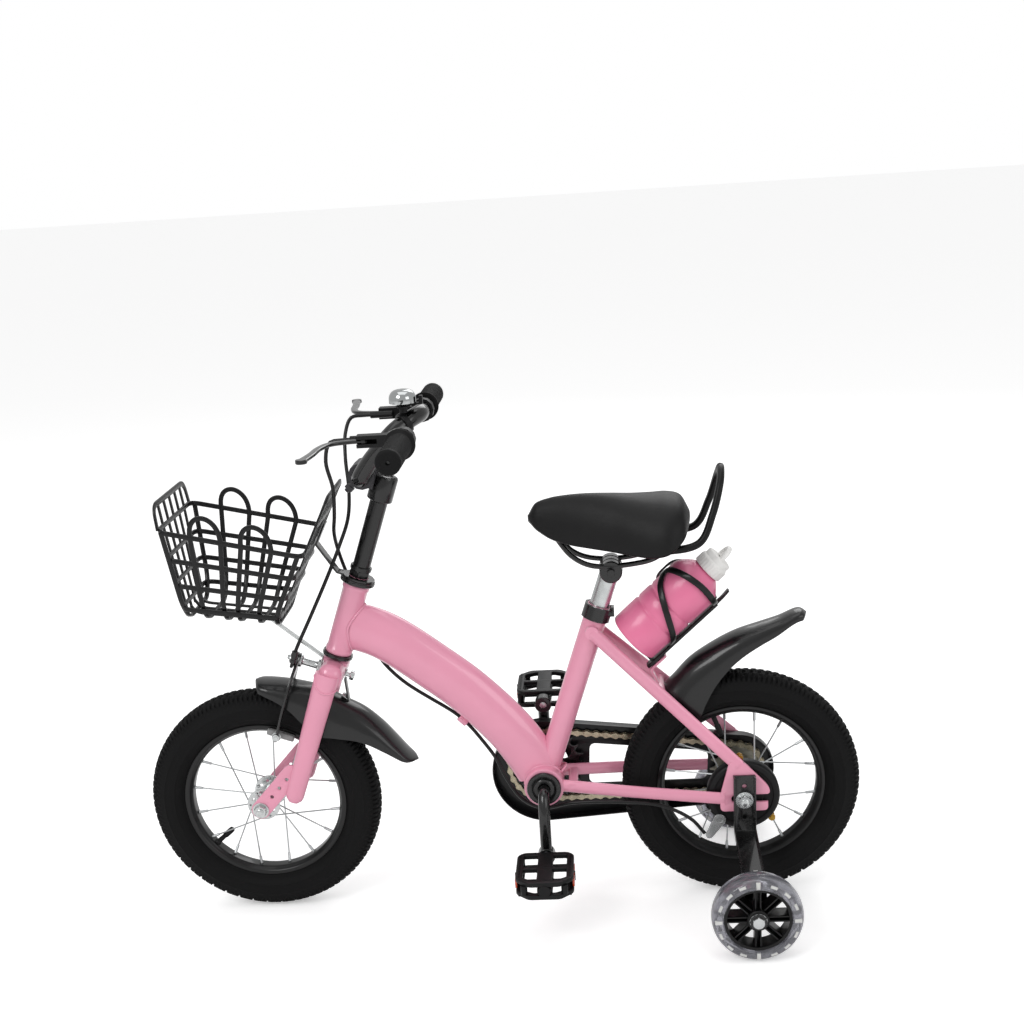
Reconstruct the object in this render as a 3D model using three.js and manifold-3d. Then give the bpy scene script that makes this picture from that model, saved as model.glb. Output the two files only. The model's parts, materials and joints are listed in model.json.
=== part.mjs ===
// Kids bike with training wheels, for a rider of about three years.
// Millimetres. X runs from the front wheel to the rear wheel, Y from the rider's left to the rider's
// right, Z up. The origin lies on the ground, midway between the two wheel axles.

import * as THREE from 'three';
import { mergeVertices } from 'three/addons/utils/BufferGeometryUtils.js';
import Module from 'manifold-3d';

const wasm = await Module();
wasm.setup();

// Fits shared by all pieces
const gap = 0.3;
const overrun = 6;
const weldDistance = 0.0005;
const smoothing = 0.015;
const turn = 2 * Math.PI;

// Wheels
const wheel = {
  radius: 152.5, segments: 22, tireWidth: 48, seatRadius: 101.5, flangeRadius: 107.5, rimInnerRadius: 97.5,
  rimWidth: 27, rimWall: 2, spokeRadius: 1.1, spokeCount: 16, lacingAngle: 56,
  flangeY: 23, flangeWall: 2.6, hubFlangeRadius: 21.5, hubBarrelRadius: 10, spokeSeatRadius: 17.5,
  valveRadius: 4, valveLength: 30, valveTipShare: 0.7, rimNoseShare: 0.6,
};
const tireProfileShares = [
  // height above the bead as a share of the tire's height, half width as a share of the full one
  [0.34, 0.96], [0.74, 0.92], [1, 0.24],
];
const frontHub = { halfWidth: 33, axleRadius: 4.3, nutRadius: 8.5, nutHeight: 7, tail: 4 };
const rearHub = {
  halfWidth: 33, axleRadius: 4.7, nutRadius: 9, nutHeight: 8, tail: 5, drumRadius: 40,
  drumLength: 13, neckRadius: 13, neckPast: 4, coneRadius: 9,
};

// Frame
const headAngle = 70;
const seatAngle = 70.8;
const frontCentre = 369.85;
const bottomBracketHeight = 166;
const headTube = { radius: 16, bore: 14, length: 94.7, raceHeight: 6.7, raceRadius: 19.5, coverRadius: 22 };
const downTube = {
  halfDepth: 31.5, halfWidth: 21, arch: 29, headSeat: 47, stopLength: 11, stopRadius: 5.2,
  stopSeatShare: 0.85,
};
const downTubeShares = [
  // along the line from head tube to bottom bracket, and outwards from it as a share of the arch
  [0, 0], [0.144, 0.62], [0.389, 0.93], [0.55, 1], [0.766, 0.79], [0.9, 0.4], [1, 0],
];
const seatTube = { radius: 15, bore: 13, length: 246, boreDepth: 130, collarRadius: 18.5, collarHeight: 18 };
const shell = { radius: 25.5, bore: 20, halfWidth: 34, cupRadius: 22, cupHeight: 5 };
const dropout = { innerY: 54, wall: 5, slotHalfHeight: 5.2, slotFront: 16, slotRear: 30, toothHeight: 12 };
const chainStay = {
  halfHeight: 8, halfWidth: 7.5, endHalfWidth: 3.4, startY: 25, startX: 16, endX: 24,
  shoulderShare: 0.45,
};
const seatStay = { halfHeight: 8.5, halfWidth: 7, endHalfWidth: 3.4, topDrop: 32, topY: 17, endX: 6 };
const seatStayEndRise = 44;
const bridge = { radius: 6, share: 0.53, lugWall: 3.5, lugLength: 14, lugRadius: 7.5, lugHole: 2.9 };

// Steering
const fork = {
  length: 219.6, rake: 40.6, steererRadius: 12.5, steererBore: 11.4, legY: 40, legHalfWidth: 10,
  legHalfDepth: 15.5, tipHalfDepth: 11.5, legForward: 3, legEnd: 24, crownHeight: 36,
  crownHalfDepth: 16, plateWall: 3.5, plateHalfWidth: 12, plateTop: 62, holeRadius: 2.6,
};
const legWidthShares = [0.8, 1, 0.94, 0.87, 0.8];
const legDepthShares = [0.8, 1, 0.92, 0.83, 0.74];
const plateHoleShares = [0.6];
const stem = {
  radius: 11.1, quill: 68, locknutRadius: 13.7, locknutHeight: 14, collarRadius: 16, collarBelow: 26,
  collarAbove: 6, reach: 27, clampHeight: 240, clampRadius: 16.5, clampHalfWidth: 20, neckHalf: 12,
  boltRadius: 3.2, boltInset: 2, boltLength: 15, nutRadius: 6, nutHeight: 6, boltAngle: 62,
};
const bar = { radius: 11, setback: 66, rise: 57, halfWidth: 232, bendY: 28, bendInboard: 43.3 };
const barShares = [
  // across, back and up between the clamp and the straight grip end
  [0, 0, 0], [0.14, 0.22, 0.34], [0.34, 0.52, 0.7], [0.58, 0.82, 0.92], [0.8, 0.97, 0.99], [1, 1, 1],
];
const grip = { radius: 14.5, length: 106, flangeRadius: 18, flangeWall: 4, endWall: 4, endHole: 2.2 };
const lever = {
  inboard: 26.3, bandRadius: 15, bandWidth: 14, pivotForward: 46, bodyHalfWidth: 8, bodyHalfHeight: 7,
  bladeHalfThickness: 2.4, pinRadius: 2.2, bladeForward: 46, bladeLength: 106, bladeHalfWidth: 5,
  tipRadius: 6.5, adjusterRadius: 4.4, adjusterLength: 16,
};
const bell = {
  placeShare: 0.67, rise: 6, radius: 17, wall: 1.4, height: 17, stalkRadius: 5, stalkHeight: 5.6,
    bandWidth: 7,
};
const bellInnerShares = [
  // out from the bell's axis as a share of its radius, and down from its top as a share of its height
  [0.66, 0.21], [0.92, 0.35],
];
const bellOuterShares = [[1, 0.3], [0.74, 0.08], [0.3, 0]];
const striker = { wall: 2.4, reach: 25, halfWidth: 4, knobHeight: 11, knobWall: 4.5, pivotRadius: 10 };

// Front side-pull brake and basket
const caliper = {
  boltHeight: -19, plane: 44, wall: 4, armHalfWidth: 6.5, padHeight: -117.5, padGap: 4.4, shoeHalfLength: 18,
  shoeHalfHeight: 4.2, shoeDepth: 8, boltRadius: 3, nutRadius: 6.5, nutHeight: 5, boss: 9, barrelY: 27,
  barrelHeight: 4, barrelRadius: 4.2, barrelLength: 16,
};
const armShares = [
  // across as a share of the clear half width, down as a share of the pivot's height above the shoe
  [0, 0], [0.55, 0.06], [0.98, 0.27], [1.02, 0.62], [0.82, 0.9], [0.7, 1.06],
];
const caliperHalfWidth = 39;
const basket = {
  rimHalfWidth: 80, floorHalfWidth: 62, rimLength: 172, floorLength: 116, rimHeight: 498, depth: 86,
  rimPitch: 13, floorPitch: 8, rearX: 14, rearLean: 44, rib: 3.2, wall: 1.8, ribWall: 1.3, archHeight: 27,
  frontPanel: 29, rearPanel: 72, rearPanelHalf: 60, floorDrop: 9, flatShare: 0.72,
};
const ribShares = [0.23, 0.44, 0.58, 0.79];
const hoopShares = [0, 0.36, 0.7, 1];
const slatShares = [0];
const strap = { wall: 2.5, halfWidth: 8, ringRadius: 21, stayHalfWidth: 5, stayWall: 2, hookShare: 0.3 };

// Fenders
const fender = {
  halfWidth: 29, wall: 2.4, segments: 3, roundShare: 0.5, tabAngle: 43, tabRadius: 182, tabHalf: 6,
};
const frontFenderShares = [
  // place behind the wheel's top as a share of the full angle, crown radius as a share of the tire's,
  // skirt depth as a share of the tire's width and half width as a share of the full one
  [0.02, 1.095, 0.22, 0.72], [0.1, 1.098, 0.34, 0.9], [0.25, 1.12, 0.62, 1], [0.4, 1.16, 1.0, 1],
  [0.53, 1.18, 1.14, 1], [0.64, 1.225, 1.0, 1], [0.76, 1.26, 0.66, 0.98], [0.88, 1.3, 0.4, 0.9],
  [0.96, 1.345, 0.24, 0.8], [1, 1.39, 0.16, 0.6],
];
const frontFenderAngle = 77;
const rearFenderShares = [
  [-1, 1.09, 1.24, 1], [-0.8, 1.12, 1.28, 1], [-0.56, 1.19, 1.16, 1], [-0.3, 1.255, 0.9, 1],
  [-0.02, 1.34, 0.66, 0.94], [0.2, 1.41, 0.5, 0.84], [0.36, 1.485, 0.42, 0.72], [0.5, 1.585, 0.3, 0.62],
  [0.57, 1.58, 0.16, 0.5],
];
const rearFenderAngle = 36;

// Drive
const chain = {
  pitch: 12.7, linkCount: 60, rollerRadius: 3.9, innerWidth: 3.4, plateWall: 1.1, plateHalfHeight: 4.2,
  waistHalfHeight: 2.7, y: 44.8,
};
const chainring = { teeth: 24, wall: 2.6, windowCount: 4, windowRadius: 10, windowCircle: 30,
  bossRadius: 14 };
const sprocket = { teeth: 16, wall: 2.6, bodyRadius: 19 };
const toothHeight = 3.6;
const seatHalfAngle = 70;
const crank = { length: 80, radius: 7.5, armY: 64, eyeRadius: 11, eyeHalf: 7.8, collarRadius: 13, bend: 14 };
const pedal = {
  length: 72, width: 86, height: 23, axleRadius: 4.5, tail: 10, corner: 16, rail: 9, reflector: 1.2,
  reflectorSeat: 1,
};
const guard = {
  frontRadius: 72, rearRadius: 48, drop: 8, y: 50.6, wall: 2, rimDepth: 12, rimWall: 2, spindleHole: 30,
  clear: 2,
};
const guardWindow = { front: 58, rear: 215, halfHeight: 29, rearHalfHeight: 20, corner: 8 };

// Rear brake
const drumCover = {
  radius: 46, wall: 3, lip: 14, lipWall: 2.4, clear: 1, lugRadius: 8, adjusterRadius: 5, adjusterStand: 4,
};
const adjusterShares = [0.78, -0.72];
const brakeArm = { pivotX: -31, pivotZ: -31, length: 26, halfWidth: 5, wall: 3, boltRadius: 3.4,
  boltHeight: 3 };

// Seat
const seatPost = { radius: 12.7, inside: 95, outside: 52 };
const seatClamp = {
  radius: 14, halfWidth: 22, sink: 2, railRadius: 3.4, railY: 19, railReach: 76, railLow: 9, boltRadius: 5,
  boltHeight: 5,
};
const saddleRailShares = [
  // back and out from the clamp, and up from the rail's low middle
  [-0.88, 0.42, 1.25], [-0.62, 0.7, 0.4], [-0.3, 1, 0], [0.36, 1, 0], [0.74, 1.26, 0.3], [1, 1.47, 1.03],
];
const saddle = {
  length: 198, halfWidth: 70, nose: 100, rimRise: 26.6, crownHeight: 67, wall: 4.5, lip: 2, socket: 5,
  socketRadius: 6, railSeat: 9.5, hollowShare: 0.3, roundShare: 0.8,
};
const saddleWidthShares = [0.1, 0.2, 0.27, 0.33, 0.42, 0.58, 0.8, 0.97, 1, 0.86, 0.5];
const saddleRimShares = [0.58, 0.46, 0.28, 0.17, 0.1, 0.05, 0.01, 0, 0.06, 0.24, 0.48];
const saddleCrownShares = [0.68, 0.86, 0.95, 0.99, 1, 0.98, 0.95, 0.94, 0.94, 0.88, 0.66];
const saddleStationShares = [0, 0.05, 0.14, 0.25, 0.38, 0.52, 0.65, 0.77, 0.86, 0.94, 1];
const handle = { halfDepth: 4.5, halfWidth: 6, reach: 78, rise: 86, footY: 50, footX: 58, foot: 2.5,
  leanAngle: 36.9 };
const handleShares = [
  // back and out from the foot's end, and up from the foot
  [0, 1, 0], [0.62, 0.9, 0.08], [0.84, 0.74, 0.46], [0.97, 0.5, 0.86], [1, 0, 1],
];

// Bottle
const bottle = {
  angle: 42, radius: 35, body: 104, shoulder: 22, neckRadius: 16.5, neck: 12, capRadius: 20, capTop: 17.5,
  capTopWall: 3.5, ringRadius: 15, ringHole: 8, ringWall: 8, ringRise: 11, capStepShare: 0.4,
    seatBack: 40.6, seatDrop: 45.8,
  foot: 6, groove: 1.5,
};
const bottleGrooveShares = [0.4, 0.62];
const bottleShoulderShares = [[0.9, 0.25], [0.62, 0.55], [0.25, 0.85], [0, 1]];
const cage = {
  railHalf: 8, railWall: 5, railStart: -12, railEnd: 106, strandHalf: 4, strandWall: 1.6, strandClear: 1.1,
  clear: 2,
};
const cageShares = [
  // along the bottle as a share of the rail's end, and round it as a share of a half turn
  [0.3, 0.08], [0.45, 0.34], [0.6, 0.6], [0.74, 0.84], [0.86, 0.92], [0.97, 0.78], [1.06, 0.5], [1.0, 0.08],
];

// Training wheels
const trainer = {
  y: 185, radius: 55.5, width: 34, hubRadius: 41, rimWall: 4, hubBoss: 13.5, spokeCount: 8, spokeWall: 2.4,
  spokeGap: 3.6, hubHalfWidth: 13, hubBossHalf: 15.5, boltRadius: 4.5, headRadius: 10.5, headHeight: 3,
    trail: 3,
};
const trainerTireShares = [[0, 0.9], [0.6, 1], [1, 0.6]];
const arm = {
  wall: 3.5, halfWidth: 14, top: 33, bendLow: 44, footY: 156, footTop: 26, footLow: 16, flange: 9,
  flangeWall: 2.2, slotRadius: 3,
};

// Cables
const cable = { radius: 2.3, sides: 8 };
const frontCableRoute = [
  [-164, 82, 635], [-172, 76, 618], [-173, 62, 588], [-168, 36, 552], [-168, 8, 522], [-178, -12, 494],
  [-198, -22, 452], [-220, -26, 410],
];
const rearCableFront = [
  [-164, -82, 634], [-172, -76, 612], [-170, -60, 576], [-176, -36, 538], [-184, -8, 510], [-186, 16, 482],
  [-180, 29, 446], [-166, 29, 404], [-160, 27, 368], [-146, 16, 336], [-118, 4, 308],
];
const rearCableRear = [
  [-22, 0, 225], [-4, -3, 198], [8, -9, 172], [28, -16, 144], [54, -22, 133], [94, -34, 144],
  [150, -43, 147], [206, -47, 142], [244, -47, 122],
];

const black = { color: 0x1b1b1d, roughness: 0.55, metalness: 0.05 };
const glossBlack = { color: 0x161618, roughness: 0.28, metalness: 0.2 };
const rubber = { color: 0x202022, roughness: 0.85, metalness: 0 };
const pink = { color: 0xe39bb3, roughness: 0.3, metalness: 0.05 };
const steel = { color: 0xc4c8c8, roughness: 0.3, metalness: 0.9 };

const bike = new THREE.Group();
bike.name = 'kids_bike_with_training_wheels';

// General shaping functions

function vector(x, y, z) {
  return new THREE.Vector3(x, y, z);
}

function radians(degrees) {
  return THREE.MathUtils.degToRad(degrees);
}

// A closed mesh as a solid: shared corners are welded, flat leftovers dropped, faces turned outwards
function solidOf(geometry) {
  const bare = new THREE.BufferGeometry();
  bare.setAttribute('position', geometry.getAttribute('position').clone());
  if (geometry.index) bare.setIndex(geometry.index.clone());
  const welded = mergeVertices(bare, weldDistance);
  const places = welded.getAttribute('position').array;
  const corners = welded.index.array;
  const kept = [];
  let volume = 0;
  const [a, b, c] = [vector(), vector(), vector()];
  for (let i = 0; i < corners.length; i += 3) {
    const [p, q, r] = corners.slice(i, i + 3);
    if (p === q || q === r || r === p) continue;
    kept.push(p, q, r);
    a.fromArray(places, 3 * p);
    b.fromArray(places, 3 * q);
    c.fromArray(places, 3 * r);
    volume += a.dot(b.cross(c));
  }
  if (volume < 0) kept.reverse();
  return new wasm.Manifold(new wasm.Mesh({
    numProp: 3,
    vertProperties: Float32Array.from(places),
    triVerts: Uint32Array.from(kept),
  }));
}

function geometryOf(solid) {
  const mesh = solid.getMesh();
  const geometry = new THREE.BufferGeometry();
  geometry.setAttribute('position', new THREE.BufferAttribute(Float32Array.from(mesh.vertProperties), 3));
  geometry.setIndex(new THREE.BufferAttribute(Uint32Array.from(mesh.triVerts), 1));
  return geometry;
}

function join(shapes) {
  return geometryOf(shapes.map(solidOf).reduce((whole, next) => whole.add(next)));
}

function cut(shape, tools) {
  return geometryOf(tools.map(solidOf).reduce((rest, tool) => rest.subtract(tool), solidOf(shape)));
}

// The corner radius of a bore whose flats stay clear of a shaft that turns in it
function runningBore(shaftRadius, sides) {
  return (shaftRadius + gap) / Math.cos(turn / 2 / sides);
}

function mirrored(shape) {
  return geometryOf(solidOf(shape.clone().scale(1, -1, 1)));
}

function place(name, shape, finish) {
  const geometry = geometryOf(solidOf(shape).simplify(smoothing));
  geometry.computeVertexNormals();
  const mesh = new THREE.Mesh(geometry, new THREE.MeshStandardMaterial({ ...finish, flatShading: true }));
  mesh.name = name;
  bike.add(mesh);
  return mesh;
}

// Turns a shape made along Y so that it runs along a direction from a point
function aim(shape, start, direction) {
  const swing = new THREE.Quaternion().setFromUnitVectors(vector(0, 1, 0), direction.clone().normalize());
  return shape.applyQuaternion(swing).translate(start.x, start.y, start.z);
}

function rod(start, end, radius, sides = 12, endRadius = radius) {
  const run = end.clone().sub(start);
  const shape = new THREE.CylinderGeometry(endRadius, radius, run.length(), sides);
  return aim(shape.translate(0, run.length() / 2, 0), start, run);
}

// A rod that runs across the bike, as far to the left of a point as to the right
function crossRod(spot, half, radius, sides) {
  return rod(spot.clone().setY(-half), spot.clone().setY(half), radius, sides);
}

function block(low, high) {
  const size = high.clone().sub(low);
  const middle = low.clone().add(high).divideScalar(2);
  return new THREE.BoxGeometry(size.x, size.y, size.z).translate(middle.x, middle.y, middle.z);
}

// A profile of radius and height turned round the Y axis
function turned(profile, segments) {
  return new THREE.LatheGeometry(profile.map(([r, h]) => new THREE.Vector2(r, h)), segments);
}

function turnedRing(profile, segments) {
  return turned([...profile, profile[0]], segments);
}

// An outline in the XZ plane given thickness along Y
function plate(outline, lowY, wall, holes = []) {
  const shape = new THREE.Shape(outline.map(([x, z]) => new THREE.Vector2(x, z)));
  const body = new THREE.ExtrudeGeometry(shape, { depth: wall, bevelEnabled: false });
  body.rotateX(turn / 4).translate(0, lowY + wall, 0);
  if (holes.length === 0) return body;
  return cut(body, holes.map((hole) => plate(hole, lowY - overrun, wall + 2 * overrun)));
}

function circle(x, z, radius, sides, start = 0) {
  return Array.from({ length: sides }, (_, i) => {
    const angle = start + (turn * i) / sides;
    return [x + radius * Math.cos(angle), z + radius * Math.sin(angle)];
  });
}

// A skin through rings that are each one outline set somewhere in space, closed by flat ends; each
// four-sided patch is split across its shorter way, so that two surfaces of one form lie evenly apart
function skin(outline, rings) {
  const count = outline.length;
  const corners = rings.flat().flatMap((point) => point.toArray());
  const faces = [];
  for (let ring = 0; ring < rings.length - 1; ring += 1) {
    for (let i = 0; i < count; i += 1) {
      const [a, b] = [ring * count + i, ring * count + ((i + 1) % count)];
      const here = rings[ring];
      const next = rings[ring + 1];
      const straight = here[i].distanceTo(next[(i + 1) % count]);
      const crossed = here[(i + 1) % count].distanceTo(next[i]);
      if (straight <= crossed) faces.push(a, b, b + count, a, b + count, a + count);
      else faces.push(a, b, a + count, b, b + count, a + count);
    }
  }
  const last = (rings.length - 1) * count;
  const clockwise = THREE.ShapeUtils.isClockWise(outline);
  THREE.ShapeUtils.triangulateShape(outline, []).forEach((face) => {
    const [a, b, c] = clockwise ? face.reverse() : face;
    faces.push(c, b, a, last + a, last + b, last + c);
  });
  const geometry = new THREE.BufferGeometry();
  geometry.setAttribute('position', new THREE.Float32BufferAttribute(corners, 3));
  geometry.setIndex(faces);
  return geometry;
}

// A closed band through rings of as many corners each
function belt(rings) {
  const corners = rings.flat().flatMap((point) => point.toArray());
  const faces = [];
  const [count, all] = [rings[0].length, rings.flat().length];
  rings.forEach((_, ring) => {
    for (let i = 0; i < count; i += 1) {
      const a = ring * count + i;
      const b = ring * count + ((i + 1) % count);
      const [c, d] = [a, b].map((corner) => (corner + count) % all);
      faces.push(a, b, d, a, d, c);
    }
  });
  const geometry = new THREE.BufferGeometry();
  geometry.setAttribute('position', new THREE.Float32BufferAttribute(corners, 3));
  geometry.setIndex(faces);
  return geometry;
}

// Follows points with an oval or four-cornered section; across gives the width's direction
function follow(points, halfWidths, halfHeights, sides, across) {
  const square = sides === 4;
  const start = square ? turn / 8 : 0;
  const reach = square ? Math.SQRT2 : 1;
  const outline = Array.from({ length: sides }, (_, i) => {
    const angle = start + (turn * i) / sides;
    return new THREE.Vector2(reach * Math.cos(angle), reach * Math.sin(angle));
  });
  const rings = points.map((point, i) => {
    const before = points[Math.max(i - 1, 0)];
    const after = points[Math.min(i + 1, points.length - 1)];
    const along = after.clone().sub(before).normalize();
    const side = across.clone().addScaledVector(along, -across.dot(along)).normalize();
    const up = along.clone().cross(side);
    const width = Array.isArray(halfWidths) ? halfWidths[i] : halfWidths;
    const height = Array.isArray(halfHeights) ? halfHeights[i] : halfHeights;
    return outline.map(({ x, y }) => (
      point.clone().addScaledVector(side, width * x).addScaledVector(up, height * y)
    ));
  });
  return skin(outline, rings);
}

function curveThrough(points, steps) {
  return new THREE.CatmullRomCurve3(points, false, 'centripetal').getSpacedPoints(steps);
}

function between(start, end, share) {
  return start + (end - start) * share;
}

function spread(start, end, steps) {
  return Array.from({ length: steps + 1 }, (_, i) => between(start, end, i / steps));
}

// Where everything stands

// The chain closes exactly when the distance between the two sprocket axes is this one
const chainringRadius = chain.pitch / (2 * Math.sin(Math.PI / chainring.teeth));
const sprocketRadius = chain.pitch / (2 * Math.sin(Math.PI / sprocket.teeth));

function chainPitches(distance) {
  const lean = Math.asin((chainringRadius - sprocketRadius) / distance);
  const run = (distance * Math.cos(lean)) / chain.pitch;
  const wrap = chainring.teeth * (0.5 + (2 * lean) / turn) + sprocket.teeth * (0.5 - (2 * lean) / turn);
  return 2 * run + wrap;
}

function centreDistance() {
  let [low, high] = [chainringRadius, chain.pitch * chain.linkCount];
  const halvings = 60;
  for (let i = 0; i < halvings; i += 1) {
    const middle = (low + high) / 2;
    if (chainPitches(middle) < chain.linkCount) low = middle;
    else high = middle;
  }
  return low;
}

const sprocketDistance = centreDistance();
const bracketRise = bottomBracketHeight - wheel.radius;
const rearCentre = Math.sqrt(sprocketDistance ** 2 - bracketRise ** 2);
const wheelbase = frontCentre + rearCentre;
const frontAxle = vector(-wheelbase / 2, 0, wheel.radius);
const rearAxle = vector(wheelbase / 2, 0, wheel.radius);
const bracketAxis = vector(frontAxle.x + frontCentre, 0, bottomBracketHeight);
const headUp = vector(Math.cos(radians(headAngle)), 0, Math.sin(radians(headAngle)));
const headForward = vector(-headUp.z, 0, headUp.x);
const seatUp = vector(Math.cos(radians(seatAngle)), 0, Math.sin(radians(seatAngle)));
const sideways = vector(0, 1, 0);
const upwards = vector(0, 0, 1);
const crownSeat = frontAxle.clone().addScaledVector(headUp, fork.length).addScaledVector(headForward,
  -fork.rake);

// A place on the steering assembly: up its axis from the crown, ahead of the axis, and to the right
function steer(up, ahead, y = 0) {
  return crownSeat.clone().addScaledVector(headUp, up).addScaledVector(headForward, ahead).setY(y);
}

function alongSeatTube(distance, y = 0) {
  return bracketAxis.clone().addScaledVector(seatUp, distance).setY(y);
}

const bottleUp = vector(Math.cos(radians(bottle.angle)), 0, Math.sin(radians(bottle.angle)));
const bottleDown = vector(bottleUp.z, 0, -bottleUp.x);
const bottleSeat = alongSeatTube(seatTube.length).add(vector(bottle.seatBack, 0, -bottle.seatDrop));
const railMiddle = bottle.radius + cage.clear + cage.railWall / 2;

// A place by the bottle: along it from its bottom, below its axis, and to the right
function alongBottle(along, below, y = 0) {
  return bottleSeat.clone().addScaledVector(bottleUp, along).addScaledVector(bottleDown, below).setY(y);
}

const raceTop = gap + headTube.raceHeight;
const headLow = raceTop + gap;
const headHigh = headLow + headTube.length;
const coverTop = headHigh + gap + headTube.raceHeight;
const strapLow = coverTop + gap;
const strapHigh = strapLow + strap.wall;

// Front frame: head tube, down tube, seat tube and bottom bracket shell welded together

function downTubePoint([along, out]) {
  const start = steer(downTube.headSeat, 0);
  const run = bracketAxis.clone().sub(start);
  const outwards = vector(-run.z, 0, run.x).normalize();
  return start.addScaledVector(run, along).addScaledVector(outwards, downTube.arch * out);
}

const downTubeSteps = 10;
const downTubePath = curveThrough(downTubeShares.map(downTubePoint), downTubeSteps);
const stopIndex = 6;
const stopFoot = downTubePath[stopIndex];
const stopAlong = downTubePath[stopIndex + 1].clone().sub(downTubePath[stopIndex - 1]).normalize();
const stopOut = vector(stopAlong.z, 0, -stopAlong.x);
const cableStop = stopFoot.clone().addScaledVector(stopOut,
  downTube.halfDepth + downTube.stopSeatShare * downTube.stopRadius);
const stopHalf = stopAlong.clone().multiplyScalar(downTube.stopLength / 2);

const frontTubes = join([
  rod(steer(headLow, 0), steer(headHigh, 0), headTube.radius, 14),
  follow(downTubePath, downTube.halfWidth, downTube.halfDepth, 12, sideways),
  rod(alongSeatTube(0), alongSeatTube(seatTube.length), seatTube.radius, 12),
  crossRod(bracketAxis, shell.halfWidth, shell.radius, 16),
  rod(cableStop.clone().sub(stopHalf), cableStop.clone().add(stopHalf), downTube.stopRadius, 8),
]);
const shellEnd = shell.halfWidth + overrun;
place('frame_front', cut(frontTubes, [
  rod(steer(headLow - overrun, 0), steer(headHigh + overrun, 0), headTube.bore, 14),
  rod(alongSeatTube(seatTube.length - seatTube.boreDepth), alongSeatTube(seatTube.length + overrun),
    seatTube.bore, 12),
  crossRod(bracketAxis, shellEnd, shell.bore, 16),
  rod(cableStop.clone().addScaledVector(stopHalf, 2), cableStop.clone().addScaledVector(stopHalf, -2),
    cable.radius + 3 * gap, 8),
]), pink);

// Rear frame: dropouts, chain stays and seat stays, with the bridge that carries fender and bottle cage

const dropoutMiddleY = dropout.innerY + dropout.wall / 2;
const stayEnd = rearAxle.clone().add(vector(-chainStay.endX, dropoutMiddleY, 0));
const stayStart = bracketAxis.clone().add(vector(chainStay.startX, chainStay.startY, 0));
const seatStayEnd = rearAxle.clone().add(vector(-seatStay.endX, dropoutMiddleY, seatStayEndRise));
const seatStayTop = alongSeatTube(seatTube.length - seatStay.topDrop, seatStay.topY);
const tireClearY = wheel.tireWidth / 2 + chainStay.halfWidth + overrun;
const stayShoulder = stayStart.clone().lerp(stayEnd,
  chainStay.shoulderShare).setY(tireClearY + chainStay.halfWidth / 2);
const bridgePlace = seatStayEnd.clone().lerp(seatStayTop, bridge.share);
const lugMiddle = railMiddle + cage.railWall / 2 + gap + bridge.lugWall / 2;
const lugPath = [
  bridgePlace.clone().setY(0), alongBottle(cage.railStart, lugMiddle),
    alongBottle(bridge.lugLength, lugMiddle),
];

function dropoutOutline() {
  const { slotHalfHeight: half, slotFront, slotRear, toothHeight: tooth } = dropout;
  const low = -half - tooth;
  const high = half + tooth;
  const slotNose = circle(-slotFront + half, 0, half, 8, turn / 4).slice(0, 5);
  const top = seatStayEnd.z - rearAxle.z;
  const outline = [
    [slotRear, -half], [slotRear, low], [-chainStay.endX - overrun, low], [-chainStay.endX - overrun, half],
    [-seatStay.endX - 2 * overrun, top + overrun], [-seatStay.endX + overrun, top + overrun],
    [slotRear, high], [slotRear + overrun / 2, half + overrun / 2], [slotRear, half], ...slotNose,
  ];
  return outline.map(([x, z]) => [rearAxle.x + x, rearAxle.z + z]);
}

const stayPath = curveThrough([stayStart, stayShoulder, stayEnd], 5);
const stayWidths = spread(chainStay.halfWidth, chainStay.endHalfWidth, 5);
const seatStayPath = curveThrough([seatStayTop, bridgePlace, seatStayEnd], 3);
const seatStayWidths = spread(seatStay.halfWidth, seatStay.endHalfWidth, 3);
const rearSide = [
  follow(stayPath, stayWidths, chainStay.halfHeight, 8, sideways),
  follow(seatStayPath, seatStayWidths, seatStay.halfHeight, 8, sideways),
  plate(dropoutOutline(), dropout.innerY, dropout.wall),
];
const yokeX = bracketAxis.x + shell.radius + 2 * overrun;
const rearTubes = join([
  ...rearSide,
  ...rearSide.map(mirrored),
  rod(bridgePlace.clone().setY(-bridgePlace.y), bridgePlace, bridge.radius, 10),
  rod(seatStayTop.clone().setY(-seatStayTop.y), seatStayTop, seatStay.halfHeight, 8),
  block(vector(yokeX - overrun, -stayShoulder.y, stayStart.z - chainStay.halfHeight / 2),
    vector(yokeX + overrun, stayShoulder.y, stayStart.z + chainStay.halfHeight / 2)),
  follow(lugPath, bridge.lugRadius, bridge.lugWall / 2, 4, sideways),
]);
place('frame_rear', cut(rearTubes, [
  rod(alongSeatTube(0), alongSeatTube(seatTube.length + overrun), seatTube.radius + gap, 12),
  crossRod(bracketAxis, shellEnd, shell.radius + gap, 16),
  rod(alongBottle(0, lugMiddle - overrun), alongBottle(0, lugMiddle + overrun), bridge.lugHole, 8),
]), pink);

// Headset: two races that the steerer turns in

function headsetRing(low, high, radius) {
  const height = high - low;
  const lip = height / 4;
  const bore = runningBore(fork.steererRadius, 12);
  const ring = turnedRing([
    [bore, 0], [radius - lip, 0], [radius, lip], [radius, height], [bore, height],
  ], 12);
  return aim(ring, steer(low, 0), headUp);
}

place('headset_lower', headsetRing(gap, raceTop, headTube.raceRadius), glossBlack);
place('headset_upper', headsetRing(headHigh + gap, coverTop, headTube.coverRadius), glossBlack);

// Bottom bracket: sleeve with a cup at each end

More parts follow.
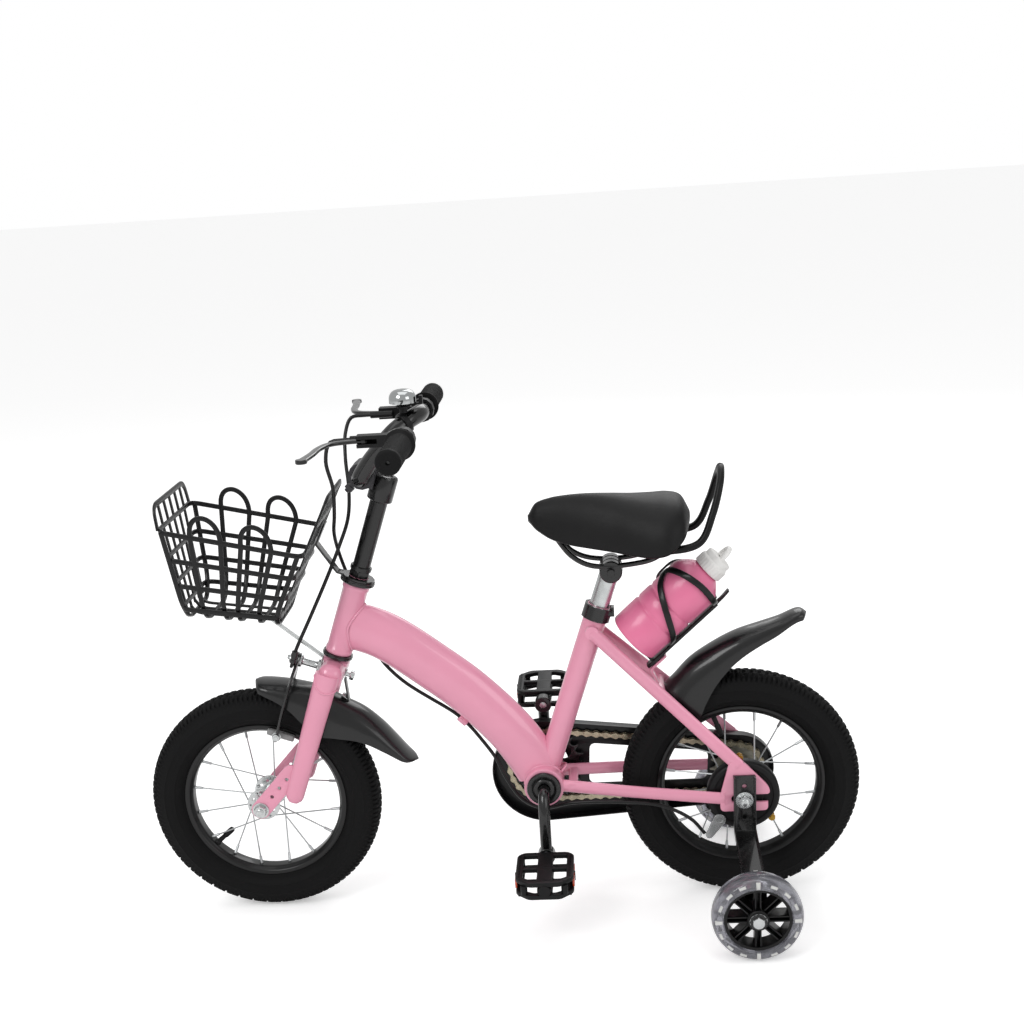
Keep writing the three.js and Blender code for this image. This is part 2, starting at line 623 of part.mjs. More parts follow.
const cupStart = shell.halfWidth + gap;
const cupEnd = cupStart + shell.cupHeight;
const sleeve = shell.bore - gap;
const spindleBore = crank.radius + gap + gap / 2;
place('bottom_bracket', turnedRing([
  [spindleBore, -cupEnd], [shell.cupRadius, -cupEnd], [shell.cupRadius, -cupStart], [sleeve, -cupStart],
  [sleeve, cupStart], [shell.cupRadius, cupStart], [shell.cupRadius, cupEnd], [spindleBore, cupEnd],
], 16).translate(bracketAxis.x, 0, bracketAxis.z), glossBlack);

// Wheels

function tire() {
  const half = wheel.rimWidth / 2 - wheel.rimWall - gap;
  const bead = wheel.seatRadius + gap;
  const base = wheel.flangeRadius + gap;
  const side = tireProfileShares.map(([up, out]) => [
    between(base, wheel.radius, up), (wheel.tireWidth / 2) * out,
  ]);
  const right = [[bead, half], [base, half], ...side];
  const left = right.map(([r, y]) => [r, -y]).reverse();
  return turnedRing([...right, ...left], wheel.segments);
}

function rim() {
  const half = wheel.rimWidth / 2;
  const channel = half - wheel.rimWall;
  const right = [
    [wheel.rimInnerRadius, wheel.rimNoseShare * half], [wheel.seatRadius, half], [wheel.flangeRadius, half],
    [wheel.flangeRadius, channel], [wheel.seatRadius, channel],
  ];
  const left = right.map(([r, y]) => [r, -y]).reverse();
  return turnedRing([...right, ...left], wheel.segments);
}

const rimFlatRadius = wheel.rimInnerRadius * Math.cos(turn / 2 / wheel.segments);
const spokeEndRadius = rimFlatRadius - wheel.spokeRadius / 2 - gap;

// Each flange holds every second spoke, laced forwards and backwards by turns
function spokes() {
  return Array.from({ length: wheel.spokeCount }, (_, i) => {
    const side = i % 2 === 0 ? 1 : -1;
    const lacing = radians(wheel.lacingAngle) * (i % 4 < 2 ? 1 : -1);
    const rimAngle = (turn * (i + 0.5)) / wheel.spokeCount;
    const hubAngle = rimAngle + lacing;
    const start = vector(Math.cos(hubAngle), 0, Math.sin(hubAngle)).multiplyScalar(wheel.spokeSeatRadius);
    const end = vector(Math.cos(rimAngle), 0, Math.sin(rimAngle)).multiplyScalar(spokeEndRadius);
    return rod(start.setY(side * wheel.flangeY), end.setY(side * wheel.rimWall), wheel.spokeRadius, 3);
  });
}

function hubProfile(left, right, bore) {
  const { flangeY, flangeWall, hubFlangeRadius: flange, hubBarrelRadius: barrel } = wheel;
  const [inner, outer] = [flangeY - flangeWall / 2, flangeY + flangeWall / 2];
  return [
    ...left, [barrel, -outer], [flange, -outer], [flange, -inner], [barrel, -inner],
    [barrel, inner], [flange, inner], [flange, outer], [barrel, outer], ...right, [bore, right.at(-1)[1]],
    [bore, left[0][1]],
  ];
}

const frontBore = frontHub.axleRadius + 2 * gap;
const frontHubBody = turnedRing(hubProfile(
  [[wheel.hubBarrelRadius, -frontHub.halfWidth]], [[wheel.hubBarrelRadius, frontHub.halfWidth]], frontBore,
), 12);
const rearBore = rearHub.axleRadius + 2 * gap;
const drumInner = rearHub.halfWidth + gap;
const drumOuter = drumInner + rearHub.drumLength;
const neckEnd = chain.y + rearHub.neckPast;
const rearHubBody = turnedRing(hubProfile(
  [
    [wheel.hubBarrelRadius, -drumOuter], [rearHub.drumRadius, -drumOuter], [rearHub.drumRadius, -drumInner],
    [wheel.hubBarrelRadius, -drumInner],
  ],
  [[wheel.hubBarrelRadius, rearHub.halfWidth], [rearHub.neckRadius, rearHub.halfWidth],
    [rearHub.neckRadius, neckEnd]],
  rearBore,
), 12);

const rimShape = rim();
const valve = rod(
  vector(0, 0, wheel.rimInnerRadius + wheel.rimWall), vector(0, 0, wheel.rimInnerRadius - wheel.valveLength),
  wheel.valveRadius, 8, wheel.valveTipShare * wheel.valveRadius,
);
const valveTurns = [radians(-130), radians(-20)];

[['front', frontAxle, frontHubBody], ['rear', rearAxle, rearHubBody]].forEach(([name, axle, body], i) => {
  const seat = [axle.x, axle.y, axle.z];
  const rimWithValve = join([rimShape, valve.clone().rotateY(valveTurns[i])]);
  place(`${name}_tire`, tire().translate(...seat), rubber);
  place(`${name}_rim`, rimWithValve.translate(...seat), black);
  place(`${name}_hub`, join([body, ...spokes()]).translate(...seat), steel);
});

// Axles: a rod with a cone inside each dropout and a nut outside it
function axle(radius, rearSideCones, nutStart, nutRadius, nutHeight, tail) {
  const end = nutStart + nutHeight + tail;
  const parts = [rod(vector(0, -end, 0), vector(0, end, 0), radius, 8)];
  rearSideCones.forEach(([low, high, coneRadius]) => {
    parts.push(rod(vector(0, low, 0), vector(0, high, 0), coneRadius, 8));
  });
  [-1, 1].forEach((side) => {
    parts.push(rod(vector(0, side * nutStart, 0), vector(0, side * (nutStart + nutHeight), 0), nutRadius,
      6));
    parts.push(rod(vector(0, side * nutStart, 0), vector(0, side * (nutStart + nutHeight / 4), 0),
      nutRadius + nutHeight / 4, 8));
  });
  return join(parts);
}

const plateMiddle = fork.legY;
const plateInner = plateMiddle - fork.plateWall / 2;
const plateOuter = plateMiddle + fork.plateWall / 2;
place('front_axle', axle(
  frontHub.axleRadius,
  [[-plateInner + gap, -frontHub.halfWidth - gap, frontHub.nutRadius],
    [frontHub.halfWidth + gap, plateInner - gap, frontHub.nutRadius]],
  plateOuter + gap, frontHub.nutRadius, frontHub.nutHeight, frontHub.tail,
).translate(frontAxle.x, 0, frontAxle.z), steel);

const armInner = dropout.innerY + dropout.wall + gap;
const armOuter = armInner + arm.wall;
place('rear_axle', axle(
  rearHub.axleRadius,
  [[-dropout.innerY + gap, -drumOuter - gap, rearHub.coneRadius],
    [neckEnd + gap, dropout.innerY - gap, rearHub.coneRadius]],
  armOuter + gap, rearHub.nutRadius, rearHub.nutHeight, rearHub.tail,
).translate(rearAxle.x, 0, rearAxle.z), steel);

// Fork: steerer, crown, two blades and the dropout plates that hold the front axle

const legTop = steer(-fork.crownHalfDepth, fork.legForward, fork.legY);
const legTip = frontAxle.clone().addScaledVector(headUp, fork.legEnd)
  .addScaledVector(headForward, fork.legForward - fork.rake).setY(fork.legY);
const legPath = [legTop.clone().addScaledVector(headUp, fork.crownHalfDepth),
  ...curveThrough([legTop, legTip], 3)];
const legWidths = legWidthShares.map((share) => share * fork.legHalfWidth);
const legDepths = legDepthShares.map((share) => share * fork.legHalfDepth);

function capsule(start, end, startRadius, endRadius, sides) {
  const run = new THREE.Vector2(end[0] - start[0], end[1] - start[1]);
  const heading = run.angle();
  const half = spread(-turn / 4, turn / 4, sides);
  return [
    ...half.map((angle) => [
      end[0] + endRadius * Math.cos(heading + angle), end[1] + endRadius * Math.sin(heading + angle),
    ]),
    ...half.map((angle) => [
      start[0] - startRadius * Math.cos(heading + angle), start[1] - startRadius * Math.sin(heading + angle),
    ]),
  ];
}

const plateTop = frontAxle.clone().addScaledVector(headUp, fork.plateTop)
  .addScaledVector(headForward, fork.legForward - fork.rake + fork.tipHalfDepth);
const forkPlate = plate(
  capsule([frontAxle.x, frontAxle.z], [plateTop.x, plateTop.z], fork.plateHalfWidth + gap,
    fork.plateHalfWidth, 4),
  plateInner, fork.plateWall,
);
const steererTop = coverTop + strap.wall + gap;
const crownLow = -fork.crownHeight;
const forkBody = join([
  rod(steer(crownLow + overrun, 0), steer(steererTop, 0), fork.steererRadius, 12),
  follow([steer(-fork.crownHeight / 2, 0, -fork.legY), steer(-fork.crownHeight / 2, 0, 0),
    steer(-fork.crownHeight / 2, 0, fork.legY)],
  fork.crownHeight / 2 - gap, fork.crownHalfDepth, 8, headUp),
  ...[1, -1].flatMap((side) => [
    follow(legPath.map((point) => point.clone().setY(side * point.y)), legWidths, legDepths, 8, sideways),
    side > 0 ? forkPlate : mirrored(forkPlate),
  ]),
]);
const boltSeat = caliper.boltRadius + gap;
place('fork', cut(forkBody, [
  rod(steer(0, 0), steer(steererTop + overrun, 0), fork.steererBore, 12),
  crossRod(frontAxle, fork.legY + overrun, frontHub.axleRadius + gap, 10),
  rod(steer(caliper.boltHeight, -fork.crownHalfDepth - overrun),
    steer(caliper.boltHeight, fork.crownHalfDepth + overrun),
    boltSeat, 8),
  ...plateHoleShares.map((share) => {
    const spot = frontAxle.clone().lerp(plateTop, share);
    return crossRod(spot, fork.legY + overrun, fork.holeRadius, 6);
  }),
]), pink);

// Stem with its locknut and top collar, and the clamp that holds the handlebar

const locknutLow = steererTop + gap;
const collarFoot = stem.clampHeight - stem.collarBelow;
const collarTop = stem.clampHeight + stem.collarAbove;
place('stem', join([
  rod(steer(stem.quill, 0), steer(collarTop, 0), stem.radius, 12),
  rod(steer(locknutLow, 0), steer(locknutLow + stem.locknutHeight, 0), stem.locknutRadius, 12),
  rod(steer(collarFoot, 0), steer(collarTop, 0), stem.collarRadius, 12),
]), black);

const clampCentre = steer(stem.clampHeight, stem.reach);
const boltDown = headForward.clone().applyAxisAngle(sideways, -radians(stem.boltAngle));
const boltStart = clampCentre.clone().addScaledVector(boltDown, bar.radius + stem.boltInset);
const boltEnd = clampCentre.clone().addScaledVector(boltDown, stem.clampRadius + stem.boltLength);
const nutStart = boltEnd.clone().addScaledVector(boltDown, -stem.nutHeight - stem.boltRadius);
const clampBody = join([
  crossRod(clampCentre, stem.clampHalfWidth, stem.clampRadius, 14),
  follow([clampCentre, steer(stem.clampHeight - stem.boltRadius, 0)], stem.neckHalf, stem.neckHalf, 4,
    sideways),
  rod(boltStart, boltEnd, stem.boltRadius, 8),
  rod(nutStart, nutStart.clone().addScaledVector(boltDown, stem.nutHeight), stem.nutRadius, 6),
]);
place('stem_clamp', cut(clampBody, [
  crossRod(clampCentre, stem.clampHalfWidth + overrun, bar.radius + gap, 12),
  rod(steer(collarFoot - overrun, 0), steer(collarTop + 2 * overrun, 0), stem.collarRadius + gap, 12),
]), { color: 0x5a565c, roughness: 0.4, metalness: 0.3 });

// Handlebar, grips, brake levers and bell

const gripStart = bar.halfWidth + gap + grip.endWall - grip.length;
const leverY = gripStart - lever.inboard;
const straightY = gripStart - bar.bendInboard;
const gripCentre = clampCentre.clone().add(vector(bar.setback, 0, bar.rise));
const barBend = barShares.map(([across, back, up]) => (
  clampCentre.clone().add(vector(bar.setback * back, between(bar.bendY, straightY, across), bar.rise * up))
));
const bendPoints = curveThrough(barBend, 6);
const barHalf = [...bendPoints, gripCentre.clone().setY(bar.halfWidth)];
const barPath = [...barHalf.map((point) => point.clone().setY(-point.y)).reverse(), ...barHalf];
place('handlebar', follow(barPath, bar.radius, bar.radius, 12, upwards), glossBlack);

const gripBore = bar.radius + gap;
const gripEnd = gripStart + grip.length;
const gripShape = turnedRing([
  [gripBore, gripStart], [grip.flangeRadius, gripStart], [grip.flangeRadius, gripStart + grip.flangeWall],
  [grip.radius, gripStart + 2 * grip.flangeWall], [grip.radius, gripEnd - grip.flangeWall],
  [grip.radius - grip.endHole, gripEnd], [grip.endHole, gripEnd],
  [grip.endHole, gripEnd - grip.endWall], [gripBore, gripEnd - grip.endWall],
], 12).translate(gripCentre.x, 0, gripCentre.z);
place('grip_right', gripShape, rubber);
place('grip_left', mirrored(gripShape), rubber);

const pivot = vector(gripCentre.x - lever.pivotForward, leverY - lever.bodyHalfWidth, gripCentre.z);
const pinHalf = vector(0, 0, lever.bodyHalfHeight);
const bodyLow = vector(pivot.x - lever.bodyHalfWidth, pivot.y - lever.bodyHalfWidth,
  pivot.z - lever.bodyHalfHeight);
const bodyHigh = vector(gripCentre.x, pivot.y + lever.bodyHalfWidth, pivot.z + lever.bodyHalfHeight);
const slotHalf = lever.bladeHalfThickness + gap;
const adjusterFoot = vector(pivot.x - lever.bodyHalfWidth + overrun, pivot.y - lever.bodyHalfWidth, pivot.z);
const adjusterStart = vector(adjusterFoot.x, adjusterFoot.y - lever.adjusterRadius + gap, adjusterFoot.z);
const bracket = join([
  cut(join([
    rod(gripCentre.clone().setY(leverY - lever.bandWidth / 2),
      gripCentre.clone().setY(leverY + lever.bandWidth / 2),
      lever.bandRadius, 12),
    block(bodyLow, bodyHigh),
    rod(vector(adjusterStart.x + 2 * overrun, adjusterStart.y, adjusterStart.z),
      vector(adjusterStart.x - lever.adjusterLength, adjusterStart.y, adjusterStart.z),
        lever.adjusterRadius, 8),
  ]), [
    rod(gripCentre.clone().setY(leverY - 2 * lever.bandWidth),
      gripCentre.clone().setY(leverY + 2 * lever.bandWidth),
      bar.radius + gap, 12),
    block(vector(bodyLow.x - overrun, adjusterStart.y + lever.adjusterRadius + gap, pivot.z - slotHalf),
      vector(pivot.x + 2 * lever.bodyHalfWidth, bodyHigh.y + overrun, pivot.z + slotHalf)),
    rod(vector(bodyLow.x - 2 * lever.adjusterLength, adjusterStart.y, adjusterStart.z),
      vector(adjusterStart.x - lever.adjusterLength / 2, adjusterStart.y, adjusterStart.z),
        cable.radius + 2 * gap, 8),
  ]),
  rod(pivot.clone().sub(pinHalf), pivot.clone().add(pinHalf), lever.pinRadius, 8),
]);
place('lever_body_right', bracket, black);
place('lever_body_left', mirrored(bracket), black);

const bladeShares = [[0, 0], [0.42, 0.03], [0.82, 0.12], [1, 0.34], [1.06, 0.66], [1.16, 1]];
const bladePath = bladeShares.map(([ahead, out]) => (
  pivot.clone().add(vector(-lever.bladeForward * ahead, lever.bladeLength * out, 0))
));
const bladeEnd = bladePath.at(-1);
const bladeTurn = vector(0, 0, lever.bladeHalfThickness);
const blade = cut(join([
  follow(curveThrough(bladePath, 6), lever.bladeHalfThickness, lever.bladeHalfWidth, 4, upwards),
  rod(pivot.clone().sub(bladeTurn), pivot.clone().add(bladeTurn),
    lever.bladeHalfWidth + lever.pinRadius / 2, 10),
  rod(bladeEnd.clone().sub(bladeTurn), bladeEnd.clone().add(bladeTurn), lever.tipRadius, 10),
]), [rod(pivot.clone().sub(pinHalf), pivot.clone().add(pinHalf), lever.pinRadius + gap, 8)]);
place('brake_lever_right', blade, glossBlack);
place('brake_lever_left', mirrored(blade), glossBlack);

const bellIndex = Math.round(bell.placeShare * (bendPoints.length - 1));
const bellSpot = bendPoints[bellIndex];
const bellAlong = bendPoints[bellIndex + 1].clone().sub(bendPoints[bellIndex - 1]).normalize();
const bellBand = bellAlong.clone().multiplyScalar(bell.bandWidth / 2);
const bandRadius = bar.radius + 5 * gap + bell.wall;
const bellFloor = bellSpot.z + bandRadius + bell.rise;
const domeLow = bell.stalkHeight;
const bellTop = domeLow + bell.height;
const plateReach = bell.radius - 2 * striker.halfWidth;
const domeSpot = ([out, down]) => [bell.radius * out, bellTop - bell.height * down];
const bellDome = turned([
  [0, -bell.rise - bell.wall], [bell.stalkRadius, -bell.rise - bell.wall], [bell.stalkRadius, 0],
  [plateReach, 0], [plateReach, striker.wall], [bell.stalkRadius, striker.wall],
  [bell.stalkRadius, domeSpot(bellInnerShares[0])[1]], ...bellInnerShares.map(domeSpot),
  [bell.radius - bell.wall, domeLow], [bell.radius, domeLow], ...bellOuterShares.map(domeSpot), [0, bellTop],
], 12);
place('bell', cut(join([
  rod(bellSpot.clone().sub(bellBand), bellSpot.clone().add(bellBand), bandRadius, 12),
  aim(bellDome, bellSpot.clone().setZ(bellFloor), upwards),
]), [
  follow(bendPoints, bar.radius + 3 * gap, bar.radius + 3 * gap, 12, upwards),
]), steel);

const strikerLow = bellFloor + striker.wall + gap;
const strikerX = bellSpot.x + striker.pivotRadius;
place('bell_striker', join([
  block(vector(strikerX - striker.halfWidth, bellSpot.y - striker.halfWidth, strikerLow),
    vector(bellSpot.x + striker.reach, bellSpot.y + striker.halfWidth, strikerLow + striker.wall)),
  block(vector(bellSpot.x + striker.reach - striker.knobWall, bellSpot.y - striker.halfWidth, strikerLow),
    vector(bellSpot.x + striker.reach, bellSpot.y + striker.halfWidth, strikerLow + striker.knobHeight)),
]), black);

// Fenders: an arched channel that follows the tire and lifts away from it towards the tail

function fenderShape(axle, stations, fullAngle) {
  const half = spread(-turn / 4, turn / 4, 2 * fender.segments);
  const outline = [
    ...half.map((angle) => new THREE.Vector2(Math.sin(angle), Math.cos(angle))),
    ...half.map((angle) => new THREE.Vector2(0.9 * Math.sin(-angle), 0.9 * Math.cos(angle))),
  ];
  const rings = stations.map(([along, crown, skirt, width]) => {
    const angle = radians(fullAngle * along);
    const out = vector(Math.sin(angle), 0, Math.cos(angle));
    const [radius, depth] = [wheel.radius * crown, wheel.tireWidth * skirt];
    const halfWidth = fender.halfWidth * width;
    const ring = (wall) => half.map((bend) => axle.clone()
      .addScaledVector(out, radius - depth + (depth - wall) * Math.max(Math.cos(bend),
        0) ** fender.roundShare)
      .setY((halfWidth - wall) * Math.sin(bend)));
    return [...ring(0), ...ring(fender.wall).reverse()];
  });
  return skin(outline, rings);
}

const tabFoot = frontAxle.clone().add(
  vector(Math.sin(radians(fender.tabAngle)), 0,
    Math.cos(radians(fender.tabAngle))).multiplyScalar(fender.tabRadius),
);
const tabTop = steer(caliper.boltHeight - caliper.nutRadius - gap,
  -fork.crownHalfDepth - fender.wall / 2 - gap);
place('front_fender', join([
  fenderShape(frontAxle, frontFenderShares, frontFenderAngle),
  follow([tabFoot, tabTop], fender.tabHalf, fender.wall / 2, 4, sideways),
]), black);

const rearFender = fenderShape(rearAxle, rearFenderShares, rearFenderAngle);
const bridgeClear = seatStay.halfHeight + gap;
place('rear_fender', cut(rearFender, [
  follow([seatStayEnd.clone(), seatStayTop.clone()], seatStay.halfWidth + overrun, bridgeClear, 4, sideways),
  follow([seatStayEnd.clone().setY(-seatStayEnd.y), seatStayTop.clone().setY(-seatStayTop.y)],
    seatStay.halfWidth + overrun, bridgeClear, 4, sideways),
  rod(bridgePlace.clone().setY(-bridgePlace.y), bridgePlace, bridge.radius + gap, 10),
  follow(lugPath, bridge.lugRadius + gap, bridge.lugWall / 2 + gap, 4, sideways),
]), black);

// Front side-pull brake: two arms on one bolt, each with a shoe beside the rim

const shoeY = wheel.rimWidth / 2 + caliper.padGap;

function caliperArm(side, layer, tail) {
  const ahead = caliper.plane + layer * (caliper.wall + gap);
  const middle = ahead + caliper.wall / 2;
  const drop = caliper.padHeight - caliper.boltHeight;
  const path = armShares.map(([across, down]) => (
    steer(caliper.boltHeight + drop * down, middle, side * caliperHalfWidth * across)
  ));
  const shoeMiddle = steer(caliper.padHeight, fork.rake + (ahead - fork.rake) / 2);
  const shoeHalf = headForward.clone().multiplyScalar(caliper.shoeHalfLength);
  const shoe = follow(
    [shoeMiddle.clone().sub(shoeHalf), shoeMiddle.clone().add(shoeHalf)]
      .map((point) => point.setY(side * (shoeY + caliper.shoeDepth / 2))),
    caliper.shoeDepth / 2, caliper.shoeHalfHeight, 4, sideways,
  );
  const boltAt = steer(caliper.padHeight, middle);
  const hub = (from, to, radius, sides) => rod(
    steer(caliper.boltHeight, from), steer(caliper.boltHeight, to), radius, sides,
  );
  return cut(join([
    follow(curveThrough(path, 9), caliper.wall / 2, caliper.armHalfWidth, 4, headForward),
    hub(ahead, ahead + caliper.wall, caliper.boss, 12),
    rod(boltAt.clone().setY(side * (shoeY + caliper.shoeDepth / 2)),
      boltAt.clone().setY(side * 0.9 * caliperHalfWidth),
      caliper.boltRadius, 8),
    follow(tail.map(([y, up]) => steer(caliper.boltHeight + up, middle, y)), caliper.wall / 2,
      0.8 * caliper.armHalfWidth, 4, headForward),
    shoe,
  ]), [hub(ahead - overrun, ahead + caliper.wall + overrun, caliper.boltRadius + gap, 8)]);
}

const { barrelY, barrelHeight, barrelRadius, barrelLength } = caliper;
const barrelPlane = caliper.plane + 1.5 * caliper.wall + gap;
const barrelFoot = steer(caliper.boltHeight + barrelHeight, barrelPlane, -barrelY);
const barrel = cut(
  rod(barrelFoot, barrelFoot.clone().addScaledVector(headUp, barrelLength), barrelRadius, 8),
  [rod(barrelFoot.clone().addScaledVector(headUp, barrelLength / 2),
    barrelFoot.clone().addScaledVector(headUp, barrelLength + overrun), cable.radius + 3 * gap, 8)],
);
place('caliper_arm_left', caliperArm(-1, 0,
  [[0, 0], [-0.5 * barrelY, -caliper.boss], [-barrelY, -1.6 * caliper.boss]]),
  glossBlack);
place('caliper_arm_right', join([
  caliperArm(1, 1, [[0, 0], [-0.6 * barrelY, 0], [-barrelY - barrelRadius, barrelHeight]]), barrel,
]), glossBlack);

const boltFront = caliper.plane + 2 * (caliper.wall + gap);
place('caliper_bolt', join([
  rod(steer(caliper.boltHeight, boltFront + caliper.nutHeight + caliper.boltRadius),
    steer(caliper.boltHeight, -fork.crownHalfDepth - 2 * caliper.nutHeight - caliper.wall),
      caliper.boltRadius, 8),
  rod(steer(caliper.boltHeight, boltFront), steer(caliper.boltHeight, boltFront + caliper.nutHeight),
    caliper.nutRadius, 6),
  rod(steer(caliper.boltHeight, fork.crownHalfDepth + strap.stayWall + 2 * gap),
    steer(caliper.boltHeight, caliper.plane - gap),
    caliper.boss, 10),
  rod(steer(caliper.boltHeight, -fork.crownHalfDepth - gap),
    steer(caliper.boltHeight, -fork.crownHalfDepth - gap - caliper.nutHeight / 2), caliper.nutRadius, 6),
]), steel);

// Basket: a moulded lattice with hoops round it, ribs that cross its floor and raised ends

const basketRearX = crownSeat.x - basket.rearX;

// A place on the basket's side: from the front end to the rear end, and from the rim to the floor
function side(share, down, y) {
  const rimFall = basket.rimLength * Math.tan(radians(basket.rimPitch)) * (1 - share);
  const floorFall = basket.floorLength * Math.tan(radians(basket.floorPitch)) * (1 - share);
  const rimSpot = vector(basketRearX - basket.rimLength * (1 - share), 0, basket.rimHeight + rimFall);
  const floorX = basketRearX - basket.rearLean - basket.floorLength * (1 - share);
  const floorSpot = vector(floorX, 0, basket.rimHeight - basket.depth + floorFall);
  return rimSpot.lerp(floorSpot, down).setY(y);
}

function halfWidthAt(down) {
  return between(basket.rimHalfWidth, basket.floorHalfWidth, down);
}

function hoop(down) {
  const half = halfWidthAt(down);
  const corner = 2 * overrun;
  const share = corner / basket.rimLength;
  const quarter = [[0, half - corner], [share, half], [1 - share, half], [1, half - corner]];
  const round = [...quarter, ...quarter.map(([along, y]) => [along, -y]).reverse()];
  const up = side(0.5, 0, 0).sub(side(0.5, 1, 0)).setX(0).normalize();
  return belt(round.map(([along, y]) => {
    const spot = side(along, down, y);
    const out = vector(basket.wall * (along < 0.5 ? -1 : 1), basket.wall * Math.sign(y), 0);
    return [[1, 1], [1, -1], [-1, -1], [-1, 1]].map(([outwards, upwardsOr]) => (
      spot.clone().addScaledVector(out, outwards).addScaledVector(up, upwardsOr * basket.rib)
    ));
  }));
}

function rib(share) {
  const half = [0, 1].map((down) => side(share, down, halfWidthAt(down)));
  const floor = side(share, 1, basket.flatShare * basket.floorHalfWidth);
  const dropped = floor.clone().setZ(floor.z - basket.floorDrop);
  const run = [...half, dropped];
  const other = run.map((point) => point.clone().setY(-point.y)).reverse();
  return follow([...run, ...other], basket.rib, basket.ribWall, 4, vector(1, 0, 0));
}

function arch(low, high, y) {
  const steps = spread(0, 1, 4);
  const points = steps.map((step) => {
    const spot = side(between(low, high, 0.5 - 0.5 * Math.cos(step * turn / 2)), 0, y);
    return spot.setZ(spot.z + basket.archHeight * Math.sin(step * turn / 2));
  });
  return follow(points, basket.wall, basket.rib - gap, 4, sideways);
}

function panel(share, rise, halfWidth) {
  const up = side(share, 0, 0).sub(side(share, 1, 0)).normalize().multiplyScalar(rise);
  const corner = 2 * overrun;
  const foot = (y) => side(share, 0, y);
  const top = (y) => side(share, 0, y).add(up);
  const bend = up.clone().multiplyScalar(-corner / rise);
  return follow([
    foot(-halfWidth), top(-halfWidth).add(bend), top(-halfWidth + corner), top(halfWidth - corner),
    top(halfWidth).add(bend), foot(halfWidth),
  ], basket.wall, basket.rib, 4, vector(1, 0, 0));
}

function slats(share, rise) {
  const up = side(share, 0, 0).sub(side(share, 1, 0)).normalize().multiplyScalar(rise);
  return slatShares.map((across) => across * basket.floorHalfWidth).map((y) => follow(
    [side(share, 1, y), side(share, 0, y), side(share, 0, y).add(up)],
    basket.rib - gap, basket.ribWall, 4, sideways,
  ));
}

const [ribOne, ribTwo, ribThree, ribFour] = ribShares;
const arches = [[ribOne, ribTwo], [ribThree, ribFour]].flatMap(([low, high]) => (
  [-1, 1].map((way) => arch(low, high, way * (basket.rimHalfWidth - basket.wall)))
));
const floorBars = slatShares.map((across) => follow(
  [0, ribOne, ribFour, 1].map((share) => side(share, 1, across * basket.floorHalfWidth))
    .map((point, i) => (i % 3 === 0 ? point : point.setZ(point.z - basket.floorDrop))),
  basket.rib, basket.wall, 4, sideways,
));
place('basket', join([
  ...hoopShares.map(hoop),
  ...ribShares.map(rib),
  ...arches,
  panel(0, basket.frontPanel, basket.rimHalfWidth - overrun),
  panel(1, basket.rearPanel, basket.rearPanelHalf),
  ...slats(0, basket.frontPanel),
  ...slats(1, basket.rearPanel),
  ...floorBars,
]), black);

// Strap from the headset to the basket's back, and the stay under it from the crown bolt
const strapMiddle = strapLow + strap.wall / 2;
const hoopTwo = side(1, hoopShares[0], 0);
const strapEnd = hoopTwo.clone().add(vector(basket.wall + 2 * gap + strap.wall / 2, 0, -basket.rib));
place('basket_strap', cut(join([
  rod(steer(strapLow, 0), steer(strapHigh, 0), strap.ringRadius, 12),
  follow([steer(strapMiddle, fork.steererRadius + strap.wall),
    steer(strapMiddle, strap.ringRadius + overrun), strapEnd],
    strap.halfWidth, strap.wall / 2, 4, sideways),
  follow([strapEnd, strapEnd.clone().add(side(1, 0, 0).sub(side(1, 1, 0)).multiplyScalar(strap.hookShare))],
    strap.halfWidth, strap.wall / 2, 4, sideways),
]), [rod(steer(strapLow - overrun, 0), steer(strapHigh + overrun, 0), fork.steererRadius + gap, 12)]),
  steel);

const stayBase = steer(caliper.boltHeight, fork.crownHalfDepth + gap + strap.stayWall / 2);
const floorFront = side(1, 1, 0).add(vector(-basket.rearLean / 2, 0,
  -basket.floorDrop - basket.wall - gap - strap.stayWall / 2));
place('basket_stay', cut(join([
  rod(steer(caliper.boltHeight, fork.crownHalfDepth + gap),
    steer(caliper.boltHeight, fork.crownHalfDepth + gap + strap.stayWall),
    2 * strap.stayHalfWidth, 12),
  follow([stayBase, steer(caliper.boltHeight + caliper.boss + strap.stayHalfWidth,
    fork.crownHalfDepth + gap + strap.stayWall / 2),
    floorFront, floorFront.clone().add(vector(-basket.rearLean, 0,
      basket.rearLean * Math.tan(radians(basket.floorPitch))))],
  strap.stayHalfWidth, strap.stayWall / 2, 4, sideways),
]), [rod(steer(caliper.boltHeight, 0), steer(caliper.boltHeight, 2 * caliper.plane),
  caliper.boltRadius + gap, 8)]), steel);

// Chain: rollers one pitch apart, with inner and outer plates by turns

const driveAlong = rearAxle.clone().sub(bracketAxis).normalize();
const driveUp = vector(-driveAlong.z, 0, driveAlong.x);
const lean = Math.asin((chainringRadius - sprocketRadius) / sprocketDistance);
const runPitches = (sprocketDistance * Math.cos(lean)) / chain.pitch;
const rearWrap = sprocket.teeth * (0.5 - (2 * lean) / turn);

function driveSpot(centre, radius, angle) {
  return centre.clone().addScaledVector(driveAlong, radius * Math.cos(angle))
    .addScaledVector(driveUp, radius * Math.sin(angle));
}

const upperAngle = turn / 4 - lean;

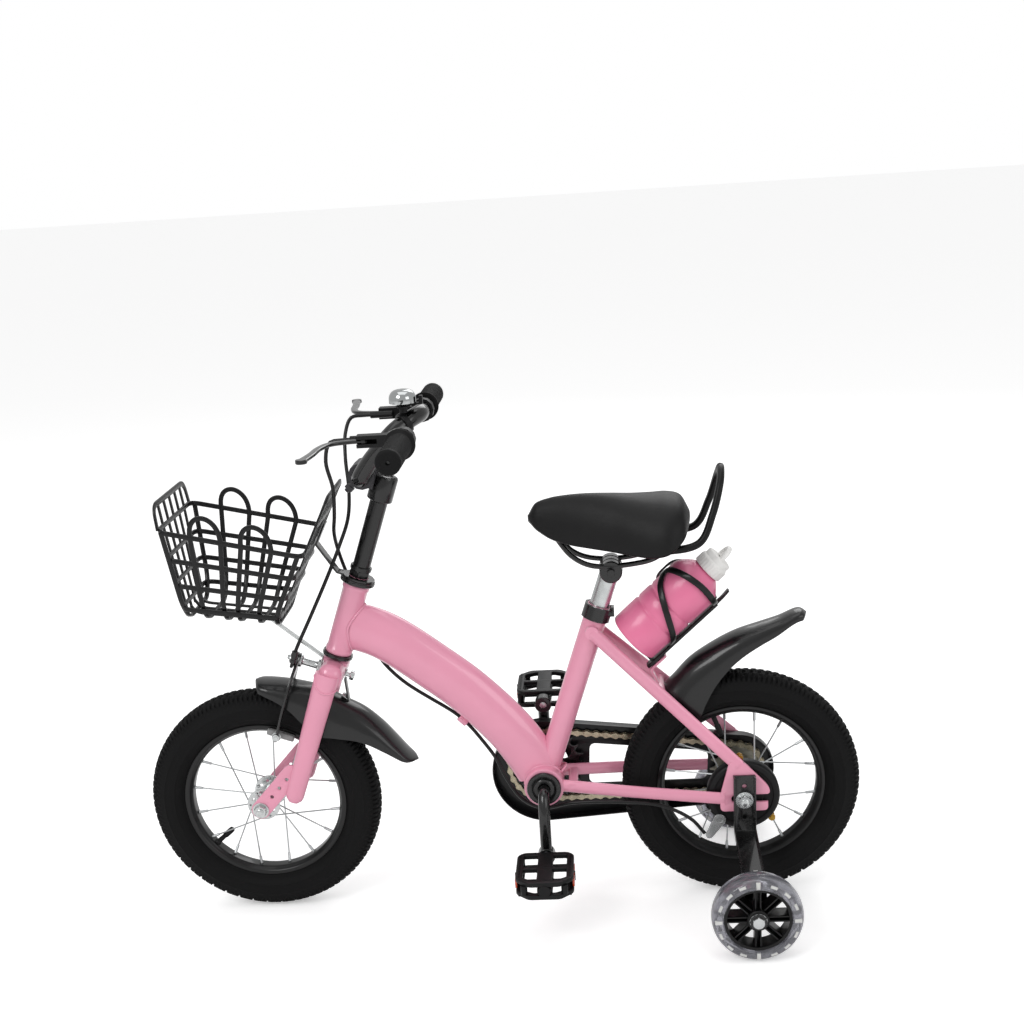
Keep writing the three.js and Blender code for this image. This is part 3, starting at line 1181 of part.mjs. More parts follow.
function rollerSpot(step) {
  const onTop = driveSpot(bracketAxis, chainringRadius, upperAngle);
  const offTop = driveSpot(rearAxle, sprocketRadius, upperAngle);
  const onLow = driveSpot(rearAxle, sprocketRadius, -upperAngle);
  const offLow = driveSpot(bracketAxis, chainringRadius, -upperAngle);
  if (step < runPitches) return onTop.lerp(offTop, step / runPitches);
  if (step < runPitches + rearWrap) {
    return driveSpot(rearAxle, sprocketRadius, upperAngle - (turn * (step - runPitches)) / sprocket.teeth);
  }
  if (step < 2 * runPitches + rearWrap) return onLow.lerp(offLow,
    (step - runPitches - rearWrap) / runPitches);
  const past = step - 2 * runPitches - rearWrap;
  return driveSpot(bracketAxis, chainringRadius, -upperAngle - (turn * past) / chainring.teeth);
}

const rollers = Array.from({ length: chain.linkCount }, (_, i) => rollerSpot(i));

// One side of the chain: a closed band of links by turns further in and out; bulged at the rollers on the
// open side, and of one height on the side that the guard hides
function chainSide(sign, bulged) {
  const inner = chain.y + sign * (chain.innerWidth / 2);
  const waist = bulged ? chain.waistHalfHeight : chain.plateHalfHeight;
  const ring = (spot, across, half, low, high) => (
    [[-half, low], [half, low], [half, high], [-half, high]].map(([up, y]) => (
      spot.clone().addScaledVector(across, up).setY(y)
    ))
  );
  return belt(rollers.flatMap((roller, i) => {
    const next = rollers[(i + 1) % rollers.length];
    const before = rollers.at(i - 1);
    const offset = i % 2 === 0 ? 0 : sign * chain.plateWall;
    const acrossRoller = next.clone().sub(before).normalize().cross(sideways);
    const acrossLink = next.clone().sub(roller).normalize().cross(sideways);
    const link = ring(roller.clone().lerp(next, 0.5), acrossLink, waist, inner + offset,
      inner + offset + sign * chain.plateWall);
    if (!bulged) return [link];
    return [ring(roller, acrossRoller, chain.plateHalfHeight, inner, inner + 2 * sign * chain.plateWall),
      link];
  }));
}

const rollerReach = chain.innerWidth / 2 + chain.plateWall / 2;
place('chain', join([
  chainSide(1, false),
  chainSide(-1, true),
  ...rollers.map((spot) => rod(
    spot.clone().setY(chain.y - rollerReach), spot.clone().setY(chain.y + rollerReach),
      0.75 * chain.rollerRadius, 4,
  )),
]), { color: 0x9a8a68, roughness: 0.35, metalness: 0.85 });

// Toothed wheels: each valley seats a roller, each tooth narrows between two of them
function toothed(centre, teeth, pitchRadius, seatAngle, wall, holes) {
  const seat = chain.rollerRadius + gap;
  const outline = [];
  for (let i = 0; i < teeth; i += 1) {
    const middle = seatAngle - (turn * i) / teeth;
    const seatSpot = (bend) => {
      const hub = driveSpot(centre, pitchRadius, middle);
      const inwards = middle + turn / 2 + bend;
      return driveSpot(hub, seat, inwards);
    };
    const tip = driveSpot(centre, pitchRadius + toothHeight, middle - turn / 2 / teeth);
    [...[-seatHalfAngle, 0, seatHalfAngle].map((bend) => seatSpot(radians(bend))), tip].forEach((spot) => {
      outline.push([spot.x, spot.z]);
    });
  }
  return plate(outline, chain.y - wall / 2, wall, holes);
}

const ringHoles = circle(0, 0, chainring.windowCircle, chainring.windowCount, turn / 10).map(([x, z]) => (
  circle(bracketAxis.x + x, bracketAxis.z + z, chainring.windowRadius, 6)
));
const ringPlate = toothed(bracketAxis, chainring.teeth, chainringRadius, upperAngle, chainring.wall,
  ringHoles);
const ringBossStart = cupEnd + gap;
const ringFace = chain.y + chainring.wall / 2;
place('chainring', cut(join([
  ringPlate,
  rod(bracketAxis.clone().setY(ringBossStart), bracketAxis.clone().setY(ringFace), chainring.bossRadius, 12),
]), [rod(bracketAxis.clone().setY(0), bracketAxis.clone().setY(2 * chain.y), crank.radius + gap, 12)]),
  black);

const firstOnSprocket = Math.ceil(runPitches) - runPitches;
const sprocketSeat = upperAngle - (turn * firstOnSprocket) / sprocket.teeth;
place('freewheel', cut(join([
  toothed(rearAxle, sprocket.teeth, sprocketRadius, sprocketSeat, sprocket.wall, []),
  rod(rearAxle.clone().setY(rearHub.halfWidth + gap), rearAxle.clone().setY(neckEnd), sprocket.bodyRadius,
    12),
]), [
  rod(rearAxle.clone().setY(0), rearAxle.clone().setY(2 * chain.y), runningBore(rearHub.neckRadius, 12), 12),
]), { color: 0x8d8a80, roughness: 0.4, metalness: 0.8 });

// One-piece crank: left arm down, right arm up, with the spindle between them

const crankHalf = [
  vector(0, crank.armY, crank.length), vector(0, crank.armY, 2.2 * crank.bend),
  vector(0, crank.armY - 0.2 * crank.bend, 1.2 * crank.bend),
    vector(0, crank.armY - 0.55 * crank.bend, 0.45 * crank.bend),
  vector(0, crank.armY - crank.bend, 0),
];
const crankPath = [...crankHalf, ...crankHalf.map((point) => point.clone().negate()).reverse()]
  .map((point) => point.add(bracketAxis));
const eyeBore = runningBore(pedal.axleRadius, 8);
const eyes = [1, -1].map((way) => bracketAxis.clone().add(vector(0, way * crank.armY, way * crank.length)));
const spanY = vector(0, crank.eyeHalf, 0);
place('crank', cut(join([
  follow(crankPath, crank.radius, crank.radius, 8, vector(1, 0, 0)),
  ...eyes.map((eye) => rod(eye.clone().sub(spanY), eye.clone().add(spanY), crank.eyeRadius, 12)),
  rod(bracketAxis.clone().setY(ringFace + gap), bracketAxis.clone().setY(ringFace + gap + chainring.wall),
    crank.collarRadius, 12),
]), eyes.map((eye) => rod(eye.clone().addScaledVector(spanY, -2), eye.clone().addScaledVector(spanY, 2),
  eyeBore, 8))),
glossBlack);

// Pedals: an open platform with a bar over the axle and a reflector at each end

const pedalStart = crank.armY + crank.eyeHalf + gap;
const bodyStart = pedalStart + crank.eyeHalf;
const bodyMiddle = bodyStart + pedal.width / 2;

function pedalShape() {
  const [halfLength, halfWidth, corner] = [pedal.length / 2, pedal.width / 2, pedal.corner];
  const outline = [
    [-halfLength, halfWidth - corner], [-halfLength, -halfWidth + corner / 2],
      [-halfLength + corner / 2, -halfWidth],
    [halfLength - corner / 2, -halfWidth], [halfLength, -halfWidth + corner / 2],
      [halfLength, halfWidth - corner],
    [halfLength - corner, halfWidth], [-halfLength + corner, halfWidth],
  ];
  const [inside, outside] = [pedal.rail, halfLength - pedal.rail];
  const near = halfWidth - pedal.rail;
  const windows = [-1, 1].flatMap((way) => [
    [[way * inside, -near], [way * inside, -pedal.rail / 3], [way * outside, -near]],
    [[way * inside, pedal.rail / 3], [way * inside, near], [way * outside, 0.8 * near],
      [way * outside, pedal.rail / 3]],
  ]);
  return plate(outline, -pedal.height / 2, pedal.height, windows).rotateX(-turn / 4);
}

const reflectorHalf = vector(pedal.length / 2 + pedal.reflector, pedal.width / 4, pedal.height / 4);
const pedalBody = join([
  pedalShape(),
  block(reflectorHalf.clone().negate(), reflectorHalf.clone().setX(-pedal.length / 2 + pedal.reflectorSeat)),
  block(reflectorHalf.clone().negate().setX(pedal.length / 2 - pedal.reflectorSeat), reflectorHalf.clone()),
  rod(vector(0, -pedal.width / 2 - 2 * crank.eyeHalf - pedal.tail / 2, 0), vector(0, 0, 0),
    pedal.axleRadius, 8),
  rod(vector(0, -bodyMiddle + pedalStart, 0), vector(0, 0, 0), pedal.rail, 10),
]);
eyes.forEach((eye, i) => {
  const way = i === 0 ? 1 : -1;
  const shape = way > 0 ? pedalBody : mirrored(pedalBody);
  place(way > 0 ? 'pedal_right' : 'pedal_left', shape.clone().translate(eye.x, way * bodyMiddle, eye.z),
    black);
});

// Chain guard: outside plate with an inward rim, open round the spindle and between the chain's runs

function guardOutline(inset) {
  const start = [bracketAxis.x, bracketAxis.z - guard.drop];
  const end = [rearAxle.x, rearAxle.z];
  return capsule(start, end, guard.frontRadius - inset, guard.rearRadius - inset, 10);
}

const windowLine = (share, up) => {
  const spot = bracketAxis.clone().addScaledVector(driveAlong, share).addScaledVector(driveUp, up);
  return [spot.x, spot.z];
};
const guardHole = [
  windowLine(guardWindow.front, guardWindow.corner - guardWindow.halfHeight),
  windowLine(guardWindow.front + guardWindow.corner, -guardWindow.halfHeight),
  windowLine(guardWindow.rear - guardWindow.corner, -guardWindow.rearHalfHeight),
  windowLine(guardWindow.rear, guardWindow.corner - guardWindow.rearHalfHeight),
  windowLine(guardWindow.rear, guardWindow.rearHalfHeight - guardWindow.corner),
  windowLine(guardWindow.rear - guardWindow.corner, guardWindow.rearHalfHeight),
  windowLine(guardWindow.front + guardWindow.corner, guardWindow.halfHeight),
  windowLine(guardWindow.front, guardWindow.halfHeight - guardWindow.corner),
];
place('chain_guard', cut(join([
  plate(guardOutline(0), guard.y, guard.wall, [
    circle(bracketAxis.x, bracketAxis.z, guard.spindleHole, 12),
    circle(rearAxle.x, rearAxle.z, rearHub.coneRadius + 3 * gap, 12),
    guardHole,
  ]),
  plate(guardOutline(0), guard.y - guard.rimDepth, guard.rimDepth + guard.wall / 2,
    [guardOutline(guard.rimWall)]),
]), [
  follow(stayPath, stayWidths.map((width) => width + guard.clear), chainStay.halfHeight + guard.clear, 6,
    sideways),
  follow(seatStayPath, seatStayWidths.map((width) => width + guard.clear),
    seatStay.halfHeight + guard.clear, 6, sideways),
]), black);

// Rear band brake: a fixed cover round the hub's drum, and the arm that tightens the band

const coverInner = -drumOuter - drumCover.clear;
const coverBack = coverInner - drumCover.wall;
const coverLip = coverInner + drumCover.lip;
const coverBody = turnedRing([
  [rearHub.coneRadius + 2 * gap, coverBack], [drumCover.radius - drumCover.wall, coverBack],
  [drumCover.radius, coverInner], [drumCover.radius, coverLip],
  [drumCover.radius - drumCover.lipWall, coverLip], [drumCover.radius - drumCover.lipWall, coverInner],
  [rearHub.coneRadius + 2 * gap, coverInner],
], 16).translate(rearAxle.x, 0, rearAxle.z);
const armPivot = rearAxle.clone().add(vector(brakeArm.pivotX, coverBack, brakeArm.pivotZ));
const coverLug = armPivot.clone().setY(coverBack + drumCover.wall + gap);
const adjusterSpots = [
  [-drumCover.adjusterStand, drumCover.radius + drumCover.adjusterStand],
  adjusterShares.map((share) => share * drumCover.radius),
];
place('brake_cover', join([
  coverBody,
  rod(coverLug.clone().setY(coverBack), coverLug, drumCover.lugRadius, 10),
  rod(armPivot, armPivot.clone().add(vector(0, -brakeArm.wall - gap, 0)), brakeArm.boltRadius, 8),
  ...adjusterSpots.map(([x, z]) => {
    const spot = rearAxle.clone().add(vector(x, coverLip - overrun, z));
    const root = rearAxle.clone().add(vector(0.9 * x, coverLip - overrun, 0.9 * z));
    return join([
      rod(spot.clone().setY(coverLip - 1.6 * overrun), spot.clone().setY(coverLip - gap),
        drumCover.adjusterRadius, 8),
      rod(root, spot, drumCover.lipWall, 6),
    ]);
  }),
]), black);

const armEnd = armPivot.clone().add(vector(-brakeArm.length / 2, 0, -brakeArm.length * 0.8));
const armHigh = armPivot.y - gap;
place('brake_arm', cut(join([
  plate(capsule([armPivot.x, armPivot.z], [armEnd.x, armEnd.z], brakeArm.halfWidth + brakeArm.wall,
    brakeArm.halfWidth, 5),
    armHigh - brakeArm.wall, brakeArm.wall),
  rod(armEnd.clone().setY(armHigh), armEnd.clone().setY(armHigh + brakeArm.boltHeight),
    brakeArm.boltRadius, 6),
]), [
  rod(armPivot.clone().setY(armHigh + overrun), armPivot.clone().setY(armHigh - 2 * overrun),
    brakeArm.boltRadius + gap, 8),
]), steel);

// Seat post, its clamp collar, saddle clamp with rails, saddle shell with its grab handle, and pad

const tubeTop = alongSeatTube(seatTube.length);
const collarLow = seatTube.length - seatTube.collarHeight;
const collarBack = tubeTop.clone().addScaledVector(seatUp,
  -seatTube.collarHeight / 2).add(vector(seatTube.radius + gap, 0, 0));
place('seat_clamp', cut(join([
  rod(alongSeatTube(collarLow), alongSeatTube(seatTube.length), seatTube.collarRadius, 12),
  block(collarBack.clone().add(vector(-overrun, -overrun, -overrun)),
    collarBack.clone().add(vector(overrun, overrun, overrun))),
  rod(collarBack.clone().setY(-2 * overrun), collarBack.clone().setY(2 * overrun), overrun / 2, 8),
]), [
  rod(alongSeatTube(collarLow - overrun), alongSeatTube(seatTube.length + overrun), seatTube.radius + gap,
    12),
]), glossBlack);

place('seat_post', rod(alongSeatTube(seatTube.length - seatPost.inside),
  alongSeatTube(seatTube.length + seatPost.outside),
  seatPost.radius, 12), steel);

const postTop = alongSeatTube(seatTube.length + seatPost.outside);
const clampAxis = postTop.clone().addScaledVector(seatUp, -seatClamp.sink);
const saddleRim = postTop.z + saddle.rimRise;

function railPath(way) {
  return curveThrough(saddleRailShares.map(([along, out, up]) => vector(
    clampAxis.x + seatClamp.railReach * along, way * seatClamp.railY * out,
    between(clampAxis.z + seatClamp.railLow, saddleRim + saddle.railSeat, up),
  )), 6);
}

const rails = [railPath(1), railPath(-1)];
place('saddle_clamp', cut(join([
  crossRod(clampAxis, seatClamp.halfWidth, seatClamp.radius, 12),
  crossRod(clampAxis, seatClamp.halfWidth + seatClamp.boltHeight, seatClamp.boltRadius, 6),
  ...rails.map((path) => follow(path, seatClamp.railRadius, seatClamp.railRadius, 6, sideways)),
]), [
  rod(alongSeatTube(seatTube.length), postTop.clone().addScaledVector(seatUp, gap), seatPost.radius + gap,
    12),
]), steel);

const saddleStations = saddleStationShares.map((share, i) => ({
  x: postTop.x - saddle.nose + saddle.length * share,
  width: saddle.halfWidth * saddleWidthShares[i],
  rimZ: saddleRim + saddle.crownHeight * saddleRimShares[i],
  rise: saddle.crownHeight * (saddleCrownShares[i] - saddleRimShares[i]),
}));
const saddleBends = spread(-1, 1, 6);

// The pad sits in the shell: both follow the same hollow, a clear gap apart
function saddleHollow(station, inset, drop, bends) {
  return bends.map((bend) => vector(
    station.x, (station.width - inset) * bend,
      station.rimZ - drop + saddle.hollowShare * station.rise * (1 - bend ** 2),
  ));
}

function saddleCrown(station) {
  return saddleBends.map((bend) => vector(
    station.x, station.width * Math.sin((bend * turn) / 4),
    station.rimZ + station.rise * Math.cos((bend * turn) / 4) ** saddle.roundShare,
  ));
}

const backwards = [...saddleBends].reverse();
const doubleOutline = [
  ...saddleBends.map((bend) => new THREE.Vector2(bend, 1 - bend ** 2)),
  ...backwards.map((bend) => new THREE.Vector2(0.9 * bend, 0.5 * (1 - bend ** 2) - 0.1)),
];
place('saddle_pad', skin(doubleOutline, saddleStations.map((station) => [
  ...saddleCrown(station), ...saddleHollow(station, saddle.lip, 0, backwards),
])), { color: 0x232325, roughness: 0.5, metalness: 0 });

const shellSkin = skin(doubleOutline, saddleStations.map((station) => [
  ...saddleHollow(station, 2 * saddle.lip, 3 * gap, saddleBends),
  ...saddleHollow(station, 2 * saddle.lip + saddle.wall / 2, 3 * gap + saddle.wall, backwards),
]));
const handleHalf = handleShares.map(([back, out, up]) => vector(
  postTop.x + handle.footX + handle.reach * back, handle.footY * out,
    saddleRim + handle.foot + handle.rise * up,
));
const handlePath = curveThrough([
  ...handleHalf, ...handleHalf.slice(0, -1).reverse().map((point) => point.clone().setY(-point.y)),
], 10);
const railEnds = rails.flatMap((path) => [[path[0], path[1]],
  [path.at(-1), path.at(-2)]]).map(([end, inner]) => ({
  end, out: end.clone().sub(inner).normalize(),
}));
const handleAcross = vector(Math.cos(radians(handle.leanAngle)), 0, -Math.sin(radians(handle.leanAngle)));
place('saddle_base', cut(join([
  shellSkin,
  follow(handlePath, handle.halfDepth, handle.halfWidth, 6, handleAcross),
  ...railEnds.map(({ end, out }) => rod(
    end.clone().addScaledVector(out, -overrun), end.clone().addScaledVector(out, saddle.socket),
      saddle.socketRadius, 6,
  )),
]), railEnds.map(({ end, out }) => rod(
  end.clone().addScaledVector(out, -2 * overrun), end.clone().addScaledVector(out, gap),
    seatClamp.railRadius + 2 * gap, 6,
))), black);

// Bottle, cap with its carrying ring, and the cage that holds the bottle behind the seat tube

const neckStart = bottle.body + bottle.shoulder;
const neckTop = neckStart + bottle.neck;
const [grooveLow, grooveHigh] = bottleGrooveShares.map((share) => share * bottle.body);
const bottleProfile = [
  [0, 0], [bottle.radius - 2 * bottle.groove, 0], [bottle.radius, 2 * bottle.groove],
    [bottle.radius, grooveLow],
  [bottle.radius - bottle.groove, grooveLow + bottle.groove], [bottle.radius - bottle.groove, grooveHigh],
  [bottle.radius, grooveHigh + bottle.groove], [bottle.radius, bottle.body],
  ...bottleShoulderShares.map(([out, up]) => [
    between(bottle.neckRadius, bottle.radius, out), bottle.body + bottle.shoulder * up,
  ]),
  [bottle.neckRadius, neckTop], [0, neckTop],
];
place('bottle', aim(turned(bottleProfile, 14), bottleSeat, bottleUp),
  { color: 0xd9779b, roughness: 0.35, metalness: 0 });

const capLow = neckStart + 2 * gap;
const capHigh = neckTop + gap + bottle.capTopWall;
const ringMiddle = alongBottle(capHigh + bottle.ringRise, 0);
const ringHalf = vector(0, bottle.ringWall / 2, 0);
place('bottle_cap', cut(join([
  aim(turned([
    [0, capLow], [bottle.capRadius, capLow],
      [bottle.capRadius, between(capLow, capHigh, bottle.capStepShare)],
    [bottle.capTop, capHigh], [0, capHigh],
  ], 14), bottleSeat, bottleUp),
  rod(ringMiddle.clone().sub(ringHalf), ringMiddle.clone().add(ringHalf), bottle.ringRadius, 12),
]), [
  rod(alongBottle(neckStart - overrun, 0), alongBottle(neckTop + gap, 0),
    runningBore(bottle.neckRadius, 14), 14),
  rod(ringMiddle.clone().addScaledVector(ringHalf, -2), ringMiddle.clone().addScaledVector(ringHalf, 2),
    bottle.ringHole, 12),
]), { color: 0xe8e6e4, roughness: 0.4, metalness: 0 });

const strandRadius = bottle.radius + cage.strandClear + cage.strandWall;

function strand(way) {
  const route = cageShares.map(([along, round]) => (
    vector(cage.railEnd * along, (way * round * turn * strandRadius) / 2, 0)
  ));
  return curveThrough(route, 16).map(({ x, y }) => {
    const angle = y / strandRadius;
    return alongBottle(x, strandRadius * Math.cos(angle), strandRadius * Math.sin(angle));
  });
}

// A strand's section stays flat on the bottle by measuring its width along the bottle's axis
function strandShape(way) {
  const path = strand(way);
  const outline = [[1, 1], [-1, 1], [-1, -1], [1, -1]].map(([x, y]) => new THREE.Vector2(x, y));
  return skin(outline, path.map((point, i) => {
    const before = path[Math.max(i - 1, 0)];
    const after = path[Math.min(i + 1, path.length - 1)];
    const radial = point.clone().sub(bottleSeat);
    radial.addScaledVector(bottleUp, -radial.dot(bottleUp)).normalize();
    const across = after.clone().sub(before).cross(radial).normalize();
    return outline.map(({ x, y }) => point.clone().addScaledVector(across, x * cage.strandHalf)
      .addScaledVector(radial, y * cage.strandWall));
  }));
}

const lugBolt = alongBottle(0, lugMiddle);
place('bottle_cage', join([
  follow([alongBottle(cage.railStart, railMiddle), alongBottle(cage.railEnd, railMiddle)],
    cage.railHalf, cage.railWall / 2, 4, sideways),
  follow([alongBottle(-2 * gap - cage.strandWall, railMiddle),
    alongBottle(-2 * gap - cage.strandWall, -bottle.foot)],
    cage.railHalf, cage.strandWall, 4, sideways),
  strandShape(1),
  strandShape(-1),
  follow([alongBottle(cage.railEnd - overrun, railMiddle),
    alongBottle(cage.railEnd + bottle.shoulder / 3, railMiddle),
    alongBottle(cage.railEnd + bottle.shoulder, railMiddle - cage.strandClear)],
  cage.railHalf, cage.railWall / 2 - gap, 4, sideways),
  rod(alongBottle(0, railMiddle), alongBottle(0,
    lugMiddle + bridge.lugWall / 2 + 2 * gap + stem.nutHeight / 2),
    bridge.lugHole - gap, 8),
  rod(alongBottle(0, lugMiddle + bridge.lugWall / 2 + gap),
    alongBottle(0, lugMiddle + bridge.lugWall / 2 + gap + stem.nutHeight / 2), 2 * bridge.lugHole, 6),
]), black);

// Training wheels on brackets that are held under the rear axle's nuts

const trainerX = rearAxle.x + trainer.trail;
const armMiddle = armInner + arm.wall / 2;
const armRoute = [
  [armMiddle, rearAxle.z + arm.top], [armMiddle, rearAxle.z - arm.bendLow],
  [arm.footY, trainer.radius + arm.footTop], [arm.footY, trainer.radius - arm.footLow],
].map(([y, z], i) => vector(i < 2 ? rearAxle.x : trainerX, y, z));

function armChannel() {
  const [out, inside] = [arm.halfWidth, arm.halfWidth - arm.flangeWall];
  const [back, face, lip] = [-arm.wall / 2, arm.wall / 2, arm.wall / 2 + arm.flange];
  const outline = [
    [-out, back], [out, back], [out, lip], [inside, lip], [inside, face], [-inside, face], [-inside, lip],
      [-out, lip],
  ].map(([x, y]) => new THREE.Vector2(x, y));
  return skin(outline, armRoute.map((point, i) => {
    const before = armRoute[Math.max(i - 1, 0)];
    const after = armRoute[Math.min(i + 1, armRoute.length - 1)];
    const outwards = after.clone().sub(before).setX(0).normalize().cross(vector(-1, 0, 0));
    return outline.map(({ x, y }) => point.clone().addScaledVector(outwards, y).add(vector(x, 0, 0)));
  }));
}

const hubStart = trainer.y - trainer.hubBossHalf;
const hubEnd = trainer.y + trainer.hubBossHalf;
const wheelSpot = (y) => vector(trainerX, y, trainer.radius);
const armSlotShares = [0.42, -0.55];
const trainerArm = cut(join([
  armChannel(),
  rod(wheelSpot(arm.footY), wheelSpot(hubEnd + gap + trainer.headHeight), trainer.boltRadius, 10),
  rod(wheelSpot(arm.footY), wheelSpot(hubStart - gap), 2 * trainer.boltRadius, 10),
  rod(wheelSpot(hubEnd + gap), wheelSpot(hubEnd + gap + trainer.headHeight), trainer.headRadius, 12),
]), [
  rod(rearAxle.clone().setY(armInner - overrun), rearAxle.clone().setY(armOuter + overrun),
    rearHub.axleRadius + gap, 10),
  ...armSlotShares.map((share) => {
    const spot = rearAxle.clone().add(vector(0, armMiddle, share * arm.bendLow));
    return rod(spot.clone().add(vector(0, -overrun, 0)), spot.clone().add(vector(0, overrun, 0)),
      arm.slotRadius, 8);
  }),
]);

const hubShell = turnedRing([
  [trainer.hubRadius - trainer.rimWall, -trainer.hubHalfWidth],
    [trainer.hubRadius - gap, -trainer.hubHalfWidth],
  [trainer.hubRadius - gap, trainer.hubHalfWidth],
    [trainer.hubRadius - trainer.rimWall, trainer.hubHalfWidth],
], 20);
const hubBoss = turnedRing([
  [trainer.boltRadius + gap, -trainer.hubBossHalf], [trainer.hubBoss, -trainer.hubBossHalf],
  [trainer.hubBoss, trainer.hubBossHalf], [trainer.boltRadius + gap, trainer.hubBossHalf],
], 12);
const spokeOut = trainer.hubRadius - trainer.rimWall / 2;
const hubSpokes = Array.from({ length: trainer.spokeCount }, (_, i) => [-1, 1].map((way) => {
  const low = way > 0 ? trainer.spokeGap / 2 : -trainer.spokeGap / 2 - trainer.spokeWall;
  const piece = block(
    vector(low, -0.8 * trainer.hubHalfWidth, trainer.hubBoss - 2 * trainer.spokeWall),
    vector(low + trainer.spokeWall, 0.8 * trainer.hubHalfWidth, spokeOut),
  );
  return piece.rotateY((turn * i) / trainer.spokeCount);
})).flat();
const trainerHub = join([hubShell, hubBoss, ...hubSpokes]);
const trainerTireSide = trainerTireShares.map(([up, out]) => [
  between(trainer.hubRadius, trainer.radius, up), (trainer.width / 2) * out,
]);
const trainerTire = turnedRing([
  ...trainerTireSide, ...trainerTireSide.map(([r, y]) => [r, -y]).reverse(),
], 20);

[1, -1].forEach((way) => {
  const name = way > 0 ? 'right' : 'left';
  place(`training_bracket_${name}`, way > 0 ? trainerArm : mirrored(trainerArm), black);
  place(`training_hub_${name}`, trainerHub.clone().translate(trainerX, way * trainer.y, trainer.radius),
    black);
  place(`training_tire_${name}`, trainerTire.clone().translate(trainerX, way * trainer.y, trainer.radius),
    { color: 0xb7bdc4, roughness: 0.4, metalness: 0 });
});

// Brake cables: each leaves its lever's adjuster and ends at the brake that it pulls

function cableShape(points, steps) {
  const curve = new THREE.CatmullRomCurve3(points, false, 'centripetal');
  const outline = new THREE.Shape(circle(0, 0, cable.radius,
    cable.sides).map(([x, y]) => new THREE.Vector2(x, y)));
  return new THREE.ExtrudeGeometry(outline, { steps, extrudePath: curve, bevelEnabled: false });
}

const leverEnd = (way) => vector(adjusterStart.x - lever.adjusterLength / 2 - gap, way * adjusterStart.y,
  adjusterStart.z);
const leverFront = (way) => leverEnd(way).add(vector(-lever.adjusterLength, 0, 0));
const barrelSeat = (up) => barrelFoot.clone().addScaledVector(headUp, barrelLength * up + gap);
place('front_cable', cableShape([
  leverEnd(1), leverFront(1), ...frontCableRoute.map(([x, y, z]) => vector(x, y, z)), barrelSeat(1),
    barrelSeat(0.5),
], 20), black);

const stopPasses = [-2, 2].map((way) => cableStop.clone().addScaledVector(stopHalf, way));
const clampBolt = armEnd.clone().setY(armHigh + brakeArm.boltHeight / 2);
place('rear_cable', cableShape([
  leverEnd(-1), leverFront(-1), ...rearCableFront.map(([x, y, z]) => vector(x, y, z)), ...stopPasses,
  ...rearCableRear.map(([x, y, z]) => vector(x, y, z)),
  clampBolt.clone().add(vector(-brakeArm.boltRadius - cable.radius, cable.radius, 0)),
], 36), black);

export default bike;
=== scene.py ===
"""Kids bike with training wheels: the pieces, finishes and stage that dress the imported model."""

import json
import math

import bmesh
import bpy
import numpy as np
from mathutils import Matrix, Vector


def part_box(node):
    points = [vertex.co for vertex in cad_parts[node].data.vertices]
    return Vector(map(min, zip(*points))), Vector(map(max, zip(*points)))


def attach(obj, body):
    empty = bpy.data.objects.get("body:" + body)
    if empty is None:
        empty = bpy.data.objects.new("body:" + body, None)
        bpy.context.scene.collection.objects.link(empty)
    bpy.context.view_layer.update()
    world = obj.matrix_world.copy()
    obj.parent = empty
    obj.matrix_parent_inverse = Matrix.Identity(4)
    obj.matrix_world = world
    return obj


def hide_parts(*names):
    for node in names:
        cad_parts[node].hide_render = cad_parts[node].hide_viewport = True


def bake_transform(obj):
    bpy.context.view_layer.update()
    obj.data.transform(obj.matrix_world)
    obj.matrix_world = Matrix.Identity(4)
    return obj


bl_info = {
    "name": "Kids bike with training wheels",
    "version": (1, 0, 0),
    "blender": (4, 5, 0),
    "location": "3D View > Sidebar > Bike",
    "description": "Builds the pieces and finishes of a small bike with training wheels",
    "category": "Add Mesh",
}

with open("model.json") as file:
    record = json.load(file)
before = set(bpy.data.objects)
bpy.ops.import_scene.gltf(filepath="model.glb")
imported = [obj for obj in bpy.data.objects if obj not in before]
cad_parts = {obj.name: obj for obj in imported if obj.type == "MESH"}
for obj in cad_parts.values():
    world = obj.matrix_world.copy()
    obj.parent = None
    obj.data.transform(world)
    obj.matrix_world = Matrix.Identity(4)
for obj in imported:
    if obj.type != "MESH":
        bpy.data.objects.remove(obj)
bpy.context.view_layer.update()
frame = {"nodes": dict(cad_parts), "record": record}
MM = 0.001
TURN = 2 * math.pi


# The bike's layout, in millimetres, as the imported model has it

FRONT_AXLE = np.array((-311.487, 0.0, 152.5))
REAR_AXLE = np.array((311.487, 0.0, 152.5))
BRACKET = np.array((58.363, 0.0, 166.0))
CROWN = np.array((-198.228, 0.0, 344.970))
HEAD_UP = np.array((math.cos(math.radians(70)), 0.0, math.sin(math.radians(70))))
HEAD_FORWARD = np.array((-HEAD_UP[2], 0.0, HEAD_UP[0]))
SEAT_UP = np.array((math.cos(math.radians(70.8)), 0.0, math.sin(math.radians(70.8))))
BOTTLE_SEAT = np.array((179.863, 0.0, 352.5))
BOTTLE_UP = np.array((math.cos(math.radians(42)), 0.0, math.sin(math.radians(42))))
BOTTLE_DOWN = np.array((BOTTLE_UP[2], 0.0, -BOTTLE_UP[0]))
GRIP_CENTRE = np.array((-75.515, 0.0, 636.731))
CLAMP_CENTRE = np.array((-141.515, 0.0, 579.731))
POST_TOP = np.array((156.365, 0.0, 447.424))
SIDE = np.array((0.0, 1.0, 0.0))
UP = np.array((0.0, 0.0, 1.0))
BACK = np.array((1.0, 0.0, 0.0))
TIRE_RADIUS = 152.5
TIRE_WIDTH = 48.0
FORK_OFFSET = 40.6
FORK_HALF = 40.0
BRAKE_UP = -19.0
BRAKE_PLANE = 44.0
SHOE_UP = -117.5
SADDLE_RIM = 474.02
SADDLE_NOSE = POST_TOP[0] - 100
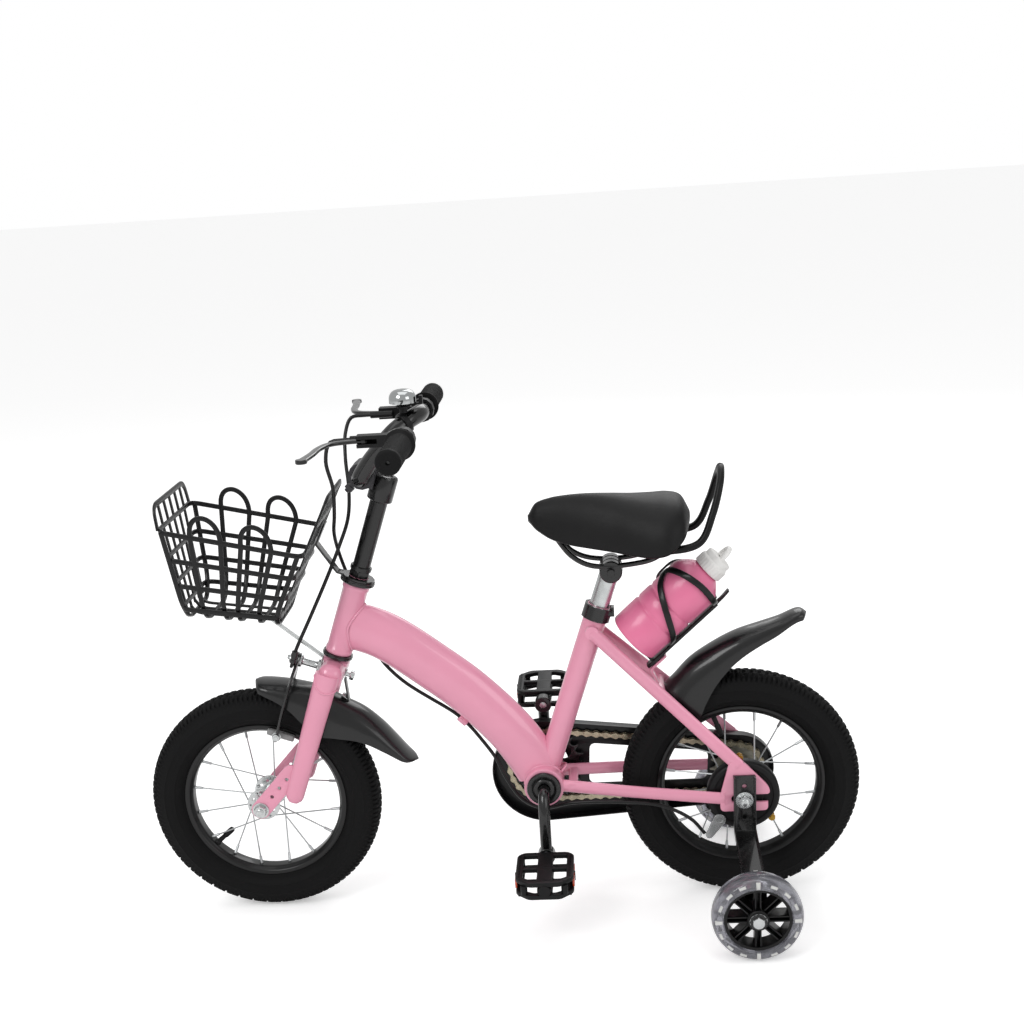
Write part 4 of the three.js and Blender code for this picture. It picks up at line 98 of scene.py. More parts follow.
SADDLE_LENGTH, SADDLE_HALF, SADDLE_TALL = 198, 70, 67
TRAINER = np.array((314.487, 185.0, 55.5))


def steer(up, ahead, y=0.0):
    """A place on the steering: up its axis from the crown, ahead of the axis, and to the right."""
    return CROWN + HEAD_UP * up + HEAD_FORWARD * ahead + SIDE * y


def along_seat(distance, y=0.0):
    """A place on the seat tube's axis, from the bottom bracket."""
    return BRACKET + SEAT_UP * distance + SIDE * y


def by_bottle(along, below, y=0.0):
    """A place by the bottle: along it from its bottom, below its axis, and to the right."""
    return BOTTLE_SEAT + BOTTLE_UP * along + BOTTLE_DOWN * below + SIDE * y


# Surfaces as whole arrays

def unit(vectors):
    """Each vector divided by its length."""
    vectors = np.asarray(vectors, float)
    length = np.linalg.norm(vectors, axis=-1, keepdims=True)
    return vectors / np.maximum(length, 1e-12)


def curve_through(points, count):
    """Evenly spaced points on a smooth curve through points: between two of them, a cubic whose end slopes
    weigh the neighbours by the square root of their distance."""
    p = np.asarray(points, float)
    p = np.vstack([2 * p[0] - p[1], p, 2 * p[-1] - p[-2]])
    pieces = []
    t = np.linspace(0, 1, 40, endpoint=False)[:, None]
    for a, b, c, d in zip(p[:-3], p[1:-2], p[2:-1], p[3:]):
        ab, bc, cd = (math.sqrt(np.linalg.norm(v)) for v in (b - a, c - b, d - c))
        start = ((b - a) / ab - (c - a) / (ab + bc) + (c - b) / bc) * bc
        end = ((c - b) / bc - (d - b) / (bc + cd) + (d - c) / cd) * bc
        pieces.append(b + start * t + (3 * (c - b) - 2 * start - end) * t**2
                      + (2 * (b - c) + start + end) * t**3)
    fine = np.vstack([*pieces, p[-2:-1]])
    return respaced(fine, count)


def respaced(line, count):
    """The same line with count points at even distances along it."""
    line = np.asarray(line, float)
    steps = np.linalg.norm(np.diff(line, axis=0), axis=1)
    reach = np.concatenate([[0], np.cumsum(steps)])
    wanted = np.linspace(0, reach[-1], count)
    return np.stack([np.interp(wanted, reach, line[:, k]) for k in range(3)], axis=1)


def rounded(points, radius, count=5, closed=False):
    """A line of straight runs whose corners are rounded: near a corner, the point of a parabola that starts
    and ends radius away from it."""
    p = np.asarray(points, float)
    total = len(p)
    out = []
    t = np.linspace(0, 1, count)[:, None]
    for i in range(total):
        if not closed and i in (0, total - 1):
            out.append(p[i:i + 1])
            continue
        before, here, after = p[i - 1], p[i], p[(i + 1) % total]
        one = min(radius, 0.48 * np.linalg.norm(before - here))
        two = min(radius, 0.48 * np.linalg.norm(after - here))
        start = here + unit(before - here) * one
        end = here + unit(after - here) * two
        out.append(start * (1 - t) ** 2 + 2 * here * t * (1 - t) + end * t**2)
    return np.vstack(out)


def ring_outline(sides, power=2.0):
    """Points (cos, sin) round a circle, each raised to 2 / power: 2 is a circle, higher is squarer."""
    angle = np.arange(sides) * TURN / sides
    c, s = np.cos(angle), np.sin(angle)
    return np.stack([np.sign(c) * abs(c) ** (2 / power), np.sign(s) * abs(s) ** (2 / power)], axis=1)


class Solid:
    """Shells of one piece, gathered as arrays of points in millimetres and faces."""

    def __init__(self):
        self.points, self.faces, self.count = [], [], 0

    def raw(self, points, faces):
        """More points, and faces whose numbers count from the first of them."""
        points = np.asarray(points, float).reshape(-1, 3)
        self.faces += [[int(i) + self.count for i in face] for face in faces]
        self.points.append(points)
        self.count += len(points)
        return self

    def grid(self, points, wrap_rows=False, wrap_cols=True, caps=True):
        """A grid of points: each row and each column joins the next, and a face closes an open end."""
        rows, cols = points.shape[:2]
        r = np.arange(rows if wrap_rows else rows - 1)
        c = np.arange(cols if wrap_cols else cols - 1)
        r, c = np.meshgrid(r, c, indexing="ij")
        below, beside = (r + 1) % rows, (c + 1) % cols
        quads = np.stack([r * cols + c, r * cols + beside, below * cols + beside, below * cols + c], -1)
        faces = quads.reshape(-1, 4).tolist()
        if caps and not wrap_rows:
            faces += [list(range(cols))[::-1], list(range((rows - 1) * cols, rows * cols))]
        return self.raw(points, faces)

    def sweep(self, path, width, height=None, sides=16, across=None, power=2.0, closed=False):
        """An oval along a path: each point is across times width cos a plus up times height sin a."""
        path = np.asarray(path, float)
        if closed:
            ahead = np.roll(path, -1, axis=0) - np.roll(path, 1, axis=0)
        else:
            ahead = np.gradient(path, axis=0)
        ahead = unit(ahead)
        if across is None:
            side = carried(ahead)
        else:
            across = np.broadcast_to(np.asarray(across, float), path.shape)
            side = unit(across - ahead * np.sum(across * ahead, axis=1, keepdims=True))
        up = np.cross(ahead, side)
        outline = ring_outline(sides, power)
        width = np.broadcast_to(width, len(path))[:, None, None]
        height = width if height is None else np.broadcast_to(height, len(path))[:, None, None]
        points = (path[:, None] + side[:, None] * width * outline[None, :, :1]
                  + up[:, None] * height * outline[None, :, 1:])
        return self.grid(points, wrap_rows=closed)

    def rod(self, start, end, radius, sides=24):
        """A round bar with softened ends: the radius falls by edge in the last edge of its length."""
        start, end = np.asarray(start, float), np.asarray(end, float)
        length = np.linalg.norm(end - start)
        edge = min(0.4, length / 4, 0.6 * radius)
        turned = [(0, 0), (radius - edge, 0), (radius - 0.3 * edge, 0.3 * edge), (radius, edge),
                  (radius, length - edge), (radius - 0.3 * edge, length - 0.3 * edge),
                  (radius - edge, length), (0, length)]
        return self.lathe(turned, start, end - start, sides)

    def collar(self, bore, radius, low, high, edge, centre, axis, segments):
        """A round collar between two heights on an axis: its outer corners are cut back by edge."""
        profile = [(bore, low), (radius - edge, low), (radius, low + edge), (radius, high - edge),
                   (radius - edge, high), (bore, high)]
        return self.lathe(profile, centre, axis, segments, ring=bore > 0)

    def lathe(self, profile, centre, axis, segments=64, ring=False):
        """A profile of radius and height turned round an axis: centre + axis h + r (u cos a + v sin a). A
        ring's profile is closed, and any other one starts and ends on the axis."""
        profile = np.asarray(profile, float)
        axis = unit(axis)
        u, v = square_to(axis)
        angle = np.arange(segments) * TURN / segments
        spokes = u * np.cos(angle)[:, None] + v * np.sin(angle)[:, None]
        points = (np.asarray(centre, float) + axis * profile[None, :, 1:]
                  + spokes[:, None, :] * profile[None, :, :1])
        return self.grid(points, wrap_rows=True, wrap_cols=ring)

    def plate(self, outline, low, high, holes=(), edge=0.5, smooth=1):
        """A flat outline in x and z, with holes, between two heights in y, its edges rounded by edge."""
        data = bpy.data.curves.new("outline", "CURVE")
        data.dimensions, data.fill_mode = "2D", "BOTH"
        half = (high - low) / 2
        edge = min(edge, 0.45 * half)
        data.extrude, data.bevel_depth, data.bevel_resolution = half - edge, edge, smooth
        data.offset = -edge
        for line in (outline, *holes):
            line = np.asarray(line, float)
            spline = data.splines.new("POLY")
            spline.points.add(len(line) - 1)
            flat = np.column_stack([line, np.zeros(len(line)), np.ones(len(line))])
            spline.points.foreach_set("co", flat.ravel())
            spline.use_cyclic_u = True
        carrier = bpy.data.objects.new("outline", data)
        mesh = bpy.data.meshes.new_from_object(carrier)
        points = np.empty(len(mesh.vertices) * 3)
        mesh.vertices.foreach_get("co", points)
        points = points.reshape(-1, 3)
        faces = [list(face.vertices) for face in mesh.polygons]
        self.raw(np.column_stack([points[:, 0], (low + high) / 2 + points[:, 2], points[:, 1]]), faces)
        bpy.data.objects.remove(carrier)
        bpy.data.curves.remove(data)
        bpy.data.meshes.remove(mesh)
        return self

    def moved(self, change):
        """Every point gathered so far, through a function of the whole array."""
        self.points = [change(np.vstack(self.points))]
        return self

    def shifted(self, by):
        """Every point gathered so far, moved by the same amount."""
        return self.moved(lambda points: points + by)

    def also(self, other, change=lambda points: points):
        """Another solid's shells as well, through a function of their points."""
        return self.raw(change(np.vstack(other.points)), other.faces)


def carried(ahead):
    """Side directions that turn as little as they can along a path: each is the last one, less its part
    along the path."""
    side = np.zeros_like(ahead)
    start = UP if abs(ahead[0][2]) < 0.9 else BACK
    side[0] = unit(np.cross(ahead[0], start))
    for i in range(1, len(ahead)):
        kept = side[i - 1] - ahead[i] * np.dot(side[i - 1], ahead[i])
        side[i] = unit(kept)
    return side


def ray(angle):
    """The direction at an angle round a wheel: (cos a, 0, sin a)."""
    return np.array((math.cos(angle), 0.0, math.sin(angle)))


def square_to(axis):
    """Two directions that stand square to an axis and to each other."""
    u = unit(np.cross(axis, BACK if abs(axis[0]) < 0.9 else UP))
    return u, np.cross(axis, u)


def mirrored(points):
    """The same points on the other side of the bike."""
    return points * np.array((1.0, -1.0, 1.0))


def circle(x, z, radius, count=24, start=0.0):
    """Points round a circle: x plus radius cos a, z plus radius sin a."""
    angle = start + np.arange(count) * TURN / count
    return np.column_stack([x + radius * np.cos(angle), z + radius * np.sin(angle)])


def capsule(start, end, start_radius, end_radius, count=14):
    """The outline round two circles, each half a turn, joined by straight sides."""
    start, end = np.asarray(start, float), np.asarray(end, float)
    heading = math.atan2(*(end - start)[::-1])
    half = np.linspace(-TURN / 4, TURN / 4, count) + heading
    arc = np.column_stack([np.cos(half), np.sin(half)])
    return np.vstack([end + end_radius * arc, start - start_radius * arc])


def bead(solid, origin, heading, one, two, centre, axis, radius, thickness=1.6, count=72):
    """A weld where a tube meets a round one: points of the tube's outline, each carried along its heading
    until it is radius away from the other's axis, with small ripples in the bead's thickness."""
    angle = np.arange(count) * TURN / count
    start = origin + one * np.cos(angle)[:, None] + two * np.sin(angle)[:, None]
    axis, heading = unit(axis), unit(heading)
    a = heading - axis * np.dot(heading, axis)
    b = start - centre - axis * np.dot(start - centre, axis)[:, None]
    half = b @ a
    inside = half**2 - (a @ a) * (np.sum(b * b, axis=1) - radius**2)
    inside = np.maximum(inside, 0)
    reach = (-half - np.sqrt(inside)) / (a @ a)
    path = start + heading * reach[:, None]
    ripple = thickness * (1 + 0.13 * np.cos(np.arange(count) * TURN / 3))
    return solid.sweep(path, ripple, sides=8, closed=True)


# Making objects

def finish_object(name, solid, body, finish, replaced=(), smooth=40.0):
    """One object from a solid: points in metres, doubles merged, faces turned outwards, soft shading."""
    mesh = bpy.data.meshes.new(name)
    points = np.vstack(solid.points) * MM
    mesh.from_pydata(points.tolist(), [], solid.faces)
    work = bmesh.new()
    work.from_mesh(mesh)
    bmesh.ops.remove_doubles(work, verts=work.verts, dist=0.004 * MM)
    bmesh.ops.recalc_face_normals(work, faces=work.faces)
    work.to_mesh(mesh)
    work.free()
    return dress(name, mesh, body, finish, replaced, smooth)


def dress(name, mesh, body, finish, replaced=(), smooth=40.0):
    """Sets a mesh as a finished object: shading, material, body and what it replaces."""
    mesh.shade_smooth()
    mesh.set_sharp_from_angle(angle=math.radians(smooth))
    mesh.materials.append(bpy.data.materials[finish])
    thing = bpy.data.objects.new(name, mesh)
    bpy.context.scene.collection.objects.link(thing)
    if body:
        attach(thing, body)
    if replaced:
        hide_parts(*replaced)
    return thing


def piece(node, solid, body, finish, smooth=40.0):
    """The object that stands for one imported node."""
    return finish_object(f"{node}_piece", solid, body, finish, (node,), smooth)


def machined(node, body, finish, edge):
    """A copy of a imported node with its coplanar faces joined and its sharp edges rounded."""
    smooth = 38.0
    source = frame["nodes"][node]
    mesh = source.data.copy()
    mesh.materials.clear()
    work = bmesh.new()
    work.from_mesh(mesh)
    work.transform(source.matrix_world)
    bmesh.ops.remove_doubles(work, verts=work.verts, dist=0.002 * MM)
    bmesh.ops.dissolve_limit(work, angle_limit=math.radians(0.6), verts=work.verts, edges=work.edges)
    work.to_mesh(mesh)
    work.free()
    thing = dress(f"{node}_piece", mesh, body, finish, (node,), smooth)
    bevel = thing.modifiers.new("edges", "BEVEL")
    bevel.width = edge * MM
    bevel.segments = 2
    bevel.limit_method = "ANGLE"
    bevel.angle_limit = math.radians(smooth)
    bevel.harden_normals = True
    return thing


def nut(solid, start, axis, radius, height, sides=36):
    """A six-sided nut: between two chamfer circles the radius at angle a is that of a hexagon."""
    angle = np.arange(sides) * TURN / sides
    flat = math.cos(TURN / 12)
    corner = radius * flat / np.cos((angle % (TURN / 6)) - TURN / 12)
    rows = [(0.05, 0.0), (0.86, 0.0), (1.0, 0.16), (1.0, 0.84), (0.86, 1.0), (0.05, 1.0)]
    axis = unit(axis)
    u, v = square_to(axis)
    rings = []
    for share, up in rows:
        reach = np.minimum(corner, radius * share) if share < 1 else corner
        ring = u * (reach * np.cos(angle))[:, None] + v * (reach * np.sin(angle))[:, None]
        rings.append(np.asarray(start, float) + axis * height * up + ring)
    return solid.grid(np.array(rings))


def threaded(solid, start, axis, radius, length, pitch=1.0, sides=20):
    """A threaded bar: rings whose radius swings between crest and root once a pitch, and a softened end."""
    turns = max(int(length / pitch), 1)
    profile = [(0.0, 0.0)]
    for i in range(turns):
        profile += [(radius, i * pitch), (radius, (i + 0.35) * pitch), (0.88 * radius, (i + 0.7) * pitch)]
    profile += [(0.86 * radius, length), (0.7 * radius, length + 0.3), (0.0, length + 0.3)]
    return solid.lathe(profile, start, axis, sides)


# Finishes

SLOTS = {
    "pink paint": "pink_paint", "black paint": "black_paint", "black plastic": "black_plastic",
    "stem black": "black_plastic", "rim black": "black_plastic", "fender black": "black_plastic",
    "clamp grey": "grey_alloy", "bright steel": "bright_steel", "spoke steel": "bright_steel",
    "bell chrome": "bright_steel", "tire rubber": "tyre_rubber", "grip rubber": "grip_rubber",
    "clear tire": "clear_tyre", "tire pads": "clear_tyre", "chain steel": "chain_steel",
    "sprocket steel": "freewheel_steel", "saddle skin": "saddle_skin", "saddle plastic": "black_plastic",
    "bottle pink": "pink_plastic", "cap white": "white_plastic", "cable skin": "cable_skin",
    "brass": "chain_steel", "reflector orange": "black_plastic", "cage plastic": "black_plastic",
    "shoe grey": "cable_skin", "hub plastic": "black_plastic",
}
NODE_FINISHES = {slot: name for name, slot in reversed(SLOTS.items())}


def finish(name, colour, rough, metal=0.0, coat=0.0, tone=(60.0, 0.06), grain=(900.0, 0.1), spread=0.06,
           scratch=0.0, clear=0.0, shine=0.5):
    """One finish from a screen colour: a soft noise of tone's scale moves it by tone's share, and grain's
    fine noise moves the roughness by spread and lifts the surface."""
    made = bpy.data.materials.new(name)
    made.use_nodes = True
    nodes, links = made.node_tree.nodes, made.node_tree.links
    shader = nodes["Principled BSDF"]
    colour = linear(colour)
    place = nodes.new("ShaderNodeTexCoord")
    drift = nodes.new("ShaderNodeTexNoise")
    drift.inputs["Scale"].default_value = tone[0]
    drift.inputs["Detail"].default_value = 4.0
    links.new(place.outputs["Object"], drift.inputs["Vector"])
    shades = nodes.new("ShaderNodeValToRGB")
    low, high = (tuple(min(c * (1 + way * tone[1]), 1.0) for c in colour) + (1.0,) for way in (-1, 1))
    shades.color_ramp.elements[0].position, shades.color_ramp.elements[1].position = 0.32, 0.68
    shades.color_ramp.elements[0].color, shades.color_ramp.elements[1].color = low, high
    links.new(drift.outputs["Fac"], shades.inputs["Fac"])
    links.new(shades.outputs["Color"], shader.inputs["Base Color"])
    sheen = nodes.new("ShaderNodeMapRange")
    sheen.inputs["To Min"].default_value = max(rough - spread, 0.02)
    sheen.inputs["To Max"].default_value = min(rough + spread, 1.0)
    fine = nodes.new("ShaderNodeTexNoise")
    fine.inputs["Scale"].default_value = grain[0]
    fine.inputs["Detail"].default_value = 3.0
    links.new(place.outputs["Object"], fine.inputs["Vector"])
    if scratch:
        stretch = nodes.new("ShaderNodeMapping")
        stretch.inputs["Scale"].default_value = (scratch, 1.0, scratch)
        links.new(place.outputs["Object"], stretch.inputs["Vector"])
        links.new(stretch.outputs["Vector"], fine.inputs["Vector"])
    links.new(fine.outputs["Fac"], sheen.inputs["Value"])
    links.new(sheen.outputs["Result"], shader.inputs["Roughness"])
    lift = nodes.new("ShaderNodeBump")
    lift.inputs["Strength"].default_value = grain[1]
    lift.inputs["Distance"].default_value = 0.0004
    links.new(fine.outputs["Fac"], lift.inputs["Height"])
    links.new(lift.outputs["Normal"], shader.inputs["Normal"])
    shader.inputs["Metallic"].default_value = metal
    shader.inputs["Specular IOR Level"].default_value = shine
    shader.inputs["Coat Weight"].default_value = coat
    shader.inputs["Coat Roughness"].default_value = 0.06
    shader.inputs["Transmission Weight"].default_value = clear
    return made


def linear(colour):
    """Screen colour shares as light shares: each to the power 2.2."""
    return tuple(c**2.2 for c in colour)


class BikeColours(bpy.types.PropertyGroup):
    """The colours that a user would change."""

    frame: bpy.props.FloatVectorProperty(
        name="Frame", description="Paint of the frame and fork", subtype="COLOR_GAMMA", size=3,
        default=(0.880, 0.575, 0.672), min=0.0, max=1.0)
    bottle: bpy.props.FloatVectorProperty(
        name="Bottle", description="Plastic of the bottle", subtype="COLOR_GAMMA", size=3,
        default=(0.880, 0.455, 0.600), min=0.0, max=1.0)
    cap: bpy.props.FloatVectorProperty(
        name="Cap", description="Plastic of the bottle's cap", subtype="COLOR_GAMMA", size=3,
        default=(0.905, 0.900, 0.890), min=0.0, max=1.0)
    fittings: bpy.props.FloatVectorProperty(
        name="Fittings", description="Plastic of basket, fenders and guard", subtype="COLOR_GAMMA", size=3,
        default=(0.075, 0.075, 0.080), min=0.0, max=1.0)
    rubber: bpy.props.FloatVectorProperty(
        name="Tires", description="Rubber of the tires and grips", subtype="COLOR_GAMMA", size=3,
        default=(0.050, 0.050, 0.053), min=0.0, max=1.0)


class BikeSizes(bpy.types.PropertyGroup):
    """The sizes that a user would change."""

    tread_depth: bpy.props.FloatProperty(
        name="Tread depth", description="Height of the tire's blocks", default=0.0021, min=0.0005,
        max=0.004, subtype="DISTANCE", unit="LENGTH")
    spoke: bpy.props.FloatProperty(
        name="Spoke", description="Thickness of a spoke", default=0.0019, min=0.001, max=0.003,
        subtype="DISTANCE", unit="LENGTH")
    lattice: bpy.props.FloatProperty(
        name="Basket bar", description="Width of the basket's bars", default=0.0062, min=0.003, max=0.008,
        subtype="DISTANCE", unit="LENGTH")
    weld: bpy.props.FloatProperty(
        name="Weld", description="Thickness of the frame's welds", default=0.0034, min=0.001, max=0.006,
        subtype="DISTANCE", unit="LENGTH")
    floor: bpy.props.FloatProperty(
        name="Floor", description="Length of the floor's side", default=60.0, min=4.0, max=200.0,
        subtype="DISTANCE", unit="LENGTH")


class BikeOperator(bpy.types.Operator):
    """A step of the build: it registers like the others and can be undone."""

    bl_options = {"REGISTER", "UNDO"}

    @classmethod
    def poll(cls, context):
        return context.scene is not None


class BIKE_OT_finishes(BikeOperator):
    """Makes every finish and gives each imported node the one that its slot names"""

    bl_idname = "bike.finishes"
    bl_label = "Finishes"

    def execute(self, context):
        colours = context.scene.bike_colours
        fittings, rubber = colours.fittings, colours.rubber
        dark, steel, moulded = (0.05, 0.05, 0.053), (0.80, 0.81, 0.81), (0.06, 0.06, 0.064)
        finish("pink paint", colours.frame, 0.30, coat=0.7, tone=(14.0, 0.03), grain=(520.0, 0.05))
        finish("black paint", dark, 0.26, coat=0.6, tone=(20.0, 0.05), grain=(420.0, 0.05), shine=0.36)
        finish("stem black", dark, 0.30, coat=0.5, tone=(24.0, 0.05), grain=(700.0, 0.08), shine=0.36)
        finish("black plastic", fittings, 0.42, tone=(40.0, 0.12), grain=(1500.0, 0.22), shine=0.26)
        finish("cage plastic", fittings, 0.36, coat=0.2, tone=(40.0, 0.12), grain=(1100.0, 0.15),
               shine=0.26)
        finish("fender black", moulded, 0.30, coat=0.4, tone=(18.0, 0.12), grain=(900.0, 0.12), shine=0.34)
        finish("hub plastic", (0.06, 0.06, 0.063), 0.34, coat=0.1, tone=(50.0, 0.12), grain=(1300.0, 0.15),
               shine=0.28)
        finish("rim black", moulded, 0.34, coat=0.3, tone=(30.0, 0.1), grain=(800.0, 0.08), shine=0.3)
        finish("clamp grey", (0.24, 0.235, 0.245), 0.38, metal=0.5, tone=(90.0, 0.1), grain=(1500.0, 0.2))
        finish("bright steel", steel, 0.26, metal=1.0, tone=(90.0, 0.08), grain=(900.0, 0.12), scratch=6.0)
        finish("spoke steel", (0.74, 0.75, 0.755), 0.30, metal=1.0, tone=(50.0, 0.05), grain=(700.0, 0.05))
        finish("bell chrome", (0.72, 0.73, 0.73), 0.10, metal=1.0, tone=(30.0, 0.03), grain=(500.0, 0.02),
               spread=0.03)
        finish("tire rubber", rubber, 0.72, tone=(70.0, 0.18), grain=(1900.0, 0.45), spread=0.12, shine=0.2)
        finish("grip rubber", rubber, 0.66, tone=(70.0, 0.15), grain=(2600.0, 0.5), spread=0.1, shine=0.22)
        finish("clear tire", (0.60, 0.60, 0.63), 0.14, clear=0.75, tone=(40.0, 0.05), grain=(500.0, 0.06))
        finish("tire pads", (0.80, 0.80, 0.79), 0.42, tone=(120.0, 0.08), grain=(1500.0, 0.2))
        finish("chain steel", (0.70, 0.66, 0.57), 0.28, metal=0.9, tone=(160.0, 0.16), grain=(1500.0, 0.15))
        finish("sprocket steel", (0.52, 0.51, 0.47), 0.38, metal=0.9, tone=(160.0, 0.16),
               grain=(1500.0, 0.2))
        finish("saddle skin", (0.065, 0.065, 0.068), 0.46, tone=(60.0, 0.15), grain=(1700.0, 0.55),
               spread=0.1, shine=0.26)
        finish("saddle plastic", (0.06, 0.06, 0.063), 0.40, tone=(40.0, 0.12), grain=(1400.0, 0.25),
               shine=0.26)
        finish("bottle pink", colours.bottle, 0.34, coat=0.25, tone=(12.0, 0.04), grain=(700.0, 0.06))
        finish("cap white", colours.cap, 0.40, tone=(30.0, 0.03), grain=(900.0, 0.10))
        finish("cable skin", (0.055, 0.055, 0.058), 0.40, coat=0.15, tone=(60.0, 0.12),
               grain=(1200.0, 0.15), shine=0.3)
        finish("brass", (0.78, 0.62, 0.30), 0.30, metal=1.0, tone=(160.0, 0.1), grain=(1200.0, 0.15))
        finish("reflector orange", (0.80, 0.26, 0.08), 0.15, coat=0.8, tone=(300.0, 0.35),
               grain=(600.0, 0.4))
        finish("shoe grey", (0.55, 0.55, 0.55), 0.60, tone=(90.0, 0.12), grain=(1700.0, 0.3))
        for part in frame["record"]["subparts"]:
            node = frame["nodes"][part["node"]]
            node.data.materials.clear()
            node.data.materials.append(bpy.data.materials[NODE_FINISHES[part["material_slot"]]])
        return {"FINISHED"}


class BIKE_OT_stage(BikeOperator):
    """Sets the floor, the soft lamps and the camera at the photograph's view"""

    bl_idname = "bike.stage"
    bl_label = "Stage"
    floor_shade = 0.93
    floor_glow = 0.36
    sky_light = 0.62
    lamps = (
        ("key lamp", (-1.7, -2.3, 2.6), 1.5, 40.0), ("fill lamp", (2.3, -1.9, 1.5), 1.6, 13.0),
        ("back lamp", (0.6, 2.4, 2.2), 1.6, 18.0), ("top lamp", (0.0, 0.0, 3.1), 2.2, 16.0),
    )

    def execute(self, context):
        half = context.scene.bike_sizes.floor / 2
        level = -0.0006
        corners = [(x * half, y * half, level) for x, y in ((-1, -1), (1, -1), (1, 1), (-1, 1))]
        mesh = bpy.data.meshes.new("floor")
        mesh.from_pydata(corners, [], [(0, 1, 2, 3)])
        floor = bpy.data.objects.new("floor", mesh)
        context.scene.collection.objects.link(floor)
        mesh.materials.append(self.floor_finish())
        self.sky(context.scene)
        for lamp in self.lamps:
            self.lamp(*lamp)
        self.camera(context.scene)
        return {"FINISHED"}

    def lamp(self, name, place, size, power):
        """A square lamp that faces the middle of the bike."""
        data = bpy.data.lights.new(name, "AREA")
        data.size, data.energy = size, power
        lamp = bpy.data.objects.new(name, data)
        lamp.location = place
        aim = Vector((0.0, 0.0, 0.3)) - lamp.location
        lamp.rotation_euler = aim.to_track_quat("-Z", "Y").to_euler()
        bpy.context.scene.collection.objects.link(lamp)

    def seen(self, nodes, links):
        """A share that is 1 where the eye or glass looks and 0 for the light that falls on things."""
        path = nodes.new("ShaderNodeLightPath")
        both = nodes.new("ShaderNodeMath")
        both.operation = "MAXIMUM"
        links.new(path.outputs["Is Camera Ray"], both.inputs[0])
        links.new(path.outputs["Is Transmission Ray"], both.inputs[1])
        return both.outputs[0]

    def floor_finish(self):
        """A dull pale floor that looks brighter to the eye than the light it throws on the bike."""
        made = bpy.data.materials.new("floor paint")
        made.use_nodes = True
        nodes, links = made.node_tree.nodes, made.node_tree.links
        shader = nodes["Principled BSDF"]
        shader.inputs["Base Color"].default_value = (*[self.floor_shade] * 3, 1.0)
        shader.inputs["Roughness"].default_value = 0.9
        shader.inputs["Specular IOR Level"].default_value = 0.1
        shader.inputs["Emission Color"].default_value = (1.0, 1.0, 1.0, 1.0)
        lift = nodes.new("ShaderNodeMath")
        lift.operation = "MULTIPLY"
        lift.inputs[1].default_value = self.floor_glow
        links.new(self.seen(nodes, links), lift.inputs[0])
        links.new(lift.outputs[0], shader.inputs["Emission Strength"])
        return made

    def sky(self, scene):
        """A sky that is white to the eye and dimmer as a light."""
        world = bpy.data.worlds.new("studio")
        scene.world = world
        world.use_nodes = True
        nodes, links = world.node_tree.nodes, world.node_tree.links
        base = nodes["Background"]
        base.inputs["Color"].default_value = (1.0, 1.0, 1.0, 1.0)
        level = nodes.new("ShaderNodeMapRange")
        level.inputs["To Min"].default_value = self.sky_light
        level.inputs["To Max"].default_value = 1.0
        links.new(self.seen(nodes, links), level.inputs["Value"])
        links.new(level.outputs["Result"], base.inputs["Strength"])

    def camera(self, scene):
        """The camera stands left of the bike, a little above it, and is rolled as the photograph is."""
        data = bpy.data.cameras.new("camera")
        data.sensor_width, data.lens, data.shift_y = 36.0, 52.73, 0.164
        data.clip_end = 100.0
        camera = bpy.data.objects.new("camera", data)
        azimuth, elevation, roll = (math.radians(v) for v in (4.3, 19.5, -3.8))
        back = Vector((math.sin(azimuth) * math.cos(elevation), -math.cos(azimuth) * math.cos(elevation),
                       math.sin(elevation)))
        level = Vector((math.cos(azimuth), math.sin(azimuth), 0.0))
        rise = back.cross(level)
        right = math.cos(roll) * level + math.sin(roll) * rise
        over = -math.sin(roll) * level + math.cos(roll) * rise
        turned = Matrix((right, over, back)).transposed().to_4x4()
        camera.matrix_world = Matrix.Translation((0.1593, -1.8033, 0.9437)) @ turned
        scene.collection.objects.link(camera)
        scene.camera = camera
        scene.view_settings.view_transform = "Standard"


# Wheels

SPOKES = 16
FLANGE_Y = 23.0


def step(value, edge, soft):
    """0 below an edge, 1 above it, and a cubic ramp of width soft between."""
    t = np.clip((value - edge) / soft + 0.5, 0, 1)
    return t * t * (3 - 2 * t)


def tread(around, across, count, width, gap_share, shift=0.0):
    """Blocks in a row: 1 on a block, 0 in a groove, with count blocks round and each width wide."""
    phase = (around * count / TURN + shift) % 1.0
    along = step(phase, gap_share / 2, 0.1) * (1 - step(phase, 1 - gap_share / 2, 0.1))
    return along * (1 - step(abs(across), width / 2, 0.9))


